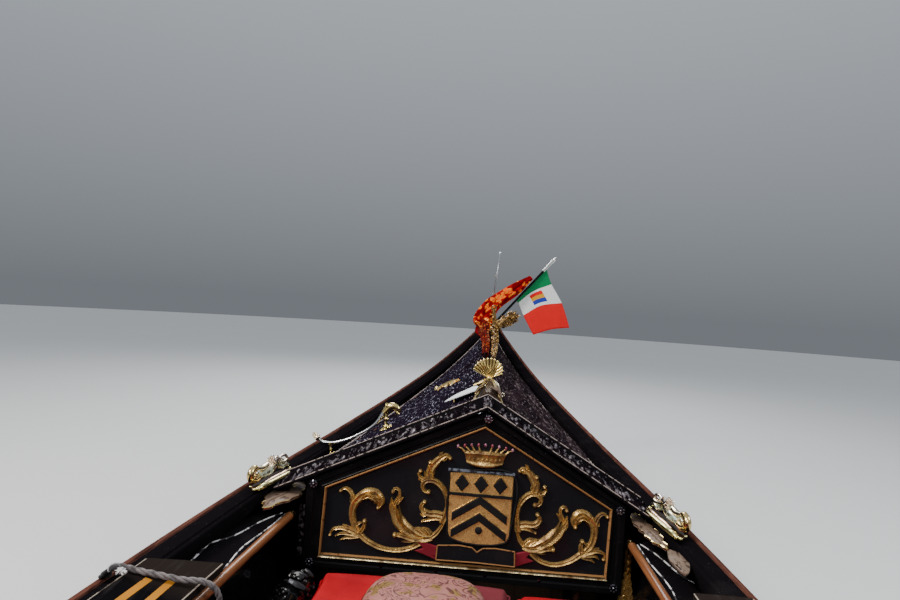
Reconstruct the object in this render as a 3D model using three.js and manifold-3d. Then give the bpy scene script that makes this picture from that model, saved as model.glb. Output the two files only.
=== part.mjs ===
// A gondola afloat: its whole hull, the two ridged decks, the open cockpit with its seats,
// the carved and brass trim of the bow, the rowing crutch and the oar that swings in it.
// Millimetres. +X is towards the bow, +Y to port and +Z up. The origin is on the waterline
// amidships, on the straight line from the stem to the stern post.
import * as THREE from 'three';
import { mergeVertices } from 'three/addons/utils/BufferGeometryUtils.js';
import Module from 'manifold-3d';

const wasm = await Module();
wasm.setup();

const PORT = 1;
const STARBOARD = -1;
const GAP = 0.3;

// Driving dimensions of the hull
const HALF_LENGTH = 5435;
const HALF_BEAM = 710;
const FULLNESS = 2.1;
const LIST_TO_PORT = 80;
const PLANK = 20;
const PLANK_BULGE = 18;
const BOTTOM = 26;
const GUNWALE = { deep: 34, wide: 64, overhang: 12, round: 7 };

// Hull lines, one row a station: x, height of the sheer, height of the chine, half-breadth at the chine
const LINES = [
  [-5250, 1380, 1100, 12],
  [-5100, 1280, 860, 20],
  [-4800, 1110, 580, 40],
  [-4400, 960, 360, 85],
  [-3900, 820, 175, 150],
  [-3300, 695, 30, 225],
  [-2600, 600, -70, 300],
  [-1900, 535, -135, 360],
  [-1200, 475, -170, 405],
  [-400, 437, -195, 428],
  [400, 435, -197, 430],
  [1200, 455, -170, 410],
  [1900, 510, -125, 370],
  [2550, 550, -75, 310],
  [3200, 587, 0, 235],
  [3800, 642, 90, 160],
  [4300, 712, 205, 100],
  [4700, 795, 340, 55],
  [4950, 858, 480, 30],
  [5100, 900, 620, 18],
  [5200, 940, 760, 12],
];

// Stations of the two decks: x, height of the ridge, depth of the deck's edge below the sheer
const FOREDECK = [
  [2660, 800, 28],
  [3200, 815, 30],
  [3800, 835, 28],
  [4300, 862, 24],
  [4700, 893, 20],
  [5100, 932, 16],
];
const AFTERDECK = [
  [-5100, 1302, 16],
  [-4800, 1160, 18],
  [-4400, 1040, 22],
  [-3900, 930, 26],
  [-3300, 822, 28],
  [-2600, 742, 28],
  [-2250, 710, 28],
];

// Finishes of the pieces
const lacquer = finish(0x0d0c0e, 0.25, 0.0);
const carved = finish(0x120e0d, 0.4, 0.0);
const brownRail = finish(0x4a2413, 0.35, 0.0);
const brass = finish(0xc79a3e, 0.3, 1.0);
const iron = finish(0xb9bcc0, 0.3, 1.0);
const gilt = finish(0xd7a23c, 0.35, 0.8);
const redSatin = finish(0xb3121c, 0.7, 0.0);
const brocade = finish(0xb9788a, 0.7, 0.0);
const boards = finish(0x5a4632, 0.7, 0.0);
const walnut = finish(0x6b3d1e, 0.4, 0.0);
const oarWood = finish(0xc58a3c, 0.45, 0.0);
const bunting = finish(0xe8e6e0, 0.8, 0.0);
const cordage = finish(0x8a8680, 0.9, 0.0);

const gondola = new THREE.Group();
gondola.name = 'gondola';

/** A material of one colour. */
function finish(color, roughness, metalness) {
  return new THREE.MeshStandardMaterial({ color, roughness, metalness });
}

/** Adds a closed geometry to the boat as a named piece. */
function piece(name, geometry, material, parent = gondola) {
  const mesh = new THREE.Mesh(geometry, material);
  mesh.name = name;
  parent.add(mesh);
  return mesh;
}

/** Reads a table of rows [x, a, b, ...] at x, in straight lines between the rows. */
function readTable(rows, x) {
  const last = rows.length - 1;
  let i = 0;
  while (i < last - 1 && x > rows[i + 1][0]) i += 1;
  const [low, high] = [rows[i], rows[i + 1]];
  const share = Math.min(1, Math.max(0, (x - low[0]) / (high[0] - low[0])));
  return low.map((value, column) => value + (high[column] - value) * share);
}

/** Half-breadth of the gunwale's outer edge by the curve of the boat's plan. */
function planHalf(x) {
  return HALF_BEAM * (1 - Math.abs(x / HALF_LENGTH) ** FULLNESS);
}

/** How far the middle of the boat lies to port of the line from stem to stern post. */
function planCentre(x) {
  return LIST_TO_PORT * (1 - (x / HALF_LENGTH) ** 2);
}

const STATIONS = LINES.map((row) => [...row, planHalf(row[0]), planCentre(row[0])]);

/** The hull's measures at x. */
function hullAt(x) {
  const [at, sheer, chine, chineHalf, half, centre] = readTable(STATIONS, x);
  return { x: at, sheer, chine, chineHalf, half, centre };
}

/** The places from x0 to x1 where long pieces change direction, ends included. */
function stops(x0, x1, tables = [STATIONS]) {
  const inner = tables.flatMap((rows) => rows.map((row) => row[0])).filter((x) => x > x0 && x < x1);
  return [...new Set([x0, ...inner, x1])].sort((a, b) => a - b);
}

/** A point [y, z] of the planking's outside (depth 0) or inside (depth > 0); up runs from 0 at the chine to 1. */
function plankPoint(h, side, up, depth) {
  const outer = h.chineHalf + (h.half - GUNWALE.overhang - h.chineHalf) * up + PLANK_BULGE * 4 * up * (1 - up);
  const reach = Math.max(1, outer - depth);
  return [h.centre + side * reach, h.chine + (h.sheer - GUNWALE.deep - GAP - h.chine) * up];
}

/** Where the inside of the planking is at height z. */
function insideY(h, side, z, clear = 0) {
  const rows = PLANK_STEPS.map((up) => {
    const [y, height] = plankPoint(h, side, up, PLANK + clear);
    return [height, y];
  });
  return readTable(rows, z)[1];
}
const PLANK_STEPS = [0, 0.3, 0.65, 1];

/** A closed body from sections along X. Each section is { x, outer, inner }, two chains of [y, z] points. */
function loft(sections) {
  const span = sections[0].outer.length;
  const ring = 2 * span;
  const area = ringArea(sections[0]);
  const points = [];
  for (const { x, outer, inner } of sections) {
    for (const [y, z] of outer) points.push(x, y, z);
    for (const [y, z] of [...inner].reverse()) points.push(x, y, z);
  }
  const faces = [];
  const quad = (a, b, c, d) => faces.push(a, b, c, a, c, d);
  for (let s = 0; s + 1 < sections.length; s += 1) {
    for (let i = 0; i < ring; i += 1) {
      const j = (i + 1) % ring;
      quad(s * ring + i, s * ring + j, (s + 1) * ring + j, (s + 1) * ring + i);
    }
  }
  const end = (sections.length - 1) * ring;
  for (let i = 0; i + 1 < span; i += 1) {
    const opposite = ring - 1 - i;
    quad(i, opposite, opposite - 1, i + 1);
    quad(end + i, end + i + 1, end + opposite - 1, end + opposite);
  }
  if (area < 0) {
    for (let f = 0; f < faces.length; f += 3) [faces[f + 1], faces[f + 2]] = [faces[f + 2], faces[f + 1]];
  }
  const geometry = new THREE.BufferGeometry();
  geometry.setAttribute('position', new THREE.Float32BufferAttribute(points, 3));
  geometry.setIndex(faces);
  return geometry;
}

/** Signed area of a section's ring. */
function ringArea({ outer, inner }) {
  const points = [...outer, ...[...inner].reverse()];
  return points.reduce((sum, [y, z], i) => {
    const [nextY, nextZ] = points[(i + 1) % points.length];
    return sum + (y * nextZ - nextY * z) / 2;
  }, 0);
}

/** A round bar with a radius of its own at each point of its path, as a closed body. */
function taper(path, radii, sides = 8) {
  const points = path.map((p) => new THREE.Vector3(...p));
  const positions = [];
  let across = new THREE.Vector3(0, 0, 1);
  points.forEach((point, i) => {
    const along = new THREE.Vector3().subVectors(points[Math.min(i + 1, points.length - 1)], points[Math.max(i - 1, 0)]);
    along.normalize();
    if (Math.abs(across.dot(along)) > 0.95) across = new THREE.Vector3(0, 1, 0);
    across = across.clone().addScaledVector(along, -across.dot(along)).normalize();
    const other = new THREE.Vector3().crossVectors(along, across);
    for (let k = 0; k < sides; k += 1) {
      const turn = (2 * Math.PI * k) / sides;
      const spoke = across.clone().multiplyScalar(Math.cos(turn)).addScaledVector(other, Math.sin(turn));
      positions.push(...point.clone().addScaledVector(spoke, radii[i]).toArray());
    }
  });
  const faces = [];
  for (let i = 0; i + 1 < points.length; i += 1) {
    for (let k = 0; k < sides; k += 1) {
      const next = (k + 1) % sides;
      const [a, b, c, d] = [i * sides + k, i * sides + next, (i + 1) * sides + next, (i + 1) * sides + k];
      faces.push(a, b, c, a, c, d);
    }
  }
  const end = (points.length - 1) * sides;
  for (let k = 1; k + 1 < sides; k += 1) {
    faces.push(0, k + 1, k);
    faces.push(end, end + k, end + k + 1);
  }
  const geometry = new THREE.BufferGeometry();
  geometry.setAttribute('position', new THREE.Float32BufferAttribute(positions, 3));
  geometry.setIndex(faces);
  return geometry;
}

/** A plate cut to an outline of [x, z] points, standing along X, thick across Y about the place y. */
function plateXZ(outline, thick, y) {
  const shape = new THREE.Shape(outline.map(([x, z]) => new THREE.Vector2(x, z)));
  const geometry = new THREE.ExtrudeGeometry(shape, { depth: thick, bevelEnabled: false });
  geometry.rotateX(Math.PI / 2);
  geometry.translate(0, y + thick / 2, 0);
  return geometry;
}

/** A plate cut to an outline of [y, z] points, standing across the boat, from x to x + thick. */
function plateYZ(outline, x, thick, hole = null) {
  const shape = new THREE.Shape(outline.map(([y, z]) => new THREE.Vector2(y, z)));
  if (hole) shape.holes.push(new THREE.Path(hole.map(([y, z]) => new THREE.Vector2(y, z))));
  const geometry = new THREE.ExtrudeGeometry(shape, { depth: thick, bevelEnabled: false });
  geometry.rotateX(Math.PI / 2);
  geometry.rotateZ(Math.PI / 2);
  geometry.translate(x, 0, 0);
  return geometry;
}

/** A block between two corners. */
function block([x0, y0, z0], [x1, y1, z1]) {
  const geometry = new THREE.BoxGeometry(x1 - x0, y1 - y0, z1 - z0);
  geometry.translate((x0 + x1) / 2, (y0 + y1) / 2, (z0 + z1) / 2);
  return geometry;
}

/** The solid of a closed geometry. */
function solidOf(geometry) {
  const bare = geometry.clone();
  bare.deleteAttribute('normal');
  bare.deleteAttribute('uv');
  const merged = mergeVertices(bare, 1e-4);
  return new wasm.Manifold(new wasm.Mesh({
    numProp: 3,
    vertProperties: new Float32Array(merged.attributes.position.array),
    triVerts: new Uint32Array(merged.index.array),
  }));
}

/** The geometry of a solid. */
function geometryOf(solid) {
  const mesh = solid.getMesh();
  const geometry = new THREE.BufferGeometry();
  geometry.setAttribute('position', new THREE.BufferAttribute(new Float32Array(mesh.vertProperties), 3));
  geometry.setIndex(new THREE.BufferAttribute(new Uint32Array(mesh.triVerts), 1));
  return geometry;
}

/** Joins geometries that overlap into one body. */
function joined(geometries) {
  return geometryOf(geometries.map(solidOf).reduce((sum, solid) => sum.add(solid)));
}

/** Takes the cutters away from a geometry. */
function cut(geometry, cutters) {
  return geometryOf(cutters.map(solidOf).reduce((rest, cutter) => rest.subtract(cutter), solidOf(geometry)));
}

/** Keeps only what lies inside the planking from x0 to x1, clear of it by the given distance. */
function inHull(geometry, x0, x1, clear = 4) {
  const space = loft(stops(x0, x1).map((x) => {
    const h = hullAt(x);
    const heights = PLANK_STEPS.map((up) => plankPoint(h, PORT, up, 0)[1] + (up === 0 ? clear : 0));
    const chain = (side) => heights.map((z) => [insideY(h, side, z, clear), z]);
    return { x, outer: chain(PORT), inner: chain(STARBOARD) };
  }));
  return geometryOf(solidOf(geometry).intersect(solidOf(space)));
}

// Hull: bottom, two sides, two gunwales, stem and stern post
const SIDES = [
  { side: PORT, name: 'port' },
  { side: STARBOARD, name: 'starboard' },
];
const SHELL = [LINES[0][0], LINES.at(-1)[0]];
const BOTTOM_ENDS = [-4800, 4700];

function bottomBoard() {
  return loft(stops(...BOTTOM_ENDS).map((x) => {
    const h = hullAt(x);
    const edges = (z) => [[h.centre - h.chineHalf, z], [h.centre + h.chineHalf, z]];
    return { x, outer: edges(h.chine - BOTTOM), inner: edges(h.chine - GAP) };
  }));
}

function hullSide(side) {
  return loft(stops(...SHELL).map((x) => {
    const h = hullAt(x);
    const chain = (depth) => PLANK_STEPS.map((up) => plankPoint(h, side, up, depth));
    return { x, outer: chain(0), inner: chain(PLANK) };
  }));
}

function gunwale(side) {
  const { deep, wide, round } = GUNWALE;
  return loft(stops(...SHELL).map((x) => {
    const h = hullAt(x);
    const outerY = h.half;
    const innerY = Math.max(1, h.half - wide);
    const at = (reach, drop) => [h.centre + side * reach, h.sheer - drop];
    return {
      x,
      outer: [at(outerY, deep), at(outerY, round), at(outerY - round, 0)],
      inner: [at(innerY, deep), at(innerY, round), at(innerY + Math.min(round, outerY - round - innerY - 1), 0)],
    };
  }));
}

piece('bottom_board', bottomBoard(), lacquer);
for (const { side, name } of SIDES) {
  piece(`side_${name}`, hullSide(side), lacquer);
  piece(`gunwale_${name}`, gunwale(side), carved);
}

// The stem and the stern post close the hull's ends. Each is an outline of [x, z] points:
// the side against the planking first, then the outer edge back down.
const POST_THICK = 46;
const BOW_INNER = stops(4701, 5200).map((x) => [x, hullAt(x).chine - 1]);
const BOW_OUTER = [[5262, 985], [5262, 940], [5246, 745], [5142, 585], [4985, 440], [4701, 312]];
const STERN_INNER = stops(-5250, -4801).reverse().map((x) => [x, hullAt(x).chine - 1]);
const STERN_OUTER = [[-5320, 1500], [-5318, 1380], [-5300, 1085], [-5146, 830], [-4836, 545], [-4801, 552]];
const bowPost = [...BOW_INNER, [5200 + 2 * GAP, 760], [5200 + 2 * GAP, 985], ...BOW_OUTER];
const sternPost = [...STERN_INNER, [-5250 - 2 * GAP, 1100], [-5250 - 2 * GAP, 1500], ...STERN_OUTER];
piece('stem_bow', plateXZ(bowPost, POST_THICK, hullAt(5200).centre), lacquer);
piece('stern_post', plateXZ(sternPost, POST_THICK, hullAt(-5250).centre), lacquer);

// Bow iron: a tall blade with a rounded head, six teeth forward, one aft and a tail down the stem
const BLADE_THICK = 12;
const BLADE_LEAN = 5 * (Math.PI / 180);
const TEETH = { count: 6, top: 1212, pitch: 57, deep: 33, root: 5345, tip: HALF_LENGTH };
const BLADE_HEAD = [
  [5266, 745], [5266, 1098], [5190, 1104], [5190, 1132], [5262, 1140], [5258, 1240], [5262, 1330],
  [5285, 1420], [5330, 1470], [5372, 1478], [5412, 1440], [5431, 1375], [5425, 1300], [5390, 1245], [5345, 1226],
];
const BLADE_TAIL = [[5330, 860], [5286, 742], [5190, 600], [5020, 440], [4985, 425], [5150, 584]];

function bowIron() {
  const teeth = Array.from({ length: TEETH.count }, (_, i) => {
    const z = TEETH.top - i * TEETH.pitch;
    return [[TEETH.root, z], [TEETH.tip - 4, z], [TEETH.tip, z - 6], [TEETH.tip, z - TEETH.deep], [TEETH.root, z - TEETH.deep]];
  }).flat();
  const blade = plateXZ([...BLADE_HEAD, ...teeth, ...BLADE_TAIL], BLADE_THICK, 0);
  blade.translate(0, 0, -985);
  blade.rotateX(BLADE_LEAN);
  blade.translate(0, hullAt(5200).centre, 985);
  return blade;
}
piece('bow_iron', bowIron(), iron);

// Stern iron: the band that runs up the stern post and curls over its head
const STERN_BAND = [
  [-5326, 1090], [-5344, 1380], [-5346, 1501], [-5254, 1501], [-5254, 1518], [-5320, 1560], [-5330, 1640],
  [-5300, 1690], [-5240, 1700], [-5218, 1672], [-5200, 1680], [-5222, 1728], [-5300, 1742], [-5372, 1690],
  [-5392, 1600], [-5390, 1500], [-5380, 1380], [-5350, 1085],
];
piece('stern_iron', plateXZ(STERN_BAND, BLADE_THICK * 2, hullAt(-5250).centre), iron);

// Decks: two ridged roofs, each of a port and a starboard slope, with a strip along the ridge
const DECK_THICK = 20;
const DECK_CROWN = 7;
const EDGE_CLEAR = 3;
const SEAT_CLEAR = 3;

/** Ridge, middle and edge of one slope of a deck at x, as [y, z] points. */
function slope(table, x, side) {
  const h = hullAt(x);
  const [, ridge, drop] = readTable(table, x);
  const edgeZ = h.sheer - drop;
  const edgeY = h.centre + side * (h.half - GUNWALE.wide - EDGE_CLEAR);
  return [[side * GAP, ridge], [edgeY / 2, (ridge + edgeZ) / 2 + DECK_CROWN], [edgeY, edgeZ]];
}

/** Height of a deck's top at x and y. */
function deckTop(table, x, y) {
  const [ridge, middle, edge] = slope(table, x, y >= 0 ? PORT : STARBOARD);
  const rows = [ridge, middle, edge].map(([at, z]) => [Math.abs(at), z]);
  return readTable(rows, Math.abs(y))[1];
}

function deckSlope(table, side, x0, x1) {
  return loft(stops(x0, x1, [STATIONS, table]).map((x) => {
    const top = slope(table, x, side);
    return { x, outer: top, inner: top.map(([y, z]) => [y, z - DECK_THICK]) };
  }));
}

function ridgeStrip(table, x0, x1, half, high) {
  return loft(stops(x0, x1, [STATIONS, table]).map((x) => {
    const seat = (y) => deckTop(table, x, y) + SEAT_CLEAR;
    return {
      x,
      outer: [[-half, seat(-half) + high * 0.4], [0, seat(0) + high], [half, seat(half) + high * 0.4]],
      inner: [[-half, seat(-half)], [0, seat(0)], [half, seat(half)]],
    };
  }));
}

const FORE_ENDS = [FOREDECK[0][0], FOREDECK.at(-1)[0]];
const AFT_ENDS = [AFTERDECK[0][0], AFTERDECK.at(-1)[0]];
for (const { side, name } of SIDES) {
  piece(`foredeck_${name}`, deckSlope(FOREDECK, side, ...FORE_ENDS), carved);
  piece(`afterdeck_${name}`, deckSlope(AFTERDECK, side, ...AFT_ENDS), lacquer);
}
piece('foredeck_ridge', ridgeStrip(FOREDECK, 2905, 4800, 22, 14), carved);

// Carved end of the foredeck: the verge over the panel, the frame, the board and its shield
const VERGE = { aft: 2545, fore: 2655, rise: 20, thick: 24 };
const VERGE_LINE = [[555, 539], [0, 796], [-430, 547]];
const PANEL_X = 2552;
const FRAME_OUT = [[469, 345], [469, 572], [0, 788], [-372, 572], [-372, 345]];
const FRAME_IN = [[436, 381], [436, 560], [0, 752], [-341, 560], [-341, 381]];
const BOARD = [[434, 383], [434, 559], [0, 750], [-339, 559], [-339, 383]];
const SHIELD = [
  [88, 664], [40, 676], [-76, 664], [-74, 560], [-52, 500], [0, 452], [52, 492], [84, 560],
];

function verge() {
  const section = (x, rise) => ({
    x,
    outer: VERGE_LINE.map(([y, z]) => [y, z + rise + VERGE.thick]),
    inner: VERGE_LINE.map(([y, z]) => [y, z + rise]),
  });
  return loft([section(VERGE.aft, 0), section(VERGE.fore, VERGE.rise)]);
}
piece('verge_arch', verge(), carved);
piece('panel_frame', plateYZ(FRAME_OUT, PANEL_X, 30, FRAME_IN), lacquer);
piece('panel_board', plateYZ(BOARD, PANEL_X + 8, 18), lacquer);
piece('panel_shield', plateYZ(SHIELD, PANEL_X - 6, 13.5), gilt);

/** A bulkhead under a deck's end: from the chines up to the slopes, from x to x + thick. */
function bulkhead(table, x0, thick) {
  return loft([x0, x0 + thick].map((x) => {
    const h = hullAt(x);
    const foot = h.chine + 40;
    const low = DECK_THICK + 12;
    const port = slope(table, x, PORT);
    const starboard = slope(table, x, STARBOARD);
    return {
      x,
      outer: [[port[2][0] - 8, port[2][1] - low], [0, port[0][1] - low], [starboard[2][0] + 8, starboard[2][1] - low]],
      inner: [[insideY(h, PORT, foot, 12), foot], [0, foot], [insideY(h, STARBOARD, foot, 12), foot]],
    };
  }));
}
piece('bulkhead_fore', bulkhead(FOREDECK, 2666, 18), lacquer);
piece('bulkhead_aft', bulkhead(AFTERDECK, -2290, 18), lacquer);

// Side decks of the cockpit, the boards that lie on them and the brown rails along their inner edges.
// Rail: x, height, y to port, y to starboard
const RAIL = [
  [250, 404, 600, -450],
  [1200, 424, 575, -430],
  [2050, 478, 522, -396],
  [2540, 485, 499, -384],
];
const RAIL_RADIUS = 13;
const SIDE_DECK = { aft: 250, fore: 2540, thick: 18, edgeDrop: 40 };
const SIDE_BOARD = { aft: 420, thick: 16, fromOuter: 34, lift: 3 };
const BOARD_FORE = { port: 2140, starboard: 2190 };

/** The rail's [y, z] at x on one side. */
function railAt(x, side) {
  const [, z, port, starboard] = readTable(RAIL, x);
  return [side > 0 ? port : starboard, z];
}

function sideDeck(side) {
  return loft(stops(SIDE_DECK.aft, SIDE_DECK.fore, [STATIONS, RAIL]).map((x) => {
    const h = hullAt(x);
    const [railY, railZ] = railAt(x, side);
    const edgeZ = h.sheer - SIDE_DECK.edgeDrop;
    const top = [[railY + side * (RAIL_RADIUS + 1), railZ], [insideY(h, side, edgeZ - SIDE_DECK.thick, 3), edgeZ]];
    return { x, outer: top, inner: top.map(([y, z]) => [y, z - SIDE_DECK.thick]) };
  }));
}

function sideBoard(side, fore) {
  return loft(stops(SIDE_BOARD.aft, fore, [STATIONS, RAIL]).map((x) => {
    const h = hullAt(x);
    const [railY, railZ] = railAt(x, side);
    const onRail = railZ + RAIL_RADIUS + 3;
    const innerEdge = h.centre + side * (h.half - GUNWALE.wide);
    const outerEdge = h.centre + side * (h.half - SIDE_BOARD.fromOuter);
    const tilt = (h.sheer + SIDE_BOARD.lift - onRail) / (innerEdge - railY);
    const low = [[railY, onRail], [outerEdge, onRail + tilt * (outerEdge - railY)]];
    return { x, outer: low.map(([y, z]) => [y, z + SIDE_BOARD.thick]), inner: low };
  }));
}

function sideRail(side) {
  const points = stops(SIDE_DECK.aft, SIDE_DECK.fore, [RAIL]).map((x) => [x, ...railAt(x, side)]);
  return taper(points, points.map(() => RAIL_RADIUS), 10);
}

for (const { side, name } of SIDES) {
  piece(`side_deck_${name}`, sideDeck(side), carved);
  piece(`side_board_${name}`, sideBoard(side, BOARD_FORE[name]), lacquer);
  piece(`rail_${name}`, sideRail(side), brownRail);
}

// Ribs inside the open aft part of the cockpit, joined by the clamp under the gunwale, and the floor boards
const RIBS = { first: -2150, pitch: 260, count: 9, wide: 26, deep: 28, low: 0.16 };
const CLAMP = { aft: -2200, fore: 240, deep: 46, thick: 18 };
const FLOOR = { aft: -2200, fore: 2600, lift: 62, thick: 18 };

function ribs(side) {
  const rib = (x0) => loft([x0, x0 + RIBS.wide].map((x) => {
    const h = hullAt(x);
    const steps = [RIBS.low, 0.5, 0.97];
    const chain = (depth) => steps.map((up) => {
      const [, z] = plankPoint(h, side, up, 0);
      return [insideY(h, side, z, depth), z];
    });
    return { x, outer: chain(3), inner: chain(3 + RIBS.deep) };
  }));
  const clamp = loft(stops(CLAMP.aft, CLAMP.fore).map((x) => {
    const h = hullAt(x);
    const top = h.sheer - GUNWALE.deep - 20;
    const chain = (depth) => [top, top - CLAMP.deep].map((z) => [insideY(h, side, z, depth), z]);
    return { x, outer: chain(10), inner: chain(10 + RIBS.deep) };
  }));
  const all = Array.from({ length: RIBS.count }, (_, i) => rib(RIBS.first + i * RIBS.pitch));
  return joined([clamp, ...all]);
}

function floorBoards() {
  return loft(stops(FLOOR.aft, FLOOR.fore).map((x) => {
    const h = hullAt(x);
    const low = h.chine + FLOOR.lift;
    const chain = (z) => [insideY(h, STARBOARD, low, 6), insideY(h, PORT, low, 6)].map((y) => [y, z]);
    return { x, outer: chain(low + FLOOR.thick), inner: chain(low) };
  }));
}

for (const { side, name } of SIDES) piece(`ribs_${name}`, ribs(side), lacquer);
piece('floor_boards', floorBoards(), boards);

/** The height of the floor boards' top at x. */
function floorTop(x) {
  return hullAt(x).chine + FLOOR.lift + FLOOR.thick;
}

// Brass sea horses on plates on the gunwales. Outline in [along, up] from the plate, head forward
const SEA_HORSE = [
  [-78, 0], [84, 0], [104, 12], [112, 32], [98, 46], [80, 40], [62, 50], [46, 64], [26, 62], [14, 46],
  [0, 36], [-24, 30], [-46, 28], [-56, 42], [-76, 48], [-96, 42], [-104, 24], [-96, 8],
];
const HORSES = [
  { side: PORT, name: 'port', x: 2595 },
  { side: STARBOARD, name: 'starboard', x: 2520 },
];
for (const { side, name, x } of HORSES) {
  const h = hullAt(x);
  const y = h.centre + side * (h.half - 34);
  const foot = Math.max(hullAt(x - 100).sheer, hullAt(x + 100).sheer) + 1;
  const outline = SEA_HORSE.map(([along, up]) => [x + along, foot + 6 + up]);
  const plate = block([x - 105, y - 22, foot], [x + 100, y + 22, foot + 8]);
  piece(`sea_horse_${name}`, joined([plateXZ(outline, 24, y), plate]), brass);
}

// Brass hand rail across the port slope of the foredeck: a curved rod on two turned posts
const HANDRAIL_X = 2940;
const ROD = [
  [564, 600, 12], [552, 594, 9], [542, 586, 4], [515, 583, 4.5], [458, 597, 4.5], [409, 622, 4.5],
  [360, 660, 5.5], [337, 694, 7], [322, 714, 11], [300, 722, 12], [286, 714, 7],
];
const POSTS = [[490, 588], [340, 690]];
function handrail() {
  const rod = taper(ROD.map(([y, z]) => [HANDRAIL_X, y, z]), ROD.map((row) => row[2]));
  const posts = POSTS.map(([y, z]) => {
    const foot = deckTop(FOREDECK, HANDRAIL_X, y) + 9;
    const heights = [0, 0.1, 0.25, 0.45, 0.7, 1].map((share) => foot + (z - foot) * share);
    return taper(heights.map((at) => [HANDRAIL_X, y, at]), [14, 13, 6, 8, 5, 5]);
  });
  return joined([rod, ...posts]);
}
piece('deck_handrail', handrail(), brass);

// Brass shell that stands on the ridge, on its carved block
const SHELL_ORNAMENT = { x: 2790, y: 8, radius: 46, foot: 852, thick: 14, rays: 8 };
function deckShell() {
  const { x, y, radius, foot, thick, rays } = SHELL_ORNAMENT;
  const fan = Array.from({ length: rays * 2 + 1 }, (_, i) => {
    const turn = (Math.PI * i) / (rays * 2);
    const reach = i % 2 ? radius : radius * 0.9;
    return [y + reach * Math.cos(turn), foot + 14 + reach * Math.sin(turn)];
  });
  return plateYZ([[y - 16, foot], [y + 16, foot], ...fan], x, thick);
}
piece('deck_shell', deckShell(), brass);

function ridgeBlock() {
  const sections = [2662, 2760, 2900].map((x, i) => {
    const high = [26, 44, 20][i];
    const half = [44, 40, 24][i];
    const seat = (y) => deckTop(FOREDECK, x, y) + SEAT_CLEAR;
    return {
      x,
      outer: [[-half, seat(-half) + 8], [-8, seat(0) + high], [8, seat(0) + high], [half, seat(half) + 8]],
      inner: [[-half, seat(-half)], [-8, seat(-8) + 3], [8, seat(8) + 3], [half, seat(half)]],
    };
  });
  return loft(sections);
}
const shellSlot = block([2786, -30, 851.5], [2808, 46, 960]);
piece('ridge_block', cut(ridgeBlock(), [shellSlot]), carved);

// Staff on the foredeck with the furled banner low on it and the ensign near its head
const STAFF = { foot: [4870, 10, 926], head: [4990, -405, 1425], radius: 11 };
const staffAt = (share) => STAFF.foot.map((low, i) => low + (STAFF.head[i] - low) * share);
const BANNER = [
  [3600, 20, 858, 14], [3900, 22, 874, 17], [4200, 24, 893, 20], [4450, 34, 912, 28], [4640, 46, 938, 42],
  [4770, 56, 962, 56], [4835, 46, 1002, 58], [4868, 0, 1072, 52], [4892, -80, 1140, 44], [4912, -165, 1206, 35],
  [4930, -240, 1275, 18],
];
function banner() {
  const cloth = taper(BANNER.map((row) => row.slice(0, 3)), BANNER.map((row) => row[3]));
  const bore = taper([staffAt(-0.2), staffAt(1.1)], [STAFF.radius + 1, STAFF.radius + 1]);
  return cut(cloth, [bore]);
}
const staffRadii = [STAFF.radius, STAFF.radius, 8, 16, 8];
piece('flagstaff', taper([0, 0.3, 0.95, 0.98, 1].map(staffAt), staffRadii), gilt);
piece('banner', banner(), redSatin);

// Gilt horn of leaves and flowers that rises from the ridge beside the banner: x, y, z, radius
const HORN = [
  [4552, -12, 911, 11], [4566, -22, 940, 20], [4584, -52, 968, 30], [4600, -98, 992, 33],
  [4612, -140, 1016, 27], [4618, -160, 1028, 14],
];
piece('gilt_horn', taper(HORN.map((row) => row.slice(0, 3)), HORN.map((row) => row[3])), gilt);

const ENSIGN = [[-360, 1352], [-236, 1092], [-262, 1030], [-350, 925], [-515, 972], [-440, 1120], [-396, 1270]];
piece('ensign', plateYZ(ENSIGN, 5010, 6), bunting);

// Bench before the panel, its red pad and the brocade cushion on it
const BENCH = { aft: 2130, fore: 2520, port: 452, starboard: -340, top: 290, thick: 22, leg: 26 };
function bench() {
  const { aft, fore, port, starboard, top, thick, leg } = BENCH;
  const seat = block([aft, starboard, top - thick], [fore, port, top]);
  const front = block([aft, starboard, top - 110], [aft + 20, port, top - 1]);
  const legs = [starboard + 50, port - 50 - leg].map((y) => block([aft + 10, y, floorTop(fore) + 4], [fore - 10, y + leg, top - 2]));
  return joined([seat, front, ...legs]);
}
piece('fore_bench', inHull(bench(), BENCH.aft - 50, BENCH.fore + 50), lacquer);

/** A cushion's plain body: a block with its upper and lower edges drawn in. */
function cushion([x0, y0, z0], [x1, y1, z1], soft) {
  const mid = (z0 + z1) / 2;
  const section = (x, inset) => {
    const [low, high] = [z0 + inset / 2, z1 - inset / 2];
    const [left, right] = [y0 + inset / 2, y1 - inset / 2];
    const chain = (middle, face) => [[left, middle], [y0 + soft, face], [y1 - soft, face], [right, middle]];
    return { x, outer: chain(mid + 1, high), inner: chain(mid - 1, low) };
  };
  return loft([section(x0, soft * 0.8), section(x0 + soft, 0), section(x1 - soft, 0), section(x1, soft * 0.8)]);
}

/** A round cushion's plain body about [x, y], from low to high. */
function roundCushion([x, y], [halfX, halfY], low, high) {
  const rows = [[0, 0.62], [0.12, 0.9], [0.35, 1], [0.6, 0.94], [0.82, 0.7], [1, 0.25]];
  const body = taper(rows.map(([up]) => [0, 0, low + (high - low) * up]), rows.map(([, share]) => share), 12);
  body.scale(halfX, halfY, 1);
  body.translate(x, y, 0);
  return body;
}
piece('bench_pad', cushion([2120, -92, 292], [2492, 398, 394], 30), redSatin);
piece('bench_pad_narrow', cushion([2120, -302, 292], [2500, -97, 380], 20), redSatin);
piece('brocade_cushion', roundCushion([2250, 88], [127, 161], 396, 506), brocade);

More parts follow.
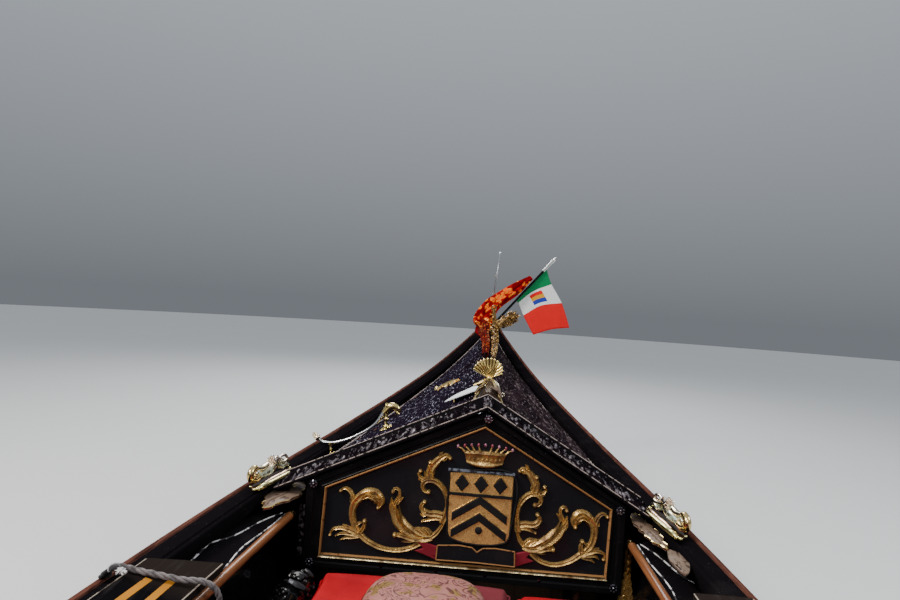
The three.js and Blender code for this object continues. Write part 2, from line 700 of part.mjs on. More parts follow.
// Carved black arms at the bench's ends: x, height, radius along each; then their middle y and size
const ARM = [[2476, 352, 16], [2440, 358, 32], [2300, 360, 38], [2190, 352, 38], [2144, 338, 26]];
const ARMS = [
  { name: 'port', y: 443, grow: 1, foot: [424, 450] },
  { name: 'starboard', y: -335, grow: 0.76, foot: [-339, -318] },
];
for (const { name, y, grow, foot } of ARMS) {
  const roll = taper(ARM.map(([x, z]) => [x, y, z]), ARM.map((row) => row[2] * grow), 10);
  const rest = block([2210, foot[0], BENCH.top + 0.5], [2420, foot[1], 352]);
  piece(`bench_arm_${name}`, joined([roll, rest]), carved);
}

// Main seat amidships: base, cushion and the curved back with its scalloped top
const SEAT = { aft: -330, fore: 290, port: 520, starboard: -360, deep: 300, top: 130 };
const seatBase = block([SEAT.aft, SEAT.starboard, floorTop(SEAT.aft) + 12], [SEAT.fore, SEAT.port, SEAT.top]);
piece('seat_base', inHull(seatBase, SEAT.aft - 50, SEAT.fore + 50, 40), lacquer);
piece('seat_cushion', cushion([SEAT.aft + 135, SEAT.starboard + 70, SEAT.top + 2], [SEAT.fore + 15, SEAT.port - 70, SEAT.top + 130], 34), redSatin);

// Back of the main seat, half of it: share of the half width, how far forward it bends, height of its top
const SEAT_BACK = [
  [0, 0, 800],
  [0.2, 4, 770],
  [0.38, 18, 690],
  [0.55, 42, 672],
  [0.75, 100, 610],
  [0.9, 190, 520],
  [1, 320, 430],
];
function seatBack() {
  const centre = (SEAT.port + SEAT.starboard) / 2;
  const halfWide = (SEAT.port - SEAT.starboard) / 2 + 28;
  const thick = 42;
  const half = SEAT_BACK.map(([share, bend, top]) => ({ y: share * halfWide, x: SEAT.aft - 60 + bend, top }));
  const rows = [...half.slice(1).reverse().map((row) => ({ ...row, y: -row.y })), ...half];
  const foot = SEAT.top + 4;
  const positions = [];
  for (const { y, x, top } of rows) {
    for (const [at, z] of [[x, foot], [x + thick, foot], [x + thick, top], [x, top]]) positions.push(at, centre + y, z);
  }
  const faces = [];
  for (let r = 0; r + 1 < rows.length; r += 1) {
    for (let i = 0; i < 4; i += 1) {
      const j = (i + 1) % 4;
      const [a, b, c, d] = [r * 4 + i, r * 4 + j, (r + 1) * 4 + j, (r + 1) * 4 + i];
      faces.push(a, c, b, a, d, c);
    }
  }
  const end = (rows.length - 1) * 4;
  faces.push(0, 1, 2, 0, 2, 3, end, end + 2, end + 1, end, end + 3, end + 2);
  const geometry = new THREE.BufferGeometry();
  geometry.setAttribute('position', new THREE.Float32BufferAttribute(positions, 3));
  geometry.setIndex(faces);
  return geometry;
}
piece('seat_back', seatBack(), lacquer);

// Two low stools beside the foot well, each with its pad
const STOOL = { aft: 760, fore: 1120, wide: 300, top: 190 };
const STOOL_Y = { port: 236, starboard: -400 };
for (const { name } of SIDES) {
  const y = STOOL_Y[name];
  const { aft, fore, wide, top } = STOOL;
  const stool = block([aft, y, floorTop(fore) + 6], [fore, y + wide, top]);
  piece(`stool_${name}`, inHull(stool, aft - 50, fore + 50), lacquer);
  piece(`stool_pad_${name}`, cushion([aft + 6, y + 6, top + 2], [fore - 6, y + wide - 6, top + 82], 26), redSatin);
}

// Thwart across the aft part of the cockpit and the rower's footboard on the afterdeck
const THWART = { aft: -1790, fore: -1560, low: 318, thick: 28 };
function thwart() {
  return loft([THWART.aft, THWART.fore].map((x) => {
    const h = hullAt(x);
    const chain = (z) => [STARBOARD, PORT].map((side) => [insideY(h, side, THWART.low, 40), z]);
    return { x, outer: chain(THWART.low + THWART.thick), inner: chain(THWART.low) };
  }));
}
piece('aft_thwart', thwart(), lacquer);

const FOOTBOARD = { aft: -3300, fore: -2700, starboard: -230, port: 290, top: 862, clear: 8 };
function footboard() {
  const { aft, fore, starboard, port, top } = FOOTBOARD;
  return loft(stops(aft, fore, [STATIONS, AFTERDECK]).map((x) => {
    const [starboardCrown, portCrown] = [STARBOARD, PORT].map((side) => slope(AFTERDECK, x, side)[1][0]);
    const ys = [starboard, starboardCrown, 0, portCrown, port];
    const seat = (y) => deckTop(AFTERDECK, x, y) + FOOTBOARD.clear;
    return { x, outer: ys.map((y) => [y, top]), inner: ys.map((y) => [y, seat(y)]) };
  }));
}
piece('footboard', footboard(), boards);

// Rowing crutch on the starboard gunwale and the oar that turns in it
const CRUTCH = { x: -2350, fromOuter: 36, thick: 58, foot: 2, notch: 470 };
const OAR = { inboard: 1250, outboard: 2950, radius: 26, dip: 24 * (Math.PI / 180), aftward: 20 * (Math.PI / 180) };
const SWING = { from: -30, to: 40, step: 10 };
const CRUTCH_CLEAR = 2.5;
const crutchHull = hullAt(CRUTCH.x);
const crutchY = crutchHull.centre - (crutchHull.half - CRUTCH.fromOuter);
const crutchFoot = hullAt(CRUTCH.x - 120).sheer + CRUTCH.foot;
const PIVOT = new THREE.Vector3(CRUTCH.x, crutchY, crutchFoot + CRUTCH.notch);

// Outline of the crutch, [along, up] from its foot, aft side first
const CRUTCH_OUTLINE = [
  [-62, 0], [-78, 70], [-60, 150], [-22, 215], [-30, 280], [-74, 330], [-92, 392], [-70, 440], [-44, 452],
  [0, 440], [46, 454], [64, 492], [50, 540], [76, 566], [112, 548], [124, 480], [108, 400], [70, 330],
  [62, 250], [92, 170], [96, 80], [78, 0],
];

// Oar: distance from the pivot (+ outboard), half-width and half-thickness of its section
const OAR_SECTIONS = [
  [-OAR.inboard, 17, 17],
  [-OAR.inboard + 120, 21, 21],
  [-500, 26, 26],
  [900, 26, 26],
  [1500, 24, 22],
  [1900, 42, 17],
  [2300, 68, 12],
  [OAR.outboard - 40, 74, 7],
  [OAR.outboard, 60, 6],
];

/** The oar's body at a swing in degrees, each half-size grown by clear. */
function oarBody(sections, swing, clear = 0) {
  const body = loft(sections.map(([x, wide, thick]) => {
    const turns = [-0.75, -0.25, 0.25, 0.75].map((t) => t * Math.PI / 1.5);
    const arc = (sign) => turns.map((t) => [Math.sin(t) * (wide + clear), sign * Math.cos(t) * (thick + clear)]);
    return { x, outer: arc(1), inner: arc(-1) };
  }));
  body.rotateY(OAR.dip);
  body.rotateZ(-Math.PI / 2 - OAR.aftward + (swing * Math.PI) / 180);
  body.translate(PIVOT.x, PIVOT.y, PIVOT.z);
  return body;
}

function crutch() {
  const outline = CRUTCH_OUTLINE.map(([along, up]) => [CRUTCH.x + along, crutchFoot + up]);
  const body = plateXZ(outline, CRUTCH.thick, crutchY);
  const shaft = [[-260, OAR.radius, OAR.radius], [260, OAR.radius, OAR.radius]];
  const paths = [];
  for (let swing = SWING.from; swing <= SWING.to; swing += SWING.step) paths.push(oarBody(shaft, swing, CRUTCH_CLEAR));
  return cut(body, paths);
}
piece('crutch', crutch(), walnut);
piece('oar', oarBody(OAR_SECTIONS, 0), oarWood);

// Lashing over the port side board: [x, y, z] of its middle, from under the side deck, round the rail, to the knot
const LASHING = { radius: 7, sides: 8, steps: 26 };
const LASHING_ROUTE = [
  [2118, 551, 454], [2116, 541, 448.5], [2113, 530, 445], [2110, 518, 445.5], [2106, 506, 450], [2101, 496, 458.5],
  [2096, 490.5, 469], [2091, 488.5, 481], [2086, 490.5, 493], [2080, 496, 504], [2074, 504.5, 513],
  [2067, 515, 519.5], [2060, 527, 523], [2054, 540, 525.5], [2049, 556, 529], [2044, 574, 533.5], [2040, 594, 539],
  [2037, 612, 544.2], [2034, 628, 549.5], [2033, 641, 553.5], [2032.5, 647, 554.8], [2033, 653, 554.6],
  [2034, 659.5, 552.8], [2035, 665.5, 549.2], [2036.5, 670.3, 544.6], [2038, 673.8, 540],
];
function lashing() {
  const section = new THREE.Shape(Array.from({ length: LASHING.sides }, (_, i) => {
    const turn = (2 * Math.PI * i) / LASHING.sides;
    return new THREE.Vector2(LASHING.radius * Math.cos(turn), LASHING.radius * Math.sin(turn));
  }));
  const extrudePath = new THREE.CatmullRomCurve3(LASHING_ROUTE.map((point) => new THREE.Vector3(...point)));
  return new THREE.ExtrudeGeometry(section, { steps: LASHING.steps, extrudePath, bevelEnabled: false });
}
piece('lashing', lashing(), cordage);

// Knot at the lashing's outer end, on the gunwale: [x, y, z, radius]
const KNOT = [[2039, 675, 538.6, 7.5], [2039, 677.5, 534.5, 12], [2040, 682, 528.5, 9.5], [2040.5, 685, 525, 4]];
piece('lashing_knot', taper(KNOT.map((row) => row.slice(0, 3)), KNOT.map((row) => row[3])), cordage);

export default gondola;
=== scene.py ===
"""A gondola afloat, dressed: hull, decks, carving, gilding, brass, cushions, flags and oar.

Sizes in the tables and fields are millimetres, and Shape turns them into Blender's metres. +X is
towards the bow, +Y to port and +Z up. The origin is on the waterline amidships.
"""
from __future__ import annotations

import logging
import math
import random
from collections.abc import Callable, Iterable, Sequence
from dataclasses import dataclass, field, replace
from enum import Enum

import bmesh
import bpy
from mathutils import Matrix, Vector


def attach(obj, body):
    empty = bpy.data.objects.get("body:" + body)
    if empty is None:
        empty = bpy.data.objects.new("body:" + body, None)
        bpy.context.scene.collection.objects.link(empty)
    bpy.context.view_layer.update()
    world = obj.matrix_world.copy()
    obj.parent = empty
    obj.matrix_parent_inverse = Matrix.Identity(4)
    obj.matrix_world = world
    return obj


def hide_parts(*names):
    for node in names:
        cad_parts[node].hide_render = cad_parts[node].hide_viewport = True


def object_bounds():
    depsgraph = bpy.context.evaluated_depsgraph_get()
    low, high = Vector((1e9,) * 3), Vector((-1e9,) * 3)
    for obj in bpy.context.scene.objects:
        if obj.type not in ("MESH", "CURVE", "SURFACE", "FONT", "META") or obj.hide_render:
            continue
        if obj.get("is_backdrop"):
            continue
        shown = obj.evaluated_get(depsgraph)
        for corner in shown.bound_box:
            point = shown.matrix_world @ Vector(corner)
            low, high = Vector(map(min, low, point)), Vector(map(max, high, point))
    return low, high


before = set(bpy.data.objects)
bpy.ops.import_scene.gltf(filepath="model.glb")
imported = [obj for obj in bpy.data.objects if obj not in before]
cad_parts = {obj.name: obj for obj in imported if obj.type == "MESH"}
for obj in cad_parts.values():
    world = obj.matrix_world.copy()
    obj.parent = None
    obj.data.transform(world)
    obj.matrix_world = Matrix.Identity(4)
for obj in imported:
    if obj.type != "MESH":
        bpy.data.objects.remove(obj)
log = logging.getLogger("gondola")

MM = 0.001
FULL_TURN = 2 * math.pi
TINY = 1e-6
BOAT = "boat"
OAR = "oar"

Pair = tuple[float, float]
Vec = tuple[float, float, float]
Place = Callable[[float, float, float], Vec]


class Side(Enum):
    """The two sides of the boat, with the sign that Y has there."""

    PORT = 1
    STARBOARD = -1

    @property
    def word(self) -> str:
        """The side's word in the names of pieces."""
        return self.name.lower()


class Curve:
    """Reads a table smoothly: each row is a place and the values there."""

    def __init__(self, rows: Sequence[Sequence[float]]) -> None:
        """Keeps the rows and works out how each value changes at each of them.

        Args:
            rows: Rows of (place, value, value, ...) with rising places.
        """
        self.places = [row[0] for row in rows]
        self.columns = [list(column) for column in zip(*rows)][1:]
        self.slopes = [self._slopes(column) for column in self.columns]

    def _slopes(self, values: list[float]) -> list[float]:
        """Slope of one column at each row, from the parabola through its neighbours."""
        steps = [b - a for a, b in zip(self.places, self.places[1:])]
        rises = [(b - a) / h for a, b, h in zip(values, values[1:], steps)]
        inner = [
            (rises[i] * steps[i + 1] + rises[i + 1] * steps[i]) / (steps[i] + steps[i + 1])
            for i in range(len(steps) - 1)
        ]
        return [rises[0], *inner, rises[-1]]

    def at(self, place: float) -> tuple[float, ...]:
        """Reads the values at a place.

        Args:
            place: Where to read; outside the table its nearest end counts.

        Returns:
            One value a column.
        """
        place = min(max(place, self.places[0]), self.places[-1])
        i = 0
        while i < len(self.places) - 2 and place > self.places[i + 1]:
            i += 1
        step = self.places[i + 1] - self.places[i]
        t = (place - self.places[i]) / step
        low, high = (1 + 2 * t) * (1 - t) ** 2, t * t * (3 - 2 * t)
        start, end = t * (1 - t) ** 2 * step, t * t * (t - 1) * step
        return tuple(
            low * v[i] + high * v[i + 1] + start * s[i] + end * s[i + 1]
            for v, s in zip(self.columns, self.slopes)
        )


def spread(low: float, high: float, count: int) -> list[float]:
    """Evenly spread values from low to high, both included.

    Args:
        low: First value.
        high: Last value.
        count: How many values.

    Returns:
        The values.
    """
    return [low + (high - low) * i / (count - 1) for i in range(count)]


def route(rows: Sequence[Sequence[float]], steps: int) -> list[tuple[float, ...]]:
    """Runs a smooth curve through rows of coordinates, which may carry a radius or width as well.

    Args:
        rows: The rows that the curve passes.
        steps: How many points to give.

    Returns:
        Points at even steps of the curve.
    """
    places = [0.0]
    for a, b in zip(rows, rows[1:]):
        places.append(places[-1] + max(math.dist(a[:3], b[:3]), TINY))
    curve = Curve([(place, *row) for place, row in zip(places, rows)])
    return [curve.at(place) for place in spread(0, places[-1], steps)]


def heading(path: Sequence[Sequence[float]], i: int) -> Vector:
    """Direction of a path at its point i, from the points beside it."""
    ahead, behind = path[min(i + 1, len(path) - 1)], path[max(i - 1, 0)]
    return (Vector(ahead[:3]) - Vector(behind[:3])).normalized()


def compass(count: int) -> list[Pair]:
    """Cosine and sine of evenly spread turns of a full circle."""
    turns = [FULL_TURN * k / count for k in range(count)]
    return [(math.cos(turn), math.sin(turn)) for turn in turns]


def moved(rows: Iterable[Sequence[float]], by: Sequence[float]) -> list[tuple[float, ...]]:
    """Rows of (x, y, z, radius), all moved by the same step."""
    return [(x + by[0], y + by[1], z + by[2], r) for x, y, z, r in rows]


def clamped(value: float, low: float = 0.0, high: float = 1.0) -> float:
    """The value, kept between low and high."""
    return max(low, min(high, value))


# The least cosine that an inset reckons with at a corner, which keeps sharp corners short
SHARPEST = 0.5


def inset(outline: Sequence[Pair], by: float) -> list[Pair]:
    """Draws an outline in, or out when by is negative.

    Args:
        outline: Corners of a closed outline.
        by: Distance to draw it in.

    Returns:
        The new corners, one for each old one.
    """
    count = len(outline)
    area = sum(
        outline[i][0] * outline[(i + 1) % count][1] - outline[(i + 1) % count][0] * outline[i][1]
        for i in range(count)
    )
    turn = by if area > 0 else -by
    moved = []
    for i, (u, v) in enumerate(outline):
        before, after = Vector(outline[i - 1]), Vector(outline[(i + 1) % count])
        here = Vector((u, v))
        first, second = (here - before).normalized(), (after - here).normalized()
        normal = Vector((-first.y - second.y, first.x + second.x))
        if normal.length < TINY:
            normal = Vector((-first.y, first.x))
        normal.normalize()
        reach = turn / max(SHARPEST, normal.dot(Vector((-second.y, second.x))))
        moved.append((u + normal.x * reach, v + normal.y * reach))
    return moved


def arc(centre: Pair, radius: float, start: float, end: float, steps: int) -> list[Pair]:
    """Points of an arc.

    Args:
        centre: Its middle.
        radius: Its radius.
        start: First angle in degrees.
        end: Last angle in degrees.
        steps: How many points.

    Returns:
        The points.
    """
    angles = [math.radians(a) for a in spread(start, end, steps)]
    return [(centre[0] + radius * math.cos(a), centre[1] + radius * math.sin(a)) for a in angles]


class Shape:
    """A mesh while it is being made, in millimetres, with a finish number on each face."""

    # Radius of a pointed end, and how near to its poles a ball's rings come, in half turns
    POINT = 0.05
    POLE = 0.49
    # Eased edges: how sharp an edge has to be, in degrees, and the steps round it
    EASE_OVER = 35
    EASE_STEPS = 2

    def __init__(self) -> None:
        """Starts with no points."""
        self.points: list[Vec] = []
        self.faces: list[tuple[int, ...]] = []
        self.paints: list[int] = []

    def face(self, corners: Iterable[int], paint: int = 0) -> None:
        """Adds one face over points that are there."""
        self.faces.append(tuple(corners))
        self.paints.append(paint)

    def grid(
        self,
        rows: Sequence[Sequence[Vec]],
        paint: int = 0,
        ring: bool = False,
        caps: bool = False,
        loop: bool = False,
        stripes: Callable[[int, int], int] | None = None,
    ) -> Shape:
        """Spans faces between rows of points.

        Args:
            rows: Rows with the same number of points.
            paint: Finish number of its faces.
            ring: Whether each row closes on itself.
            caps: Whether the first and last row are filled.
            loop: Whether the last row joins the first.
            stripes: Gives the finish number from row and column, instead of paint.

        Returns:
            The shape itself.
        """
        first, wide = len(self.points), len(rows[0])
        for row in rows:
            self.points.extend(tuple(point) for point in row)
        for r in range(len(rows) if loop else len(rows) - 1):
            near, far = first + r * wide, first + ((r + 1) % len(rows)) * wide
            for i in range(wide if ring else wide - 1):
                j = (i + 1) % wide
                number = stripes(r, i) if stripes else paint
                self.face((near + i, near + j, far + j, far + i), number)
        if caps:
            last = first + (len(rows) - 1) * wide
            self.face(reversed(range(first, first + wide)), paint)
            self.face(range(last, last + wide), paint)
        return self

    def loft(self, sections: Sequence[Sequence[Vec]], paint: int = 0) -> Shape:
        """Spans a closed skin over closed sections and fills both ends."""
        return self.grid(sections, paint, ring=True, caps=True)

    def bar(
        self,
        rows: Sequence[Sequence[float]],
        steps: int = 24,
        sides: int = 10,
        paint: int = 0,
        flat: float = 1.0,
        up: Vec = (0, 0, 1),
        fluted: float = 0.0,
    ) -> Shape:
        """Sweeps a round or flattened bar along a smooth path.

        Args:
            rows: Rows of (x, y, z, radius) that it passes.
            steps: Sections along it.
            sides: Points round it.
            paint: Finish number.
            flat: Its thickness along up as a share of its width.
            up: The direction in which it is flattened.
            fluted: Depth of the grooves along it, as a share of its radius.

        Returns:
            The shape itself.
        """
        path = route(rows, steps)
        across = Vector(up)
        sections = []
        for i, (x, y, z, radius) in enumerate(path):
            along = heading(path, i)
            across = (across - along * across.dot(along)).normalized()
            other = along.cross(across)
            section = []
            for k, (cos, sin) in enumerate(compass(sides)):
                reach = radius * (1 - fluted * (k % 2))
                section.append(tuple(Vector((x, y, z)) + (across * (cos * flat) + other * sin) * reach))
            sections.append(section)
        return self.loft(sections, paint)

    def rods(self, points: Sequence[Vec], radius: float, sides: int = 8, paint: int = 0) -> Shape:
        """Runs straight round bars from point to point."""
        for near, far in zip(points, points[1:]):
            self.bar([(*near, radius), (*far, radius)], 2, sides, paint)
        return self

    def turned(
        self, foot: Vec, axis: Vec, profile: Sequence[Pair], sides: int = 16, paint: int = 0
    ) -> Shape:
        """Turns a profile about an axis.

        Args:
            foot: Where the axis starts.
            axis: Its direction.
            profile: Rows of (distance along the axis, radius).
            sides: Points round it.
            paint: Finish number.

        Returns:
            The shape itself.
        """
        along = Vector(axis).normalized()
        across = along.orthogonal().normalized()
        other = along.cross(across)
        sections = []
        for height, radius in profile:
            middle = Vector(foot) + along * height
            wide = max(radius, self.POINT)
            sections.append([tuple(middle + (across * cos + other * sin) * wide)
                             for cos, sin in compass(sides)])
        return self.loft(sections, paint)

    def ball(self, centre: Sequence[float], radii: Vec, sides: int = 12, paint: int = 0) -> Shape:
        """Adds an egg shape.

        Args:
            centre: Its middle.
            radii: Its half-sizes along X, Y and Z.
            sides: Points round it.
            paint: Finish number.

        Returns:
            The shape itself.
        """
        (x, y, z), (long, broad, tall) = centre, radii
        sections = []
        for lift in spread(-self.POLE, self.POLE, max(5, sides // 2 + 1)):
            high, wide = math.sin(lift * math.pi), math.cos(lift * math.pi)
            sections.append([
                (x + long * wide * cos, y + broad * wide * sin, z + tall * high)
                for cos, sin in compass(sides)
            ])
        return self.loft(sections, paint)

    def plate(
        self, outline: Sequence[Pair], place: Place, low: float, high: float, edge: float = 0.0,
        paint: int = 0,
    ) -> Shape:
        """Stands a plate on a surface, its upper and lower edges eased.

        Args:
            outline: Its closed outline on the surface.
            place: The surface.
            low: Where it starts above the surface.
            high: Where it ends above the surface.
            edge: How far its upper and lower edges are eased.
            paint: Finish number.

        Returns:
            The shape itself.
        """
        levels = [(outline, low), (outline, high)]
        if edge:
            inner = inset(outline, edge)
            levels = [(inner, low), (outline, low + edge), (outline, high - edge), (inner, high)]
        return self.loft([[place(u, v, w) for u, v in line] for line, w in levels], paint)

    def leafy(
        self, rows: Sequence[Sequence[float]], count: int, seed: int, lift: float, size: float = 1.0
    ) -> Shape:
        """Covers a bar with small leaves, three to a ring, and a bud on every third ring.

        Args:
            rows: The bar's rows of (x, y, z, radius).
            count: How many rings of leaves.
            seed: Start of their random order.
            lift: How far their tips stand out, as a share of the radius.
            size: Factor for the leaves' length and width.

        Returns:
            The shape itself.
        """
        rng = random.Random(seed)
        path = route(rows, count)
        # Shares of the radius: a leaf's root, its bulge, how far its tip lies along, and its widths
        inner, bulge, reach, widths = 0.62, 0.18, (-0.7, 1.1), (0.16, 0.26, 0.05)
        bud_at, bud = 0.84, 0.2
        for i, (*here, radius) in enumerate(path):
            along = heading(path, i)
            across = along.orthogonal().normalized()
            for _ in range(3):
                turn = rng.uniform(0, FULL_TURN)
                out = across * math.cos(turn) + along.cross(across) * math.sin(turn)
                root = Vector(here) + out * radius * inner
                tip = Vector(here) + (out * lift + along * rng.uniform(*reach) * size) * radius
                middle = (root + tip) / 2 + out * radius * bulge
                leaf = ((*root, radius * widths[0] * size), (*middle, radius * widths[1] * size),
                        (*tip, radius * widths[2]))
                self.bar(leaf, 7, 6, rng.choice((0, 0, 1)), flat=0.5, up=tuple(out))
            if i % 3 == 0:
                self.ball(Vector(here) + out * radius * bud_at, (radius * bud * size,) * 3, 8, 1)
        return self

    def box(self, low: Vec, high: Vec, paint: int = 0) -> Shape:
        """Adds a block between two corners."""
        corners = [(low[0], low[1]), (high[0], low[1]), (high[0], high[1]), (low[0], high[1])]
        return self.loft([[(x, y, z) for x, y in corners] for z in (low[2], high[2])], paint)

    def piece(
        self,
        name: str,
        finishes: Sequence[Finish],
        replaces: Sequence[str] = (),
        body: str = BOAT,
        sharp: float = 40.0,
        ease: float = 0.0,
    ) -> bpy.types.Object:
        """Makes the Blender object, dressed and riding on its body.

        Args:
            name: The piece's name.
            finishes: Its finishes, in the order of the finish numbers.
            replaces: The solids that it stands for.
            body: The body that carries it.
            sharp: Edges over this many degrees stay crisp.
            ease: Radius of its eased edges.

        Returns:
            The new object.
        """
        mesh = bpy.data.meshes.new(name)
        mesh.from_pydata([[c * MM for c in point] for point in self.points], [], self.faces)
        for finish in finishes:
            mesh.materials.append(finish.material())
        mesh.polygons.foreach_set("material_index", self.paints)
        outward(mesh)
        mesh.shade_smooth()
        mesh.set_sharp_from_angle(angle=math.radians(sharp))
        obj = bpy.data.objects.new(name, mesh)
        bpy.context.scene.collection.objects.link(obj)
        if ease:
            bevel = obj.modifiers.new("eased edges", "BEVEL")
            bevel.width, bevel.segments = ease * MM, self.EASE_STEPS
            bevel.limit_method, bevel.angle_limit = "ANGLE", math.radians(self.EASE_OVER)
            bevel.harden_normals = True
        settle(obj, finishes[0], replaces, body)
        return obj


def outward(mesh: bpy.types.Mesh) -> None:
    """Turns all faces of a mesh outward."""
    work = bmesh.new()
    work.from_mesh(mesh)
    bmesh.ops.recalc_face_normals(work, faces=work.faces)
    work.to_mesh(mesh)
    work.free()


def settle(obj: bpy.types.Object, finish: Finish, replaces: Sequence[str], body: str) -> None:
    """Gives a piece its body and hides the solids that it stands for.

    Args:
        obj: The piece.
        finish: Its main finish; not used.
        replaces: Names of the solids.
        body: Name of the body.
    """
    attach(obj, body)
    if replaces:
        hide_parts(*replaces)
    log.info("%s: %d points", obj.name, len(obj.data.vertices))


@dataclass(frozen=True)
class Stroke:
    """One carved stroke: a leaf, a stem or a curl on a surface."""

    path: tuple[Pair, ...]
    widths: tuple[float, ...]
    height: float = 7.0
    eye: float = 0.0
    lobes: int = 0


class Carver:
    """Carves strokes in relief on a surface."""

    # Cross-section of a stroke: share of its half-width, share of its height
    SECTION = ((-1.0, -0.25), (-0.86, 0.45), (-0.5, 0.95), (-0.12, 0.72), (0.0, 0.62),
               (0.12, 0.72), (0.5, 0.95), (0.86, 0.45), (1.0, -0.25))
    # Distance between the sections of a stroke, the fewest of them and its least width
    EVERY = 7.0
    FEWEST = 6
    THINNEST = 0.3
    # An eye's height as a share of the stroke's, and the rings of a boss as shares of its height
    EYE_RISE = 1.15
    DOME = (-0.2, 0.35, 0.7, 0.92, 1.0)
    # Side lobes: where the first stands along the stroke and how much of it they take; then, in
    # shares of its width, how far out the root is, and how far the bend and the tip lie from the
    # root, out and along; then their own width and height
    LOBES_FROM, LOBES_OVER = 0.12, 0.62
    LOBE_ROOT, LOBE_BEND, LOBE_TIP = 0.3, (0.42, 0.45), (0.4, 1.15)
    LOBE_WIDTHS, LOBE_HEIGHT = (0.5, 0.42), 0.8

    def __init__(self, shape: Shape, place: Place, paint: int = 0, breadth: float = 1.0) -> None:
        """Takes the shape that grows, the surface, the finish number and a factor for the widths."""
        self.shape = shape
        self.place = place
        self.paint = paint
        self.breadth = breadth

    def carve(self, strokes: Iterable[Stroke]) -> None:
        """Carves each of the strokes."""
        for stroke in strokes:
            self.stroke(stroke)

    def stroke(self, stroke: Stroke) -> None:
        """Carves one stroke, with its side lobes and the round eye at its tip.

        Args:
            stroke: What to carve.
        """
        length = sum(math.dist(a, b) for a, b in zip(stroke.path, stroke.path[1:]))
        steps = max(self.FEWEST, round(length / self.EVERY))
        path = route(stroke.path, steps)
        last = len(stroke.widths) - 1
        widths = Curve([(i / last, w * self.breadth) for i, w in enumerate(stroke.widths)])
        widest = max(stroke.widths) * self.breadth
        rows = []
        for i, (u, v) in enumerate(path):
            half = max(widths.at(i / (steps - 1))[0], self.THINNEST) / 2
            along = heading(path, i)
            high = stroke.height * math.sqrt(min(1.0, 2 * half / widest))
            rows.append([self.place(u - along.y * half * t, v + along.x * half * t, high * h)
                         for t, h in self.SECTION])
        self.shape.loft(rows, self.paint)
        if stroke.eye:
            self.dome(path[-1], stroke.eye, stroke.height * self.EYE_RISE)
        if stroke.lobes:
            self._lobes(stroke, path, widths)

    def _lobes(self, stroke: Stroke, path: list[tuple[float, ...]], widths: Curve) -> None:
        """Sets small lobes along both edges of a stroke.

        Args:
            stroke: The stroke that carries them.
            path: Its points.
            widths: Its width along its length.
        """
        for k in range(stroke.lobes):
            share = self.LOBES_FROM + self.LOBES_OVER * k / max(1, stroke.lobes - 1)
            i = round(share * (len(path) - 1))
            along = heading(path, i)
            width = widths.at(share)[0] / self.breadth
            for side in (-1, 1):
                out = Vector((-along.y, along.x)) * side
                points = [Vector(path[i]) + out * width * self.LOBE_ROOT]
                for aside, ahead in (self.LOBE_BEND, self.LOBE_TIP):
                    points.append(points[0] + out * width * aside + along * width * ahead)
                broad, narrow = (width * share_of for share_of in self.LOBE_WIDTHS)
                self.stroke(Stroke(tuple(tuple(point) for point in points), (broad, narrow, 1.5),
                                   stroke.height * self.LOBE_HEIGHT))

    def dome(self, centre: Sequence[float], radius: float, height: float) -> None:
        """Sets a round boss.

        Args:
            centre: Where on the surface.
            radius: Its radius.
            height: How high it stands.
        """
        rows = []
        for lift in self.DOME:
            reach = radius * math.sqrt(max(0.004, 1 - max(0.0, lift) ** 2))
            rows.append([self.place(centre[0] + reach * cos, centre[1] + reach * sin, height * lift)
                         for cos, sin in compass(10)])
        self.shape.loft(rows, self.paint)


Colour = tuple[float, float, float]
Socket = bpy.types.NodeSocket
Amount = Socket | float
Tint = Socket | Colour


def dimmed(colour: Colour, share: float) -> Colour:
    """The colour at a share of its brightness, at most white."""
    return tuple(min(1.0, c * share) for c in colour)


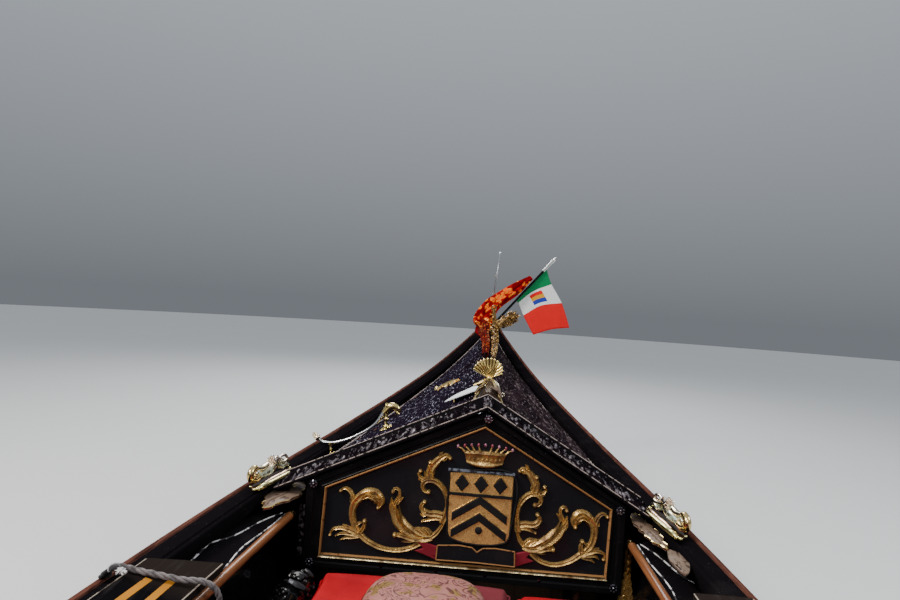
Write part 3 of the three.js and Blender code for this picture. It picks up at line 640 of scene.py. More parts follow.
class Nodes:
    """Builds the nodes of one material, all read from the boat's own coordinates."""

    def __init__(self, material: bpy.types.Material) -> None:
        """Takes a material that uses nodes."""
        self.tree = material.node_tree
        self.shader = self.tree.nodes["Principled BSDF"]
        self.where = self.tree.nodes.new("ShaderNodeTexCoord").outputs["Object"]

    def feed(self, socket: Socket, value: Amount | Colour) -> None:
        """Links a socket to another, or sets its value."""
        if isinstance(value, bpy.types.NodeSocket):
            self.tree.links.new(value, socket)
        elif isinstance(value, tuple) and len(value) == 3 and len(socket.default_value) == 4:
            socket.default_value = (*value, 1.0)
        else:
            socket.default_value = value

    def node(self, kind: str, inputs: dict[str | int, object], **settings: object) -> bpy.types.Node:
        """Adds a node.

        Args:
            kind: Its type without the ShaderNode prefix.
            inputs: Values or sockets for its inputs.
            settings: Its own settings.

        Returns:
            The node.
        """
        node = self.tree.nodes.new("ShaderNode" + kind)
        for key, value in settings.items():
            setattr(node, key, value)
        for key, value in inputs.items():
            self.feed(node.inputs[key], value)
        return node

    def stretched(self, scale: Vec, turn: Vec = (0, 0, 0)) -> Socket:
        """The boat's coordinates, stretched along its axes and turned."""
        angles = tuple(math.radians(a) for a in turn)
        return self.node("Mapping", {"Vector": self.where, "Scale": scale, "Rotation": angles}).outputs[0]

    def noise(
        self, scale: float, detail: float = 3.0, stretch: Vec = (1, 1, 1), wander: float = 0.0
    ) -> Socket:
        """Cloudy variation.

        Args:
            scale: Clouds a metre.
            detail: How many finer layers it has.
            stretch: Factors along the three axes.
            wander: How far it is distorted.

        Returns:
            A factor from 0 to 1.
        """
        inputs = {"Vector": self.stretched(stretch), "Scale": scale, "Detail": detail, "Distortion": wander}
        return self.node("TexNoise", inputs).outputs["Fac"]

    def along(self, axis: int) -> Socket:
        """The boat's coordinate along one axis, in metres."""
        return self.node("SeparateXYZ", {"Vector": self.where}).outputs[axis]

    def cells(self, scale: float) -> Socket:
        """Cells about scattered points: the distance to the nearest."""
        return self.node("TexVoronoi",
                         {"Vector": self.stretched((1, 1, 1)), "Scale": scale}).outputs["Distance"]

    def waves(self, scale: float, turn: Vec = (0, 0, 0)) -> Socket:
        """Bands across X, turned."""
        inputs = {"Vector": self.stretched((1, 1, 1), turn), "Scale": scale, "Distortion": 0.0,
                  "Detail": 2.0, "Detail Scale": 1.5}
        return self.node("TexWave", inputs, bands_direction="X").outputs["Fac"]

    def weave(self, scale: float, across: Vec) -> Socket:
        """Threads that cross, the second set turned by across."""
        return self.times(self.waves(scale), self.waves(scale, across))

    def maths(self, operation: str, first: Amount, second: Amount = 0.0) -> Socket:
        """One sum on two values."""
        return self.node("Math", {0: first, 1: second}, operation=operation).outputs[0]

    def times(self, first: Amount, second: Amount) -> Socket:
        """The product of two values."""
        return self.maths("MULTIPLY", first, second)

    def between(self, value: Socket, low: float, high: float) -> Socket:
        """Stretches a value so that low gives 0 and high gives 1, clamped."""
        return self.node("MapRange", {"Value": value, "From Min": low, "From Max": high}).outputs["Result"]

    def ranged(self, value: Socket, low: float, high: float) -> Socket:
        """Takes a factor to the range from low to high."""
        return self.node("MapRange", {"Value": value, "To Min": low, "To Max": high}).outputs["Result"]

    def mix(self, factor: Amount, low: Tint, high: Tint) -> Socket:
        """Mixes two colours."""
        return self.node("Mix", {0: factor, 6: low, 7: high}, data_type="RGBA").outputs[2]

    def bump(self, height: Socket, depth: float, strength: float = 1.0,
             under: Socket | None = None) -> Socket:
        """Turns heights into a normal.

        Args:
            height: Heights from 0 to 1.
            depth: What 1 stands for, in millimetres.
            strength: How much of it shows.
            under: A normal that it is added to.

        Returns:
            The normal.
        """
        inputs: dict[str | int, object] = {"Height": height, "Distance": depth * MM, "Strength": strength}
        if under is not None:
            inputs["Normal"] = under
        return self.node("Bump", inputs).outputs["Normal"]

    def shade(
        self, colour: Tint, rough: Amount, normal: Socket | None = None, metal: Amount = 0.0,
        **constants: float | Colour,
    ) -> None:
        """Feeds the shader.

        Args:
            colour: Base colour.
            rough: Roughness.
            normal: Normal, if any.
            metal: Metallic share.
            constants: Other sockets, with _ for the space in their names.
        """
        self.feed(self.shader.inputs["Base Color"], colour)
        self.feed(self.shader.inputs["Roughness"], rough)
        self.feed(self.shader.inputs["Metallic"], metal)
        if normal is not None:
            self.feed(self.shader.inputs["Normal"], normal)
        for key, value in constants.items():
            self.feed(self.shader.inputs[key.replace("_", " ")], value)


@dataclass(frozen=True)
class Finish:
    """A finish with its name and the record's slot that it belongs to."""

    name: str
    slot: str

    def material(self) -> bpy.types.Material:
        """The finish's material, made when it is first asked for."""
        found = bpy.data.materials.get(self.name)
        if found:
            return found
        material = bpy.data.materials.new(self.name)
        material.use_nodes = True
        self.dress(Nodes(material))
        return material

    def dress(self, nodes: Nodes) -> None:
        """Makes the material's nodes."""
        raise NotImplementedError


@dataclass(frozen=True)
class Lacquer(Finish):
    """Many coats of gloss black, faintly uneven, with dust and fine scratches."""

    tint: Colour = (0.0035, 0.0032, 0.004)
    gloss: float = 0.13
    peel: float = 0.12
    shine: float = 0.35

    def dress(self, nodes: Nodes) -> None:
        """Makes the material's nodes."""
        dust = nodes.between(nodes.noise(9, 5), 0.55, 0.8)
        specks = nodes.between(nodes.cells(240), 0.16, 0.1)
        kept = nodes.between(nodes.noise(35, 1), 0.55, 0.62)
        colour = nodes.mix(nodes.times(dust, 0.15), self.tint, (0.05, 0.045, 0.042))
        colour = nodes.mix(nodes.times(specks, kept), colour, (0.09, 0.08, 0.08))
        scratches = nodes.between(nodes.noise(60, 4, (0.2, 3, 3)), 0.5, 0.75)
        rough = nodes.maths("ADD", nodes.ranged(nodes.noise(5, 3), self.gloss * 0.7, self.gloss * 1.6),
                            nodes.times(scratches, 0.12))
        normal = nodes.bump(nodes.noise(14, 2), 1.6, self.peel)
        normal = nodes.bump(nodes.noise(150, 2), 0.25, self.peel * 2, normal)
        nodes.shade(colour, rough, normal, Specular_IOR_Level=self.shine, Coat_Weight=self.shine,
                    Coat_Roughness=0.05)


@dataclass(frozen=True)
class RubbedBlack(Finish):
    """Black boards, rubbed to a matt brown-grey forward of one place."""

    rubbed: Colour = (0.018, 0.0135, 0.0115)
    start: float = 2.03

    def dress(self, nodes: Nodes) -> None:
        """Makes the material's nodes."""
        along = nodes.along(0)
        wander = nodes.maths("ADD", along, nodes.times(nodes.noise(18, 4), 0.06))
        bare = nodes.between(wander, self.start, self.start + 0.05)
        colour = nodes.mix(bare, (0.0045, 0.004, 0.005), self.rubbed)
        fibres = nodes.noise(70, 4, (0.2, 1, 1))
        raised = nodes.times(nodes.between(fibres, 0.55, 0.75), 0.35)
        colour = nodes.mix(raised, colour, (0.04, 0.034, 0.032))
        normal = nodes.bump(fibres, 0.4, 0.4)
        nodes.shade(colour, nodes.ranged(bare, 0.2, 0.6), normal, Specular_IOR_Level=0.0)


@dataclass(frozen=True)
class Punched(Finish):
    """Black ground beaten with small punches, with pale painted highlights where punches would catch the
    light.
    """

    ground: Colour = (0.005, 0.0035, 0.006)
    hollow: Colour = (0.016, 0.01, 0.021)
    # Colour of the painted highlights
    painted_glint: Colour = (0.29, 0.28, 0.345)
    fine: float = 135.0

    def dress(self, nodes: Nodes) -> None:
        """Makes the material's nodes."""
        # Painted highlights: pale flecks in drifting patches stand for punches catching the light
        drift = nodes.between(nodes.noise(20, 3, (0.3, 1, 1)), 0.34, 0.6)
        leaves = nodes.noise(self.fine, 2, (0.2, 1, 1), 0.6)
        painted_light = nodes.times(nodes.between(leaves, 0.6, 0.66), drift)
        colour = nodes.mix(nodes.noise(24, 3), self.ground, self.hollow)
        colour = nodes.mix(painted_light, colour, self.painted_glint)
        normal = nodes.bump(nodes.cells(self.fine), 1.5, 0.6)
        normal = nodes.bump(leaves, 5.0, 0.8, normal)
        nodes.shade(colour, 0.4, normal, Specular_IOR_Level=0.0)


@dataclass(frozen=True)
class Carved(Finish):
    """Black carving whose high places are rubbed to an older, warmer colour, with small painted highlights on
    the rubbed streaks.
    """

    dark: Colour = (0.008, 0.005, 0.007)
    rubbed: Colour = (0.12, 0.06, 0.045)
    wear: float = 0.45
    fine: float = 45.0
    gloss: float = 0.0

    def dress(self, nodes: Nodes) -> None:
        """Makes the material's nodes."""
        streaks = nodes.noise(self.fine, 4, (0.3, 1, 1))
        rub = nodes.between(streaks, 0.72 - 0.3 * self.wear, 0.78 - 0.16 * self.wear)
        # Painted highlights: small spots on the rubbed streaks, at over three times the rubbed colour
        painted_glints = nodes.between(nodes.noise(110, 3, (0.3, 1, 1)), 0.6, 0.68)
        colour = nodes.mix(rub, self.dark, self.rubbed)
        colour = nodes.mix(nodes.times(nodes.times(painted_glints, rub), 0.8), colour, dimmed(self.rubbed, 3.2))
        normal = nodes.bump(nodes.noise(180, 3, (0.4, 1, 1)), 1.1, 0.7)
        nodes.shade(colour, nodes.ranged(streaks, 0.18, 0.45), normal, Specular_IOR_Level=self.gloss / 2,
                    Coat_Weight=self.gloss, Coat_Roughness=0.08)


@dataclass(frozen=True)
class Gilding(Finish):
    """Gold leaf over wood, dull and brown in its hollows, and granular close to."""

    gold: Colour = (0.72, 0.46, 0.15)
    size: Colour = (0.15, 0.075, 0.024)
    # How much of the leaf is left, from 0 to 1
    cover: float = 0.4
    grain: float = 260.0
    metal: float = 0.72

    def dress(self, nodes: Nodes) -> None:
        """Makes the material's nodes."""
        patches = nodes.between(nodes.noise(38, 5), 0.66 - 0.22 * self.cover, 0.42 - 0.2 * self.cover)
        grains = nodes.between(nodes.noise(self.grain, 3), 0.36, 0.62)
        colour = nodes.mix(patches, self.gold, self.size)
        hollows = nodes.times(nodes.maths("SUBTRACT", 1.0, grains), 0.55)
        colour = nodes.mix(hollows, colour, self.size)
        metal = nodes.ranged(patches, self.metal, self.metal * 0.55)
        normal = nodes.bump(grains, 0.5, 0.55)
        normal = nodes.bump(nodes.noise(70, 3), 1.2, 0.4, normal)
        nodes.shade(colour, nodes.ranged(patches, 0.24, 0.5), normal, metal)


@dataclass(frozen=True)
class Cast(Finish):
    """Cast and handled metal, with tarnish in its hollows."""

    bare: Colour = (0.86, 0.62, 0.27)
    tarnish: Colour = (0.13, 0.11, 0.05)
    amount: float = 0.45
    gloss: float = 0.16
    verdigris: float = 0.0

    def dress(self, nodes: Nodes) -> None:
        """Makes the material's nodes."""
        dull = nodes.between(nodes.noise(30, 5), 0.72 - 0.3 * self.amount, 0.5 - 0.25 * self.amount)
        tarnished = nodes.times(nodes.maths("SUBTRACT", 1.0, dull), self.amount)
        colour = nodes.mix(tarnished, self.bare, self.tarnish)
        green = nodes.times(nodes.between(nodes.noise(48, 4), 0.48, 0.6), self.verdigris)
        colour = nodes.mix(green, colour, (0.5, 0.68, 0.54))
        pits = nodes.noise(220, 3)
        normal = nodes.bump(pits, 0.35, 0.35)
        rough = nodes.maths("ADD", nodes.ranged(nodes.noise(70, 3), self.gloss * 0.6, self.gloss * 1.9),
                            nodes.times(green, 0.25))
        nodes.shade(colour, rough, normal, nodes.ranged(green, 1.0, 0.35))


@dataclass(frozen=True)
class Brushed(Finish):
    """Bright iron, rubbed along its length, with small rust stains."""

    bare: Colour = (0.62, 0.63, 0.65)

    def dress(self, nodes: Nodes) -> None:
        """Makes the material's nodes."""
        lines = nodes.noise(90, 4, (1, 1, 0.08))
        stains = nodes.between(nodes.noise(26, 5), 0.62, 0.72)
        colour = nodes.mix(lines, dimmed(self.bare, 0.62), self.bare)
        colour = nodes.mix(nodes.times(stains, 0.4), colour, (0.3, 0.17, 0.1))
        normal = nodes.bump(lines, 0.3, 0.3)
        nodes.shade(colour, nodes.ranged(lines, 0.2, 0.38), normal, nodes.ranged(stains, 1.0, 0.7))


@dataclass(frozen=True)
class Timber(Finish):
    """Wood with its grain along one axis, bare or varnished."""

    light: Colour = (0.36, 0.2, 0.1)
    dark: Colour = (0.14, 0.065, 0.03)
    along: Vec = (0.08, 1, 1)
    rings: float = 26.0
    gloss: float = 0.3
    varnish: float = 0.4

    def dress(self, nodes: Nodes) -> None:
        """Makes the material's nodes."""
        grain = nodes.noise(self.rings, 6, self.along, 1.6)
        fibre = nodes.noise(self.rings * 9, 4, self.along)
        colour = nodes.mix(nodes.between(grain, 0.34, 0.66), self.dark, self.light)
        deep = nodes.times(nodes.between(fibre, 0.55, 0.75), 0.6)
        colour = nodes.mix(deep, colour, dimmed(self.dark, 0.45))
        normal = nodes.bump(fibre, 0.3, 0.4)
        rough = nodes.ranged(grain, self.gloss * 0.8, self.gloss * 1.5)
        nodes.shade(colour, rough, normal, Specular_IOR_Level=self.varnish, Coat_Weight=self.varnish,
                    Coat_Roughness=0.1)


@dataclass(frozen=True)
class Satin(Finish):
    """Plain satin cloth with a soft sheen and a fine weave, and, if asked, a painted shadow to starboard of
    one place.
    """

    dyed: Colour = (0.5, 0.004, 0.012)
    shade_of: Colour = (0.33, 0.002, 0.008)
    gleam: float = 0.3
    threads: float = 900.0
    # Where a painted shadow on it starts, in metres to port, and the shadow's colour; starboard of it the
    # satin is painted dark
    turn: float | None = None
    turned: Colour = (0.17, 0.026, 0.036)

    def dress(self, nodes: Nodes) -> None:
        """Makes the material's nodes."""
        soft = nodes.noise(7, 3)
        colour = nodes.mix(nodes.between(soft, 0.35, 0.65), self.dyed, self.shade_of)
        # Painted shadow: to starboard of turn the satin takes the dark turned colour
        if self.turn is not None:
            painted_light = nodes.between(nodes.along(1), self.turn - 0.03, self.turn + 0.03)
            colour = nodes.mix(painted_light, self.turned, colour)
        threads = nodes.weave(self.threads, (0, 0, 90))
        normal = nodes.bump(threads, 0.2, 0.4)
        normal = nodes.bump(nodes.noise(28, 3, (1, 1.6, 1)), 2.2, 0.35, normal)
        nodes.shade(colour, nodes.ranged(soft, 0.42, 0.6), normal, Specular_IOR_Level=self.gleam,
                    Sheen_Weight=self.gleam / 6, Sheen_Roughness=0.4, Sheen_Tint=(1.0, 0.3, 0.3))


@dataclass(frozen=True)
class Brocade(Finish):
    """Figured silk: wandering clouds on a ground, each outlined with a raised thread."""

    ground: Colour = (0.31, 0.1, 0.078)
    figure: Colour = (0.32, 0.18, 0.05)
    outline: Colour = (0.075, 0.01, 0.014)
    size: float = 17.0

    def dress(self, nodes: Nodes) -> None:
        """Makes the material's nodes."""
        clouds = nodes.noise(self.size, 1.5, wander=1.9)
        turns = nodes.maths("SINE", nodes.times(clouds, 22.0))
        gold = nodes.between(nodes.noise(self.size * 1.6, 2), 0.53, 0.57)
        pale = nodes.mix(nodes.noise(self.size * 4, 3), self.ground, (0.44, 0.19, 0.16))
        colour = nodes.mix(gold, pale, self.figure)
        thread = nodes.between(nodes.maths("ABSOLUTE", turns), 0.5, 0.25)
        colour = nodes.mix(nodes.times(thread, 0.85), colour, self.outline)
        ribs = nodes.waves(420, (0, 0, 25))
        normal = nodes.bump(turns, 1.4, 0.5)
        normal = nodes.bump(ribs, 0.3, 0.5, normal)
        rough = nodes.ranged(gold, 0.5, 0.36)
        nodes.shade(colour, rough, normal, nodes.ranged(gold, 0.0, 0.3), Specular_IOR_Level=0.3,
                    Sheen_Weight=0.05, Sheen_Roughness=0.5)


@dataclass(frozen=True)
class Damask(Finish):
    """Banner cloth: large orange and yellow blossoms woven on crimson."""

    crimson: Colour = (0.34, 0.004, 0.006)
    orange: Colour = (0.85, 0.12, 0.008)
    gold: Colour = (0.85, 0.4, 0.03)
    # Where it begins to darken and where it is dark throughout, in metres along the boat
    darker_aft: Pair = (4.78, 4.6)

    def dress(self, nodes: Nodes) -> None:
        """Makes the material's nodes."""
        ragged = nodes.maths("ADD", nodes.cells(23), nodes.ranged(nodes.noise(75, 3), -0.22, 0.22))
        blossom = nodes.between(ragged, 0.46, 0.38)
        shadow = nodes.between(nodes.noise(16, 3), 0.42, 0.58)
        ground = nodes.mix(shadow, self.crimson, dimmed(self.crimson, 0.45))
        colour = nodes.mix(blossom, ground, self.orange)
        gold = nodes.times(blossom, nodes.between(nodes.noise(95, 3), 0.5, 0.58))
        colour = nodes.mix(nodes.times(gold, 0.9), colour, self.gold)
        # Darkened in patches aft of the first place
        darker_aft = nodes.times(nodes.between(nodes.along(0), *self.darker_aft),
                             nodes.between(nodes.noise(40, 3), 0.34, 0.46))
        colour = nodes.mix(nodes.times(darker_aft, 0.85), colour, (0.045, 0.012, 0.01))
        normal = nodes.bump(gold, 0.5, 0.5)
        normal = nodes.bump(nodes.noise(140, 2), 0.4, 0.4, normal)
        nodes.shade(colour, nodes.ranged(gold, 0.55, 0.35), normal, nodes.ranged(gold, 0.0, 0.4),
                    Specular_IOR_Level=0.0)


@dataclass(frozen=True)
class Bunting(Finish):
    """Thin dyed flag cloth."""

    dyed: Colour = (0.8, 0.8, 0.78)

    def dress(self, nodes: Nodes) -> None:
        """Makes the material's nodes."""
        colour = nodes.mix(nodes.noise(16, 3), dimmed(self.dyed, 0.8), self.dyed)
        threads = nodes.weave(1400, (90, 0, 90))
        normal = nodes.bump(threads, 0.15, 0.4)
        normal = nodes.bump(nodes.noise(22, 2), 3.0, 0.35, normal)
        nodes.shade(colour, 0.72, normal, Specular_IOR_Level=0.2)


@dataclass(frozen=True)
class Paint(Finish):
    """Brushed paint, worn through here and there to what is under it."""

    colour: Colour = (0.8, 0.5, 0.08)
    under: Colour = (0.03, 0.02, 0.015)
    wear: float = 0.3
    shine: float = 0.04

    def dress(self, nodes: Nodes) -> None:
        """Makes the material's nodes."""
        scuffs = nodes.noise(90, 5, (0.4, 1, 1))
        gone = nodes.between(scuffs, 0.7 - 0.2 * self.wear, 0.76 - 0.2 * self.wear)
        paler = tuple(min(1.0, c * 1.15 + 0.02) for c in self.colour)
        colour = nodes.mix(nodes.noise(30, 4), self.colour, paler)
        colour = nodes.mix(gone, colour, self.under)
        normal = nodes.bump(nodes.noise(120, 3, (0.2, 1, 1)), 0.3, 0.5)
        nodes.shade(colour, nodes.ranged(nodes.noise(20, 3), 0.3, 0.55), normal,
                    Specular_IOR_Level=self.shine)


@dataclass(frozen=True)
class Cordage(Finish):
    """Laid rope, grey from use."""

    fibre: Colour = (0.2, 0.18, 0.185)

    def dress(self, nodes: Nodes) -> None:
        """Makes the material's nodes."""
        hair = nodes.noise(500, 4)
        colour = nodes.mix(hair, dimmed(self.fibre, 0.35), self.fibre)
        grime = nodes.between(nodes.noise(60, 4), 0.42, 0.56)
        colour = nodes.mix(grime, dimmed(self.fibre, 0.25), colour)
        nodes.shade(colour, 0.9, nodes.bump(hair, 0.6, 0.7), Sheen_Weight=0.1, Sheen_Roughness=0.6)


# The finishes of the boat
LACQUER = Lacquer("gloss black", "black_lacquer")
DULL_BLACK = Lacquer("dulled black", "black_lacquer", tint=(0.0055, 0.0045, 0.0055), gloss=0.4, shine=0.0)
SATIN_BLACK = Lacquer("satin black", "black_lacquer", tint=(0.006, 0.0055, 0.0065), gloss=0.25, shine=0.035)
INK = Paint("black charges", "gilding", colour=(0.006, 0.005, 0.006), under=(0.02, 0.015, 0.012), wear=0.2)
WARM_LACQUER = Lacquer("gloss black with a warm cast", "black_lacquer", tint=(0.011, 0.0065, 0.0075),
                       gloss=0.17)
PANEL_BLACK = Lacquer("panel black", "black_lacquer", tint=(0.011, 0.0112, 0.0135), gloss=0.3, peel=0.3,
                      shine=0.1)
WORN_BLACK = RubbedBlack("rubbed black", "black_lacquer")
PALE_LINE = Paint("rubbed pale edge", "brown_varnish", colour=(0.3, 0.235, 0.21), under=(0.03, 0.022, 0.02),
                  wear=0.8)
FLECKED_LINE = Paint("whitened edge", "brown_varnish", colour=(0.62, 0.6, 0.6), under=(0.04, 0.035, 0.04),
                     wear=1.0)
# Pale colour of the thin bars along the side boards' edges
BRIGHT_EDGE = Paint("pale board edge", "brown_varnish", colour=(0.3, 0.25, 0.2), under=(0.06, 0.045, 0.035),
                    wear=0.6)
PUNCHED = Punched("punched black", "carved_black")
CARVED = Carved("carved black", "carved_black")
CARVED_WARM = Carved("carved black, rubbed warm", "carved_black", dark=(0.018, 0.011, 0.014),
                     rubbed=(0.06, 0.046, 0.05), wear=0.6, fine=110)
CARVED_GREY = Carved("carved black, rubbed grey-brown", "carved_black", dark=(0.02, 0.013, 0.016),
                     rubbed=(0.115, 0.09, 0.092), wear=0.7, fine=90)
DARK_WOOD = Timber("dark oiled wood", "carved_black", light=(0.06, 0.038, 0.028), dark=(0.022, 0.014, 0.011),
                   rings=50, gloss=0.35, varnish=0.1)
# Painted highlights: its pale bluish streaks and spots stand for white glints on the carved black
SILVER_GLINTS = Carved("carved black, rubbed silver", "carved_black", rubbed=(0.1, 0.105, 0.13), wear=0.4,
                     gloss=0.5)
# Painted highlights: its pale grey streaks and spots stand for silvery glints on the carved black
FLECKED = Carved("carved black, flecked", "carved_black", rubbed=(0.21, 0.185, 0.2), wear=0.72, fine=90)
WORN_EDGE = Timber("worn brown edge", "brown_varnish", light=(0.14, 0.055, 0.038), dark=(0.05, 0.02, 0.016),
                   rings=60, gloss=0.4, varnish=0.0)
RAIL_VARNISH = Timber("copper-brown varnish", "brown_varnish", light=(0.3, 0.12, 0.045),
                      dark=(0.13, 0.042, 0.018), gloss=0.26, varnish=0.14)
BRASS = Cast("polished brass", "polished_brass")
GREEN_BRASS = Cast("weathered brass", "polished_brass", bare=(0.93, 0.84, 0.6), verdigris=0.75, gloss=0.13)
PALE_BRASS = Cast("whitened brass", "polished_brass", bare=(0.98, 0.88, 0.78), tarnish=(0.3, 0.24, 0.18),
                  amount=0.4)
GILT_BRONZE = Paint("gilt bronze", "polished_brass", colour=(0.15, 0.1, 0.07), under=(0.05, 0.03, 0.02),
                    wear=0.7, shine=0.1)
GOLD_BRASS = Cast("golden brass", "polished_brass", bare=(0.92, 0.7, 0.26), amount=0.35, gloss=0.12)
DARK_BRONZE = Cast("dark bronze", "polished_brass", bare=(0.2, 0.12, 0.075), tarnish=(0.05, 0.03, 0.02),
                   amount=0.7, gloss=0.28)
GREENISH_GOLD = Cast("greenish gold", "polished_brass", bare=(0.85, 0.75, 0.3), amount=0.3, verdigris=0.2)
RED_CREAM = Cast("reddish brass", "polished_brass", bare=(0.9, 0.62, 0.46), amount=0.3)
CREAM_GOLD = Cast("pale gold", "polished_brass", bare=(0.96, 0.85, 0.6), amount=0.25)
SILVERED = Cast("silvered metal", "bright_iron", bare=(0.83, 0.82, 0.78), tarnish=(0.3, 0.28, 0.25),
                amount=0.3)
STUD = Cast("blackened studs", "black_lacquer", bare=(0.17, 0.16, 0.19), tarnish=(0.01, 0.01, 0.012),
            gloss=0.12)
IRON = Brushed("bright iron", "bright_iron", bare=(0.5, 0.51, 0.53))
GOLD = Gilding("gold leaf", "gilding")
DARK_GOLD = Gilding("dull gold leaf", "gilding", gold=(0.26, 0.14, 0.035), size=(0.05, 0.02, 0.008),
                    cover=0.7)
GOLD_LINE = Paint("gold line", "gilding", colour=(0.27, 0.13, 0.044), under=(0.12, 0.055, 0.02), wear=0.45)
SILVER_LINE = Paint("silver line", "gilding", colour=(0.13, 0.14, 0.175), under=(0.03, 0.03, 0.04), wear=0.9)
GOLD_BRIGHT = Gilding("bright gold line", "gilding", gold=(0.95, 0.8, 0.46), cover=0.2)
GOLD_FIELD = Gilding("granular gold", "gilding", gold=(0.86, 0.55, 0.19), cover=0.9, grain=330, metal=0.5)
BARE_BOARDS = Timber("scrubbed boards", "plain_boards", light=(0.25, 0.16, 0.095), dark=(0.1, 0.06, 0.035),
                     gloss=0.5, varnish=0.1)
WALNUT = Timber("oiled walnut", "walnut", light=(0.3, 0.13, 0.06), dark=(0.09, 0.035, 0.018),
                along=(1, 1, 0.12), rings=30, gloss=0.28)
OAR_WOOD = Timber("varnished oar wood", "oar_wood", light=(0.72, 0.36, 0.1), dark=(0.42, 0.17, 0.04),
                  along=(0.6, 0.12, 0.5), rings=34, gloss=0.24, varnish=0.6)
SATIN = Satin("red satin", "red_satin")
DEEP_SATIN = Satin("deep red satin", "red_satin", dyed=(0.25, 0.01, 0.014), shade_of=(0.15, 0.005, 0.008))
# Satin with a painted shadow, dark to starboard of 0.1 m to port of the middle line
SHADOWED_SATIN = Satin("red satin with a turned nap", "red_satin", turn=0.1)
BROCADE = Brocade("pink brocade", "pink_brocade")
DAMASK = Damask("crimson damask", "red_damask")
CRIMSON_BAND = Satin("crimson border", "red_damask", dyed=(0.2, 0.006, 0.01), shade_of=(0.08, 0.003, 0.005),
                     gleam=0.0)
FLAG_GREEN = Bunting("green bunting", "flag_cloth", dyed=(0.0, 0.2, 0.06))
FLAG_WHITE = Bunting("white bunting", "flag_cloth", dyed=(0.78, 0.78, 0.76))
FLAG_RED = Bunting("red bunting", "flag_cloth", dyed=(0.75, 0.008, 0.008))
FLAG_BLUE = Bunting("blue bunting", "flag_cloth", dyed=(0.02, 0.04, 0.36))
FLAG_GOLD = Bunting("yellow bunting", "flag_cloth", dyed=(0.7, 0.34, 0.02))
YELLOW_PAINT = Paint("yellow stripe paint", "black_lacquer", colour=(0.4, 0.155, 0.012), shine=0.0)
WHITE_PAINT = Paint("white plate paint", "bright_iron", colour=(0.72, 0.73, 0.75), under=(0.4, 0.4, 0.42),
                    wear=0.1)
RIBBON_RED = Paint("dark red paint", "gilding", colour=(0.17, 0.008, 0.018), under=(0.07, 0.003, 0.007))
PEARL_PINK = Paint("pearl paint", "gilding", colour=(0.34, 0.13, 0.19), under=(0.16, 0.008, 0.03), wear=0.9,
                   shine=0.8)
RUBY = Paint("ruby paint", "gilding", colour=(0.2, 0.006, 0.03), under=(0.1, 0.003, 0.012), shine=0.9)
ROPE = Cordage("grey rope", "grey_rope", fibre=(0.27, 0.23, 0.23))
PALE_ROPE = Cordage("pale whipping", "grey_rope", fibre=(0.8, 0.77, 0.77))
DARK_ROPE = Cordage("blackened rope", "grey_rope", fibre=(0.03, 0.024, 0.026))


@dataclass(frozen=True)
class Section:
    """The hull's measures at one station."""

    x: float
    sheer: float
    chine: float
    chine_half: float
    half: float
    centre: float


# Hull lines: x, height of the sheer, height of the chine, half-breadth at the chine
STATIONS = (
    (-5250, 1380, 1100, 12), (-5100, 1280, 860, 20), (-4800, 1110, 580, 40), (-4400, 960, 360, 85),
    (-3900, 820, 175, 150), (-3300, 695, 30, 225), (-2600, 600, -70, 300), (-1900, 535, -135, 360),
    (-1200, 475, -170, 405), (-400, 437, -195, 428), (400, 435, -197, 430), (1200, 455, -170, 410),
    (1900, 510, -125, 370), (2550, 550, -75, 310), (3200, 587, 0, 235), (3800, 642, 90, 160),
    (4300, 712, 205, 100), (4700, 795, 340, 55), (4950, 858, 480, 30), (5100, 900, 620, 18),
    (5200, 940, 760, 12),
)


@dataclass(frozen=True)
class Lines:
    """The hull's lines and the sizes of its timbers."""

    half_length: float = 5435
    half_beam: float = 710
    fullness: float = 2.1
    list_to_port: float = 80
    plank: float = 20
    bulge: float = 18
    bottom: float = 26
    gunwale_deep: float = 34
    gunwale_wide: float = 64
    overhang: float = 12
    shape: Curve = field(default_factory=lambda: Curve(STATIONS))

    def at(self, x: float) -> Section:
        """The hull's measures at x."""
        sheer, chine, chine_half = self.shape.at(x)
        half = self.half_beam * (1 - abs(x / self.half_length) ** self.fullness)
        centre = self.list_to_port * (1 - (x / self.half_length) ** 2)
        return Section(x, sheer, chine, chine_half, half, centre)

    def plank_point(self, x: float, side: Side, up: float, depth: float) -> Vec:
        """A point of the planking.

        Args:
            x: Station.
            side: Which side.
            up: From 0 at the chine to 1 under the gunwale.
            depth: How far inside the planking's outer face.

        Returns:
            The point.
        """
        h = self.at(x)
        outer = h.chine_half + (h.half - self.overhang - h.chine_half) * up + self.bulge * 4 * up * (1 - up)
        height = h.chine + (h.sheer - self.gunwale_deep - 0.3 - h.chine) * up
        return (x, h.centre + side.value * max(1.0, outer - depth), height)

    def inside(self, x: float, side: Side, z: float, clear: float = 0.0) -> float:
        """Y of the planking's inner face at a height, drawn in by clear."""
        h = self.at(x)
        up = (z - h.chine) / (h.sheer - self.gunwale_deep - h.chine)
        return self.plank_point(x, side, min(1.0, max(0.0, up)), self.plank + clear)[1]

    def room(self, x: float, z: float, clear: float) -> Pair:
        """Y of the planking's inner faces to starboard and to port, drawn in by clear."""
        return self.inside(x, Side.STARBOARD, z, clear), self.inside(x, Side.PORT, z, clear)

    def gunwale_point(self, x: float, side: Side, across: float, drop: float) -> Vec:
        """A point of the gunwale: across runs from 0 at its outer face to 1 at its inner one."""
        h = self.at(x)
        inner = max(1.0, h.half - self.gunwale_wide)
        return (x, h.centre + side.value * (h.half + (inner - h.half) * across), h.sheer - drop)


LINES = Lines()


def upright(middle: float) -> Place:
    """An upright surface along the boat: x, z, and how far it stands to port of middle."""
    return lambda u, v, w: (u, middle + w, v)


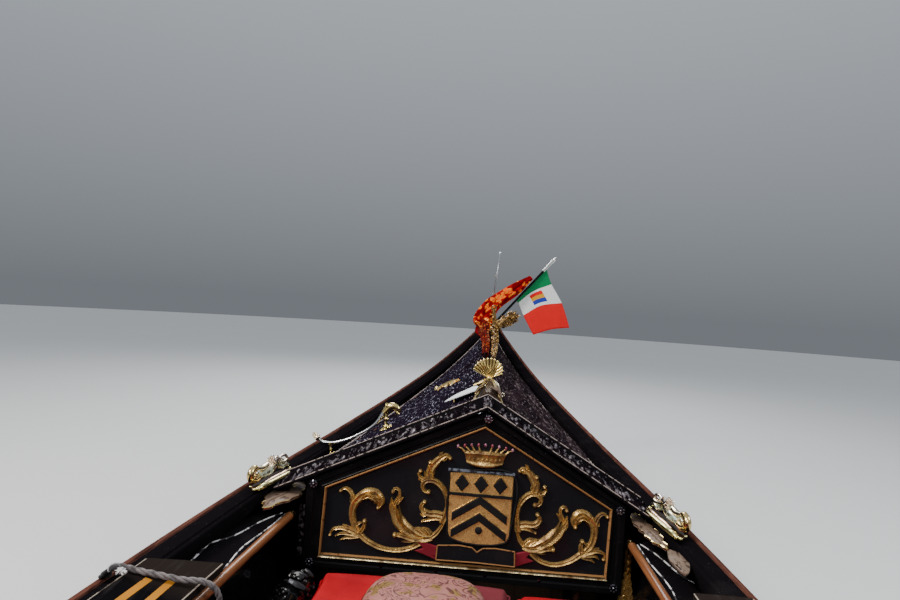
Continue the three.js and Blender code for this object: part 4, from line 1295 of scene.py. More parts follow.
@dataclass
class Hull:
    """Planking, bottom, gunwales, stem and stern post."""

    aft: float = -5250
    fore: float = 5200
    bottom_ends: Pair = (-4800, 4700)
    stations: int = 150
    strakes: int = 10
    # A plank seam: half its width as a share of the side's height, and its depth
    seam: float = 0.006
    groove: float = 1.3
    bottom_clear: float = 0.3
    post_thick: float = 46
    post_edge: float = 5
    # The bead on the gunwale: its radius, its share across from the outer face, its drop
    edge_bead: float = 8
    bead_at: Pair = (0.02, 3)
    # Gunwale section: share of its width from the outer face, drop below the sheer
    cap: tuple[Pair, ...] = ((0.0, 34), (0.0, 13), (0.03, 6), (0.1, 1.5), (0.23, 0), (0.5, -1.5), (0.74, 0),
                             (0.78, 4), (0.82, 4.5), (0.86, 0.5), (0.93, 0), (1.0, 4), (1.0, 34))
    # Posts: where they sit on the bottom, as the x of both ends, then their inner and outer edges
    bow_seat: Pair = (4703, 5199)
    bow_inner: tuple[Pair, ...] = ((5200.6, 762), (5200.6, 985))
    bow_outer: tuple[Pair, ...] = ((5262, 985), (5262, 940), (5246, 745), (5142, 585), (4985, 440),
                                   (4701, 312))
    stern_seat: Pair = (-4803, -5249)
    stern_inner: tuple[Pair, ...] = ((-5250.6, 1102), (-5250.6, 1500))
    stern_outer: tuple[Pair, ...] = ((-5320, 1500), (-5318, 1380), (-5300, 1085), (-5146, 830), (-4836, 545),
                                     (-4801, 552))

    def build(self) -> None:
        """Makes the hull's pieces."""
        self.bottom_plank()
        for side in Side:
            self.planking(side)
            self.gunwale(side)
        self.posts()

    def planking(self, side: Side) -> None:
        """One side's planks, each with its seam, as a closed shell."""
        steps = [(0.0, 0.0)]
        for i in range(self.strakes):
            low, high = i / self.strakes, (i + 1) / self.strakes
            steps += [(low + self.seam, 0.0), (high - self.seam, 0.0), (high, self.groove)]
        steps[-1] = (1.0, 0.0)
        rows = []
        for x in spread(self.aft, self.fore, self.stations):
            outer = [LINES.plank_point(x, side, up, groove) for up, groove in steps]
            inner = [LINES.plank_point(x, side, up, LINES.plank) for up in spread(1, 0, 8)]
            rows.append(outer + inner)
        Shape().loft(rows).piece(f"planking_{side.word}", [LACQUER], [f"side_{side.word}"], sharp=50)

    def gunwale(self, side: Side) -> None:
        """One gunwale with its moulded top and the worn brown bead along its outer edge."""
        xs = spread(self.aft, self.fore, self.stations)
        rows = [[LINES.gunwale_point(x, side, across, drop) for across, drop in self.cap] for x in xs]
        Shape().loft(rows).piece(f"gunwale_cap_{side.word}", [DULL_BLACK], [f"gunwale_{side.word}"], sharp=50)
        bead = [(*LINES.gunwale_point(x, side, *self.bead_at), self.edge_bead) for x in xs]
        Shape().bar(bead, self.stations, 8).piece(f"gunwale_bead_{side.word}", [WORN_EDGE])

    def bottom_plank(self) -> None:
        """The flat bottom, rockered from end to end."""
        clear, deep = self.bottom_clear, LINES.bottom
        section = ((-1, clear), (-1, deep), (0, deep), (1, deep), (1, clear), (0, clear))
        rows = []
        for x in spread(*self.bottom_ends, 90):
            h = LINES.at(x)
            rows.append([(x, h.centre + h.chine_half * t, h.chine - drop) for t, drop in section])
        Shape().loft(rows).piece("hull_bottom", [WARM_LACQUER], ["bottom_board"])

    def posts(self) -> None:
        """Stem and stern post, their outer edges rounded."""
        posts = (
            ("stem_post", "stem_bow", self.bow_seat, (*self.bow_inner, *self.bow_outer), self.fore),
            ("stern_head", "stern_post", self.stern_seat, (*self.stern_inner, *self.stern_outer), self.aft),
        )
        half = self.post_thick / 2
        for name, node, seat, edges, end in posts:
            keel = [(x, LINES.at(x).chine - 1) for x in spread(*seat, 9)]
            shape = Shape().plate([*keel, *edges], upright(LINES.at(end).centre), -half, half, self.post_edge)
            shape.piece(name, [LACQUER], [node])


@dataclass
class Irons:
    """The toothed bow iron and the curled band at the stern."""

    thick: float = 12
    lean: float = 5
    lean_about: float = 985
    bevel: float = 2.5
    teeth: int = 6
    tooth_top: float = 1212
    tooth_pitch: float = 57
    tooth_deep: float = 33
    tooth_round: float = 7
    # Fronds: the teeth that they follow, how far each of the three bends, then the rivets
    frond_after: tuple[int, ...] = (1, 2, 4)
    frond_bends: Vec = (-14, 0, 14)
    # Where a frond starts beside the teeth's root; then its middle and its tip, with their share of
    # the bend
    frond_root: float = -62
    frond_middle: Pair = (-20, 0.5)
    frond_tip: Pair = (30, 0.2)
    rivets: tuple[float, ...] = (800, 900, 1060, 1180, 1290)
    rivet_x: float = 5290
    rivet_size: Vec = (6, 3, 6)
    # Stern bands: their heights, the leaning edge that they follow, x and reach of a half, radius
    bands: tuple[float, ...] = (1200, 1290, 1380, 1465)
    band_foot: float = 1085
    band_lean: float = 0.04
    band: tuple[Pair, ...] = ((-5352, 15), (-5300, 29), (-5262, 30))
    band_radius: float = 4.5
    root: float = 5345
    tip: float = 5435
    foot: tuple[Pair, ...] = ((5266, 745), (5266, 1096))
    heel: tuple[Pair, ...] = ((5194, 1104), (5188, 1118), (5194, 1132))
    head: tuple[Pair, ...] = ((5262, 1140), (5258, 1240), (5262, 1330), (5285, 1420), (5330, 1470),
                              (5372, 1478), (5412, 1440), (5431, 1375), (5425, 1300), (5390, 1245),
                              (5345, 1226))
    tail: tuple[Pair, ...] = ((5330, 860), (5286, 742), (5190, 600), (5020, 440), (4985, 425))
    tail_back: tuple[Pair, ...] = ((5010, 449), (5080, 512), (5150, 584), (5225, 668))
    stern_foot: tuple[Pair, ...] = ((-5326, 1090), (-5344, 1380), (-5346, 1501), (-5254, 1501))
    stern_out: tuple[Pair, ...] = ((-5222, 1728), (-5300, 1742), (-5372, 1690), (-5392, 1600), (-5390, 1500),
                                   (-5380, 1380), (-5350, 1085))
    stern_in: tuple[Pair, ...] = ((-5254, 1518), (-5320, 1560), (-5330, 1640), (-5300, 1690), (-5240, 1700),
                                  (-5218, 1672), (-5200, 1680))

    def build(self) -> None:
        """Makes both irons and the fronds and rivets on them."""
        shape = Shape()
        shape.plate(self.blade(), self.lean_place, -self.thick / 2, self.thick / 2, self.bevel)
        shape.piece("ferro", [IRON], ["bow_iron"], sharp=32)
        self.fronds()
        self.stern()

    def lean_place(self, u: float, v: float, w: float) -> Vec:
        """Puts a point of the blade's outline in the boat, leaning with it."""
        angle = math.radians(self.lean)
        up = v - self.lean_about
        return (u, LINES.at(5200).centre + w * math.cos(angle) - up * math.sin(angle),
                self.lean_about + up * math.cos(angle) + w * math.sin(angle))

    def blade_face(self, side: Side) -> Place:
        """One face of the blade as a surface: x, z and the height above it."""
        sign, half = side.value, self.thick / 2
        return lambda u, v, w: self.lean_place(u, v, sign * (half + w))

    def blade(self) -> list[Pair]:
        """The bow iron's outline."""
        teeth: list[Pair] = []
        corner = self.tooth_round
        nose = self.tip - corner
        for i in range(self.teeth):
            top = self.tooth_top - i * self.tooth_pitch
            low = top - self.tooth_deep
            teeth += [(self.root, top), (self.tip - 6, top), *arc((nose, top - corner), corner, 60, 0, 3)]
            teeth += [*arc((nose, low + corner), corner, 0, -60, 3), (self.tip - 10, low), (self.root, low)]
        return [*self.foot, *self.heel, *route(self.head, 44), *teeth, *route(self.tail, 26),
                *route(self.tail_back, 8)]

    def fronds(self) -> None:
        """The three pierced brass fronds between the teeth and the rivets, on both faces."""
        shape = Shape()
        half = self.thick / 2
        for k in self.frond_after:
            z = self.tooth_top - k * self.tooth_pitch + (self.tooth_pitch - self.tooth_deep) / 2
            for side in Side:
                carver = Carver(shape, self.blade_face(side))
                for bend in self.frond_bends:
                    (aft, bent), (fore, straight) = self.frond_middle, self.frond_tip
                    path = ((self.root + self.frond_root, z), (self.root + aft, z + bend * bent),
                            (self.root + fore, z + bend * straight))
                    carver.stroke(Stroke(path, (3, 10, 2), 2.5))
        for z in self.rivets:
            for side in Side:
                shape.ball(self.lean_place(self.rivet_x, z, side.value * half), self.rivet_size, 10)
        shape.piece("ferro_fronds", [BRASS])

    def stern(self) -> None:
        """The stern's curled iron and the bands that hold it."""
        middle = LINES.at(-5250).centre
        outline = [*self.stern_foot, *route(self.stern_in, 24), *route(self.stern_out, 32)]
        shape = Shape().plate(outline, upright(middle), -self.thick, self.thick, 3)
        shape.piece("stern_curl", [IRON], ["stern_iron"])
        rings = Shape()
        (outer, reach), *inner = self.band
        for z in self.bands:
            half = [(outer - self.band_lean * (z - self.band_foot), reach), *inner]
            for sign in (-1, 1):
                rings.bar([(x, middle + sign * out, z, self.band_radius) for x, out in half], 10, 8)
        rings.piece("stern_bands", [IRON])


@dataclass
class Deck:
    """One ridged deck: its two slopes and the mouldings along its edges."""

    name: str
    # Stations: x, height of the ridge, depth of the edge below the sheer
    stations: tuple[Vec, ...]
    finishes: tuple[Finish, Finish]
    thick: float = 20
    crown: float = 7
    edge_clear: float = 3
    steps: int = 70
    # Mouldings: how far in from the edge, radius, finish number
    lines: tuple[tuple[float, float, int], ...] = ((10, 2.2, 0), (24, 1.6, 1))

    def __post_init__(self) -> None:
        """Reads the stations."""
        self.table = Curve(self.stations)

    @property
    def ends(self) -> Pair:
        """Where the deck starts and ends."""
        return self.stations[0][0], self.stations[-1][0]

    def edge(self, x: float, side: Side) -> Vec:
        """The slope's outer edge at x: its y, its height and the ridge's height."""
        h = LINES.at(x)
        ridge, drop = self.table.at(x)
        return (h.centre + side.value * (h.half - LINES.gunwale_wide - self.edge_clear), h.sheer - drop,
                ridge)

    def on(self, side: Side) -> Place:
        """The slope as a surface: x, share of the way from the ridge to the edge, height above it."""

        def place(x: float, share: float, lift: float) -> Vec:
            """Puts a point on the slope."""
            edge_y, edge_z, ridge = self.edge(x, side)
            z = ridge + (edge_z - ridge) * share + 4 * self.crown * share * (1 - share)
            run = Vector((abs(edge_y), edge_z - ridge)).normalized()
            return (x, edge_y * share - side.value * run.y * lift, z + run.x * lift)

        return place

    def across(self, side: Side) -> Place:
        """The same surface with the second coordinate in millimetres from the ridge."""
        place = self.on(side)

        def measured(x: float, distance: float, lift: float) -> Vec:
            """Puts a point on the slope."""
            edge_y, edge_z, ridge = self.edge(x, side)
            return place(x, distance / math.hypot(edge_y, edge_z - ridge), lift)

        return measured

    def top(self, x: float, y: float) -> float:
        """Height of the deck's top at x and y."""
        side = Side.PORT if y >= 0 else Side.STARBOARD
        share = y / self.edge(x, side)[0]
        return self.on(side)(x, share, 0)[2]

    def build(self) -> None:
        """Makes the slopes and mouldings."""
        for side, finish in zip(Side, self.finishes):
            place = self.on(side)
            rows = []
            for x in spread(*self.ends, self.steps):
                outer = [place(x, share, 0) for share in spread(0.001, 1, 12)]
                inner = [(px, y, z - self.thick) for px, y, z in reversed(outer)]
                rows.append(outer + inner)
            shape = Shape().loft(rows)
            shape.piece(f"{self.name}_slope_{side.word}", [finish], [f"{self.name}_{side.word}"], sharp=50)
            self.mouldings(side)

    def mouldings(self, side: Side) -> None:
        """Two thin mouldings beside the gunwale."""
        place = self.on(side)
        shape = Shape()
        low, high = self.ends
        for inward, radius, paint in self.lines:
            rows = []
            for x in spread(low + 6, high - 40, self.steps):
                width = abs(self.edge(x, side)[0])
                rows.append((*place(x, max(0.4, 1 - inward / max(width, inward * 2)), 1.2), radius))
            shape.bar(rows, self.steps, 8, paint)
        shape.piece(f"{self.name}_mouldings_{side.word}", [PALE_LINE, PALE_LINE])




FOREDECK = Deck(
    name="foredeck",
    stations=((2660, 800, 28), (3200, 815, 30), (3800, 835, 28), (4300, 862, 24), (4700, 893, 20),
              (5100, 932, 16)),
    finishes=(PUNCHED, CARVED_WARM),
)
AFTERDECK = Deck(
    name="afterdeck",
    stations=((-5100, 1302, 16), (-4800, 1160, 18), (-4400, 1040, 22), (-3900, 930, 26), (-3300, 822, 28),
              (-2600, 742, 28), (-2250, 710, 28)),
    finishes=(LACQUER, LACQUER),
)


def panel_place(face: float) -> Place:
    """A surface across the boat that looks aft: y, z, and how far it stands aft of face."""
    return lambda u, v, w: (face - w, u, v)


# Gilded scrolls to port of the shield, root first
SCROLLS = (
    # The long S: from the shield's foot, under the others and up into the outer leaf's curl
    Stroke(((94, 492), (114, 460), (146, 437), (190, 412), (237, 406), (280, 416), (318, 441), (336, 470),
            (341, 498), (336, 520), (320, 540), (297, 551), (276, 546), (265, 530), (272, 515)),
           (7, 11, 13, 11, 10, 11, 13, 15, 16, 20, 23, 10), 11, eye=6, lobes=0),
    # Crest of leaves on the long S's curl
    Stroke(((318, 536), (300, 546), (282, 540), (272, 524)), (7, 13, 12, 3), 16, lobes=3),
    # Leaf that leaves the long S for the outer upper corner
    Stroke(((337, 515), (342, 538), (352, 554), (366, 559), (375, 551)), (13, 11, 10, 8, 5), 9, eye=5,
           lobes=1),
    # Tail leaves in the lower corner
    Stroke(((322, 440), (345, 449), (371, 452), (393, 444), (397, 432)), (14, 13, 9, 7, 4), 9, eye=4.5),
    Stroke(((322, 438), (346, 439), (368, 438), (384, 430)), (12, 11, 7, 2), 8),
    Stroke(((318, 436), (338, 430), (358, 427), (370, 420)), (11, 9, 6, 2), 7),
    Stroke(((330, 444), (350, 457), (365, 462)), (8, 7, 2), 7),
    # Bud inside the long S
    Stroke(((316, 446), (307, 461), (306, 476)), (11, 10, 5), 10, eye=6.5),
    Stroke(((330, 462), (320, 470), (313, 471)), (9, 7, 3), 8),
    # The middle stem: a broad lobed leaf that ends in a small curl
    Stroke(((124, 447), (150, 444), (183, 458), (208, 476), (224, 498), (230, 519), (224, 538), (217, 553),
            (221, 567), (231, 569), (235, 560)), (13, 22, 24, 25, 28, 28, 19, 10, 8, 7, 6), 12, eye=5.5),
    Stroke(((214, 478), (231, 500), (240, 520), (241, 532)), (8, 11, 9, 2), 8),
    Stroke(((226, 512), (236, 530), (238, 544)), (8, 9, 2), 10),
    Stroke(((222, 530), (213, 542), (206, 548)), (9, 7, 2), 9),
    Stroke(((190, 462), (205, 484), (213, 506), (217, 526)), (3, 6, 6, 2), 15),
    Stroke(((180, 455), (199, 471), (217, 495), (224, 516)), (3, 6, 6, 2), 15),
    # The upper C beside the shield, curled over at its top
    Stroke(((100, 489), (92, 510), (89, 536), (94, 563), (110, 586), (131, 598), (150, 595), (158, 582),
            (152, 569), (141, 567)), (16, 15, 11, 11, 12, 13, 13, 12, 10, 8), 11, eye=6.5),
    # Its inner branch and the lobes beneath
    Stroke(((101, 508), (118, 511), (136, 510), (151, 516), (158, 529), (150, 540)),
           (16, 15, 14, 14, 11, 6), 10, eye=6),
    Stroke(((104, 500), (124, 499), (142, 493), (153, 489)), (11, 11, 8, 4), 8, eye=4),
    Stroke(((140, 512), (150, 505), (160, 508)), (9, 8, 2), 9),
    # The leaf that rises from the C, with its bud and side curl
    Stroke(((131, 596), (140, 612), (137, 630), (126, 646), (112, 660), (98, 667), (89, 660)),
           (11, 17, 19, 18, 15, 11, 6), 11, eye=5.5, lobes=2),
    Stroke(((138, 618), (143, 630), (141, 645)), (9, 9, 5), 11, eye=6),
    Stroke(((134, 600), (150, 600), (163, 603), (171, 611), (166, 620)), (11, 10, 9, 7, 4), 9, eye=5.5),
    Stroke(((150, 600), (162, 596), (170, 600)), (8, 6, 2), 8),
    # Small leaves by the ribbon
    Stroke(((140, 455), (160, 468), (178, 468)), (10, 9, 2), 9),
    Stroke(((128, 458), (142, 470), (154, 472)), (9, 8, 2), 8),
    Stroke(((146, 443), (178, 441), (205, 447), (223, 447)), (13, 14, 12, 7), 11, eye=7),
    Stroke(((160, 440), (185, 434), (205, 431)), (9, 8, 2), 8),
)


@dataclass
class CarvedEnd:
    """The pediment at the foredeck's end: verge, frame, gilded panel, shield, coronet and ribbon."""

    verge_aft: float = 2545
    verge_fore: float = 2655
    verge_rise: float = 20
    verge_thick: float = 6
    verge_line: tuple[Pair, ...] = ((555, 539), (0, 796), (-430, 547))
    # Verge: its section as share from aft to fore and height, how deep its leaves' ground lies, each
    # group's leaves as root, tip and width, the leaves at the apex, and the beads along its edges
    verge_section: tuple[Pair, ...] = ((0.0, -6), (0.0, -2), (0.02, 0), (0.07, 0), (0.1, -4), (0.89, -4),
                                       (0.92, 0), (0.97, 1), (1.0, -2), (1.0, -26))
    verge_sunk: float = 4.5
    verge_leaves: tuple[Vec, ...] = ((54, 20, 13), (54, 90, 13), (40, 62, 8))
    apex_leaves: Vec = (-9, 0, 9)
    apex_clear: float = 14
    # The rows of leaves: how many, how far from the verge's ends, how much they sway, and how far to
    # the side their middle and their tip lie; then an apex leaf's path, as share of its place and
    # distance along, and its widths
    verge_seed: int = 41
    leaf_rows: int = 46
    leaf_end: float = 10
    leaf_sway: float = 4
    leaf_away: Pair = (10, 21)
    apex_leaf: tuple[Pair, ...] = ((1, 96), (1.2, 60), (0.3, 14))
    apex_widths: Vec = (4, 14, 3)
    verge_beads: Pair = (0.04, 0.95)
    bead_radius: float = 1.7
    face: float = 2582
    board_face: float = 2560
    frame_out: tuple[Pair, ...] = ((469, 345), (469, 572), (0, 788), (-372, 572), (-372, 345))
    frame_in: tuple[Pair, ...] = ((424, 376), (417, 559), (2, 750), (-336, 562), (-331, 383))
    # Frame: its section as share from outside to inside and height
    frame_section: tuple[Pair, ...] = ((0.0, 0), (0.0, 26), (0.07, 30), (0.4, 30), (0.5, 27), (0.78, 26.5),
                                       (0.86, 29), (0.95, 28), (1.0, 24), (1.0, 0))
    # The gold lines: their section, the height under which the opening's foot lies, and how far
    # their edges lie inside the opening, with the finish number
    line_section: tuple[Pair, ...] = ((0, 20), (0, 30), (0.3, 32), (0.7, 31), (1, 28), (1, 20))
    foot_below: float = 400
    side_lines: tuple[tuple[float, float, int], ...] = ((-0.8, 4.6, 0),)
    foot_lines: tuple[tuple[float, float, int], ...] = ((-4.2, 1.0, 1), (4.9, 6.6, 0))
    studs: tuple[Pair, ...] = ((-5, 772), (448, 566), (-356, 563), (447, 360), (-350, 364))
    # Studs: profiles of the base and the heart, ring of balls about it; pins along the frame's foot
    stud: tuple[Pair, ...] = ((0, 12), (4, 12), (6.5, 9), (7, 0.1))
    stud_heart: tuple[Pair, ...] = ((0, 5), (3, 4.2), (4.5, 2.2), (5, 0.1))
    stud_balls: int = 7
    stud_ring: float = 8.5
    stud_ball: Vec = (4, 3.4, 3.4)
    pins: tuple[float, ...] = (-160, -20, 110, 255)
    pin_level: float = 363
    pin: tuple[Pair, ...] = ((0, 4.5), (2, 4), (3, 0.1))
    scroll_breadth: float = 1.3
    # Starboard scrolls: the line that they are mirrored about; breadth at the foot, what it gains
    # with height and where; what it loses far out and high up; how much they sink with height
    starboard_about: float = -8.9
    breadth_low: float = 0.77
    breadth_gain: float = 0.1
    gain_from: float = 430
    gain_over: float = 90
    breadth_loss: float = 0.045
    loss_from: Pair = (240, 470)
    loss_over: Pair = (60, 50)
    sink: float = 0.08
    # Shield: its middle, top and half-width, its foot from port of the middle to its point, its bar
    shield_middle: float = 4
    shield_top: float = 636
    shield_half: float = 84
    shield_foot: tuple[Pair, ...] = ((-82, 478), (-78.12, 459), (-50.4, 447), (0, 442))
    shield_bar: Pair = (568, 575)
    # Charges: lozenges by half-width, half-height, height and pitch; the feet of the chevrons, their
    # rise, their breadth and their reach; the boss
    lozenge: Pair = (19, 22)
    lozenge_level: float = 600
    lozenge_pitch: float = 50
    chevrons: Pair = (470, 514)
    chevron_rise: float = 34
    chevron_wide: float = 22
    chevron_reach: float = 72
    boss_level: float = 480
    # Coronet: its middle, foot and top, its section as share upwards and thickness, its points
    coronet_shift: float = -5
    coronet_levels: Pair = (652, 682)
    coronet_section: tuple[Pair, ...] = ((0, -6), (0, 4), (0.12, 7), (0.24, 3), (0.7, 3), (0.84, 7), (1, 5),
                                         (1, -6))
    coronet_swell: float = 9
    coronet_points: int = 9
    # Ribbon: its upper edge about the shield's middle, its low corners; then each red tail's side,
    # root and reach, and a tail's outline as root or share of the reach, and height
    ribbon_low: float = 398
    ribbon_top: tuple[Pair, ...] = ((104, 434), (48, 439), (14, 436), (0, 425), (-14, 436), (-48, 439),
                                    (-97, 435))
    ribbon_ends: Pair = (-99, 106)
    tails: tuple[Vec, ...] = ((1, 106, 58), (-1, 99, 48))
    tail: tuple[Pair, ...] = ((0, 428), (0.95, 441), (0.62, 420), (1, 412), (0.55, 404), (0, 393))

    def build(self) -> None:
        """Makes the pieces of the pediment."""
        self.verge()
        self.frame()
        self.board()
        self.scrolls()
        self.shield()
        self.coronet()
        self.ribbon()

    def on_verge(self, u: float, v: float, w: float) -> Vec:
        """The verge's top as a surface: distance along y, share from aft to fore, height above it."""
        (port_y, port_z), (_, apex), (star_y, star_z) = self.verge_line
        foot_y, foot_z = (port_y, port_z) if u >= 0 else (star_y, star_z)
        z = apex + (foot_z - apex) * u / foot_y
        run = Vector((abs(foot_y), foot_z - apex)).normalized()
        tilt = -run.y if u >= 0 else run.y
        x = self.verge_aft + (self.verge_fore - self.verge_aft) * v
        return (x, u + tilt * w * min(1.0, abs(u) / 12),
                z + self.verge_rise * v + self.verge_thick + run.x * w)

    def verge_foliage(self, shape: Shape) -> None:
        """The leaf band of the verge: groups of leaves that sway a little, and the leaves at its apex.

        Args:
            shape: The verge's shape.
        """
        (port_y, _), _, (star_y, _) = self.verge_line
        deep = self.verge_fore - self.verge_aft
        ground = Carver(shape, lambda u, v, w: self.on_verge(u, v / deep, w - self.verge_sunk), 2)
        rng = random.Random(self.verge_seed)
        middle, end = self.leaf_away
        for y in spread(port_y - self.leaf_end, star_y + self.leaf_end, self.leaf_rows):
            if abs(y) < self.apex_clear:
                continue
            away = 1 if y > 0 else -1
            for root, tip, wide in self.verge_leaves:
                sway = rng.uniform(-self.leaf_sway, self.leaf_sway)
                path = ((y, root), (y + away * (middle + sway), (root + tip) / 2),
                        (y + away * end, tip + sway))
                ground.stroke(Stroke(path, (3, wide, 2), 6.5))
        for y in self.apex_leaves:
            path = tuple((y * share, along) for share, along in self.apex_leaf)
            ground.stroke(Stroke(path, self.apex_widths, 8))

    def verge(self) -> None:
        """The arched verge with its leaf band between two worn edges."""
        (port_y, _), _, (star_y, _) = self.verge_line
        ys = [*spread(port_y, 1, 14), *spread(-1, star_y, 12)]
        shape = Shape().loft([[self.on_verge(y, v, w) for v, w in self.verge_section] for y in ys])
        self.verge_foliage(shape)
        shape.piece("verge_carving", [DULL_BLACK, DULL_BLACK, FLECKED], ["verge_arch"], sharp=30)
        beads = Shape()
        for share in self.verge_beads:
            for run in (spread(port_y, 0.5, 10), spread(-0.5, star_y, 10)):
                beads.bar([(*self.on_verge(y, share, 0.6), self.bead_radius) for y in run], 20, 8)
        beads.piece("verge_beads", [PALE_LINE])

    def frame(self) -> None:
        """The gloss frame, its inner gold line and its studs."""
        place = panel_place(self.face)
        rows = [[place(ou + (iu - ou) * t, ov + (iv - ov) * t, w) for t, w in self.frame_section]
                for (ou, ov), (iu, iv) in zip(self.frame_out, self.frame_in)]
        shape = Shape().grid(rows, ring=True, loop=True)
        shape.piece("panel_surround", [SATIN_BLACK], ["panel_frame"], sharp=20)
        self.gold_line()
        self.frame_studs()

    def frame_studs(self) -> None:
        """The studs at the frame's corners, each in a ring of balls, and the pins along its foot."""
        shape = Shape()
        aft, base, ring = (-1, 0, 0), self.face - 34, self.stud_ring
        for y, z in self.studs:
            shape.turned((base + 5, y, z), aft, self.stud, 6)
            shape.turned((base, y, z), aft, self.stud_heart, 10)
            for turn in spread(0, FULL_TURN, self.stud_balls + 1)[1:]:
                shape.ball((base, y + ring * math.cos(turn), z + ring * math.sin(turn)), self.stud_ball, 8)
        for y in self.pins:
            shape.turned((base + 6, y, self.pin_level), aft, self.pin, 10)
        shape.piece("frame_studs", [STUD], sharp=25)

    def gold_line(self) -> None:
        """The raised gold line along the frame's inner edge, brightest along the bottom."""
        place = panel_place(self.face)
        shape = Shape()
        line = list(self.frame_in)
        for i, (a, b) in enumerate(zip(line, line[1:] + line[:1])):
            ends = (i, (i + 1) % len(line))
            at_foot = max(a[1], b[1]) < self.foot_below
            for near, far, paint in self.foot_lines if at_foot else self.side_lines:
                edges = list(zip(inset(line, near), inset(line, far)))
                shape.loft([[place(ou + (iu - ou) * t, ov + (iv - ov) * t, w) for t, w in self.line_section]
                            for (ou, ov), (iu, iv) in (edges[k] for k in ends)], paint)
        shape.piece("panel_gold_line", [GOLD_LINE, GOLD_BRIGHT], sharp=30)

    def board(self) -> None:
        """The panel's black board."""
        shape = Shape().plate(inset(self.frame_in, 0.4), panel_place(self.face - 5), 0, 17)
        shape.piece("panel_ground", [PANEL_BLACK], ["panel_board"])

    def scrolls(self) -> None:
        """The gilded acanthus scrolls on both sides of the shield."""
        place = panel_place(self.board_face)
        for side in Side:
            shape = Shape()
            carver = Carver(shape, place, 0, self.scroll_breadth)
            for stroke in SCROLLS:
                carver.stroke(self.to_starboard(stroke) if side is Side.STARBOARD else stroke)
            shape.piece(f"panel_scrolls_{side.word}", [GOLD], sharp=60)

    def to_starboard(self, stroke: Stroke) -> Stroke:
        """The stroke on the narrower starboard half: mirrored, wider apart and lower with height."""
        about, (far, high) = self.starboard_about, self.loss_from
        path = []
        for u, v in stroke.path:
            breadth = self.breadth_low + self.breadth_gain * clamped((v - self.gain_from) / self.gain_over)
            lost = clamped((u - far) / self.loss_over[0]) * clamped((v - high) / self.loss_over[1])
            breadth -= self.breadth_loss * lost
            path.append((about - (u - about) * breadth, v - self.sink * max(0.0, v - self.gain_from)))
        return replace(stroke, path=tuple(path))

    def shield(self) -> None:
        """The gold shield with a plain chevron and lozenges in black."""
        place, face = panel_place(self.board_face), self.board_face
        middle, half, top = self.shield_middle, self.shield_half, self.shield_top
        foot = route([(middle + u, v) for u, v in self.shield_foot], 9)
        outline = [(middle + half, top - 8), (middle - half, top - 8), *foot]
        outline += [(2 * middle - u, v) for u, v in reversed(foot[:-1])]
        shape = Shape().plate(outline, place, -1, 9, 2.5, 0)
        rim = [(*place(u, v, 8), 2.6) for u, v in outline]
        shape.bar([*rim, rim[0]], 90, 8, 1)
        shape.box((face - 12, middle - half - 2, top - 6), (face, middle + half + 4, top - 2), 3)
        low, high = self.shield_bar
        shape.box((face - 12.5, middle - half, low), (face - 8, middle + half, high), 1)
        self.charges(shape)
        shape.ball((face - 9, middle, self.boss_level), (5, 10, 10), 14, 1)
        shape.piece("panel_arms", [GOLD_FIELD, INK, GOLD, SILVER_LINE], ["panel_shield"], sharp=30)

    def charges(self, shape: Shape) -> None:
        """The shield's lozenges and chevrons, each with a gold upper edge.

        Args:
            shape: The shield's shape.
        """
        place, middle = panel_place(self.board_face), self.shield_middle
        wide, tall = self.lozenge
        for k in (-1, 0, 1):
            u, v = middle + k * self.lozenge_pitch, self.lozenge_level
            shape.plate([(u, v - tall), (u + wide, v), (u, v + tall), (u - wide, v)], place, 8, 13, 2, 1)
            edge = [(u - wide, v + 1), (u, v + tall + 1), (u + wide, v + 1)]
            shape.bar([(*place(a, b, 11), 1.5) for a, b in edge], 8, 6, 2)
        near, far = middle - self.chevron_reach, middle + self.chevron_reach
        for base in self.chevrons:
            peak = base + self.chevron_rise
            top = peak + self.chevron_wide
            edge = ((near, base + 9), (middle, top + 1), (far, base + 9))
            shape.rods([place(u, v, 11) for u, v in edge], 1.5, 6, 2)
            chevron = [(middle, top), (near, base + 8), (near, base - 14), (middle, peak), (far, base - 14),
                       (far, base + 8)]
            shape.plate(chevron, place, 8, 12.5, 2, 1)

    def coronet(self) -> None:
        """The coronet over the shield: a jewelled band and nine pearls on their points."""
        place = panel_place(self.board_face)
        middle, (low, high) = self.shield_middle + self.coronet_shift, self.coronet_levels

        def swell(t: float) -> float:
            """How far the band stands out at the share t of its half-width."""
            return self.coronet_swell * math.cos(t * math.pi / 2)

        shape = Shape()
        rows = []
        for t in spread(-1, 1, 25):
            bow = 1 - t * t
            rows.append([
                place(middle + t * (46 + 9 * up), low + (high - low) * up - (7 - 12 * up) * bow, w + swell(t))
                for up, w in self.coronet_section
            ])
        shape.loft(rows)
        for i, t in enumerate(spread(-0.98, 0.98, self.coronet_points)):
            bow, out = 1 - t * t, 6 + swell(t)
            u, v = middle + t * 55, high + 5 * bow
            tip = (u + t * 18, v + 10 + 5 * bow)
            shape.bar([(*place(u, v, out), 3.6), (*place((u + tip[0]) / 2, v + 8, out), 2.2),
                       (*place(*tip, out), 1.8)], 6, 8)
            shape.ball(place(tip[0], tip[1] + 2, out), (3.4, 3.4, 5), 12, 1 + i % 2)
        for t in spread(-0.8, 0.8, self.coronet_points - 1):
            shape.ball(place(middle + t * 50, low + 14 - (1 - t * t), 4 + swell(t)), (3, 4, 4), 8)
        shape.piece("panel_coronet", [GOLD, PEARL_PINK, RUBY], sharp=40)

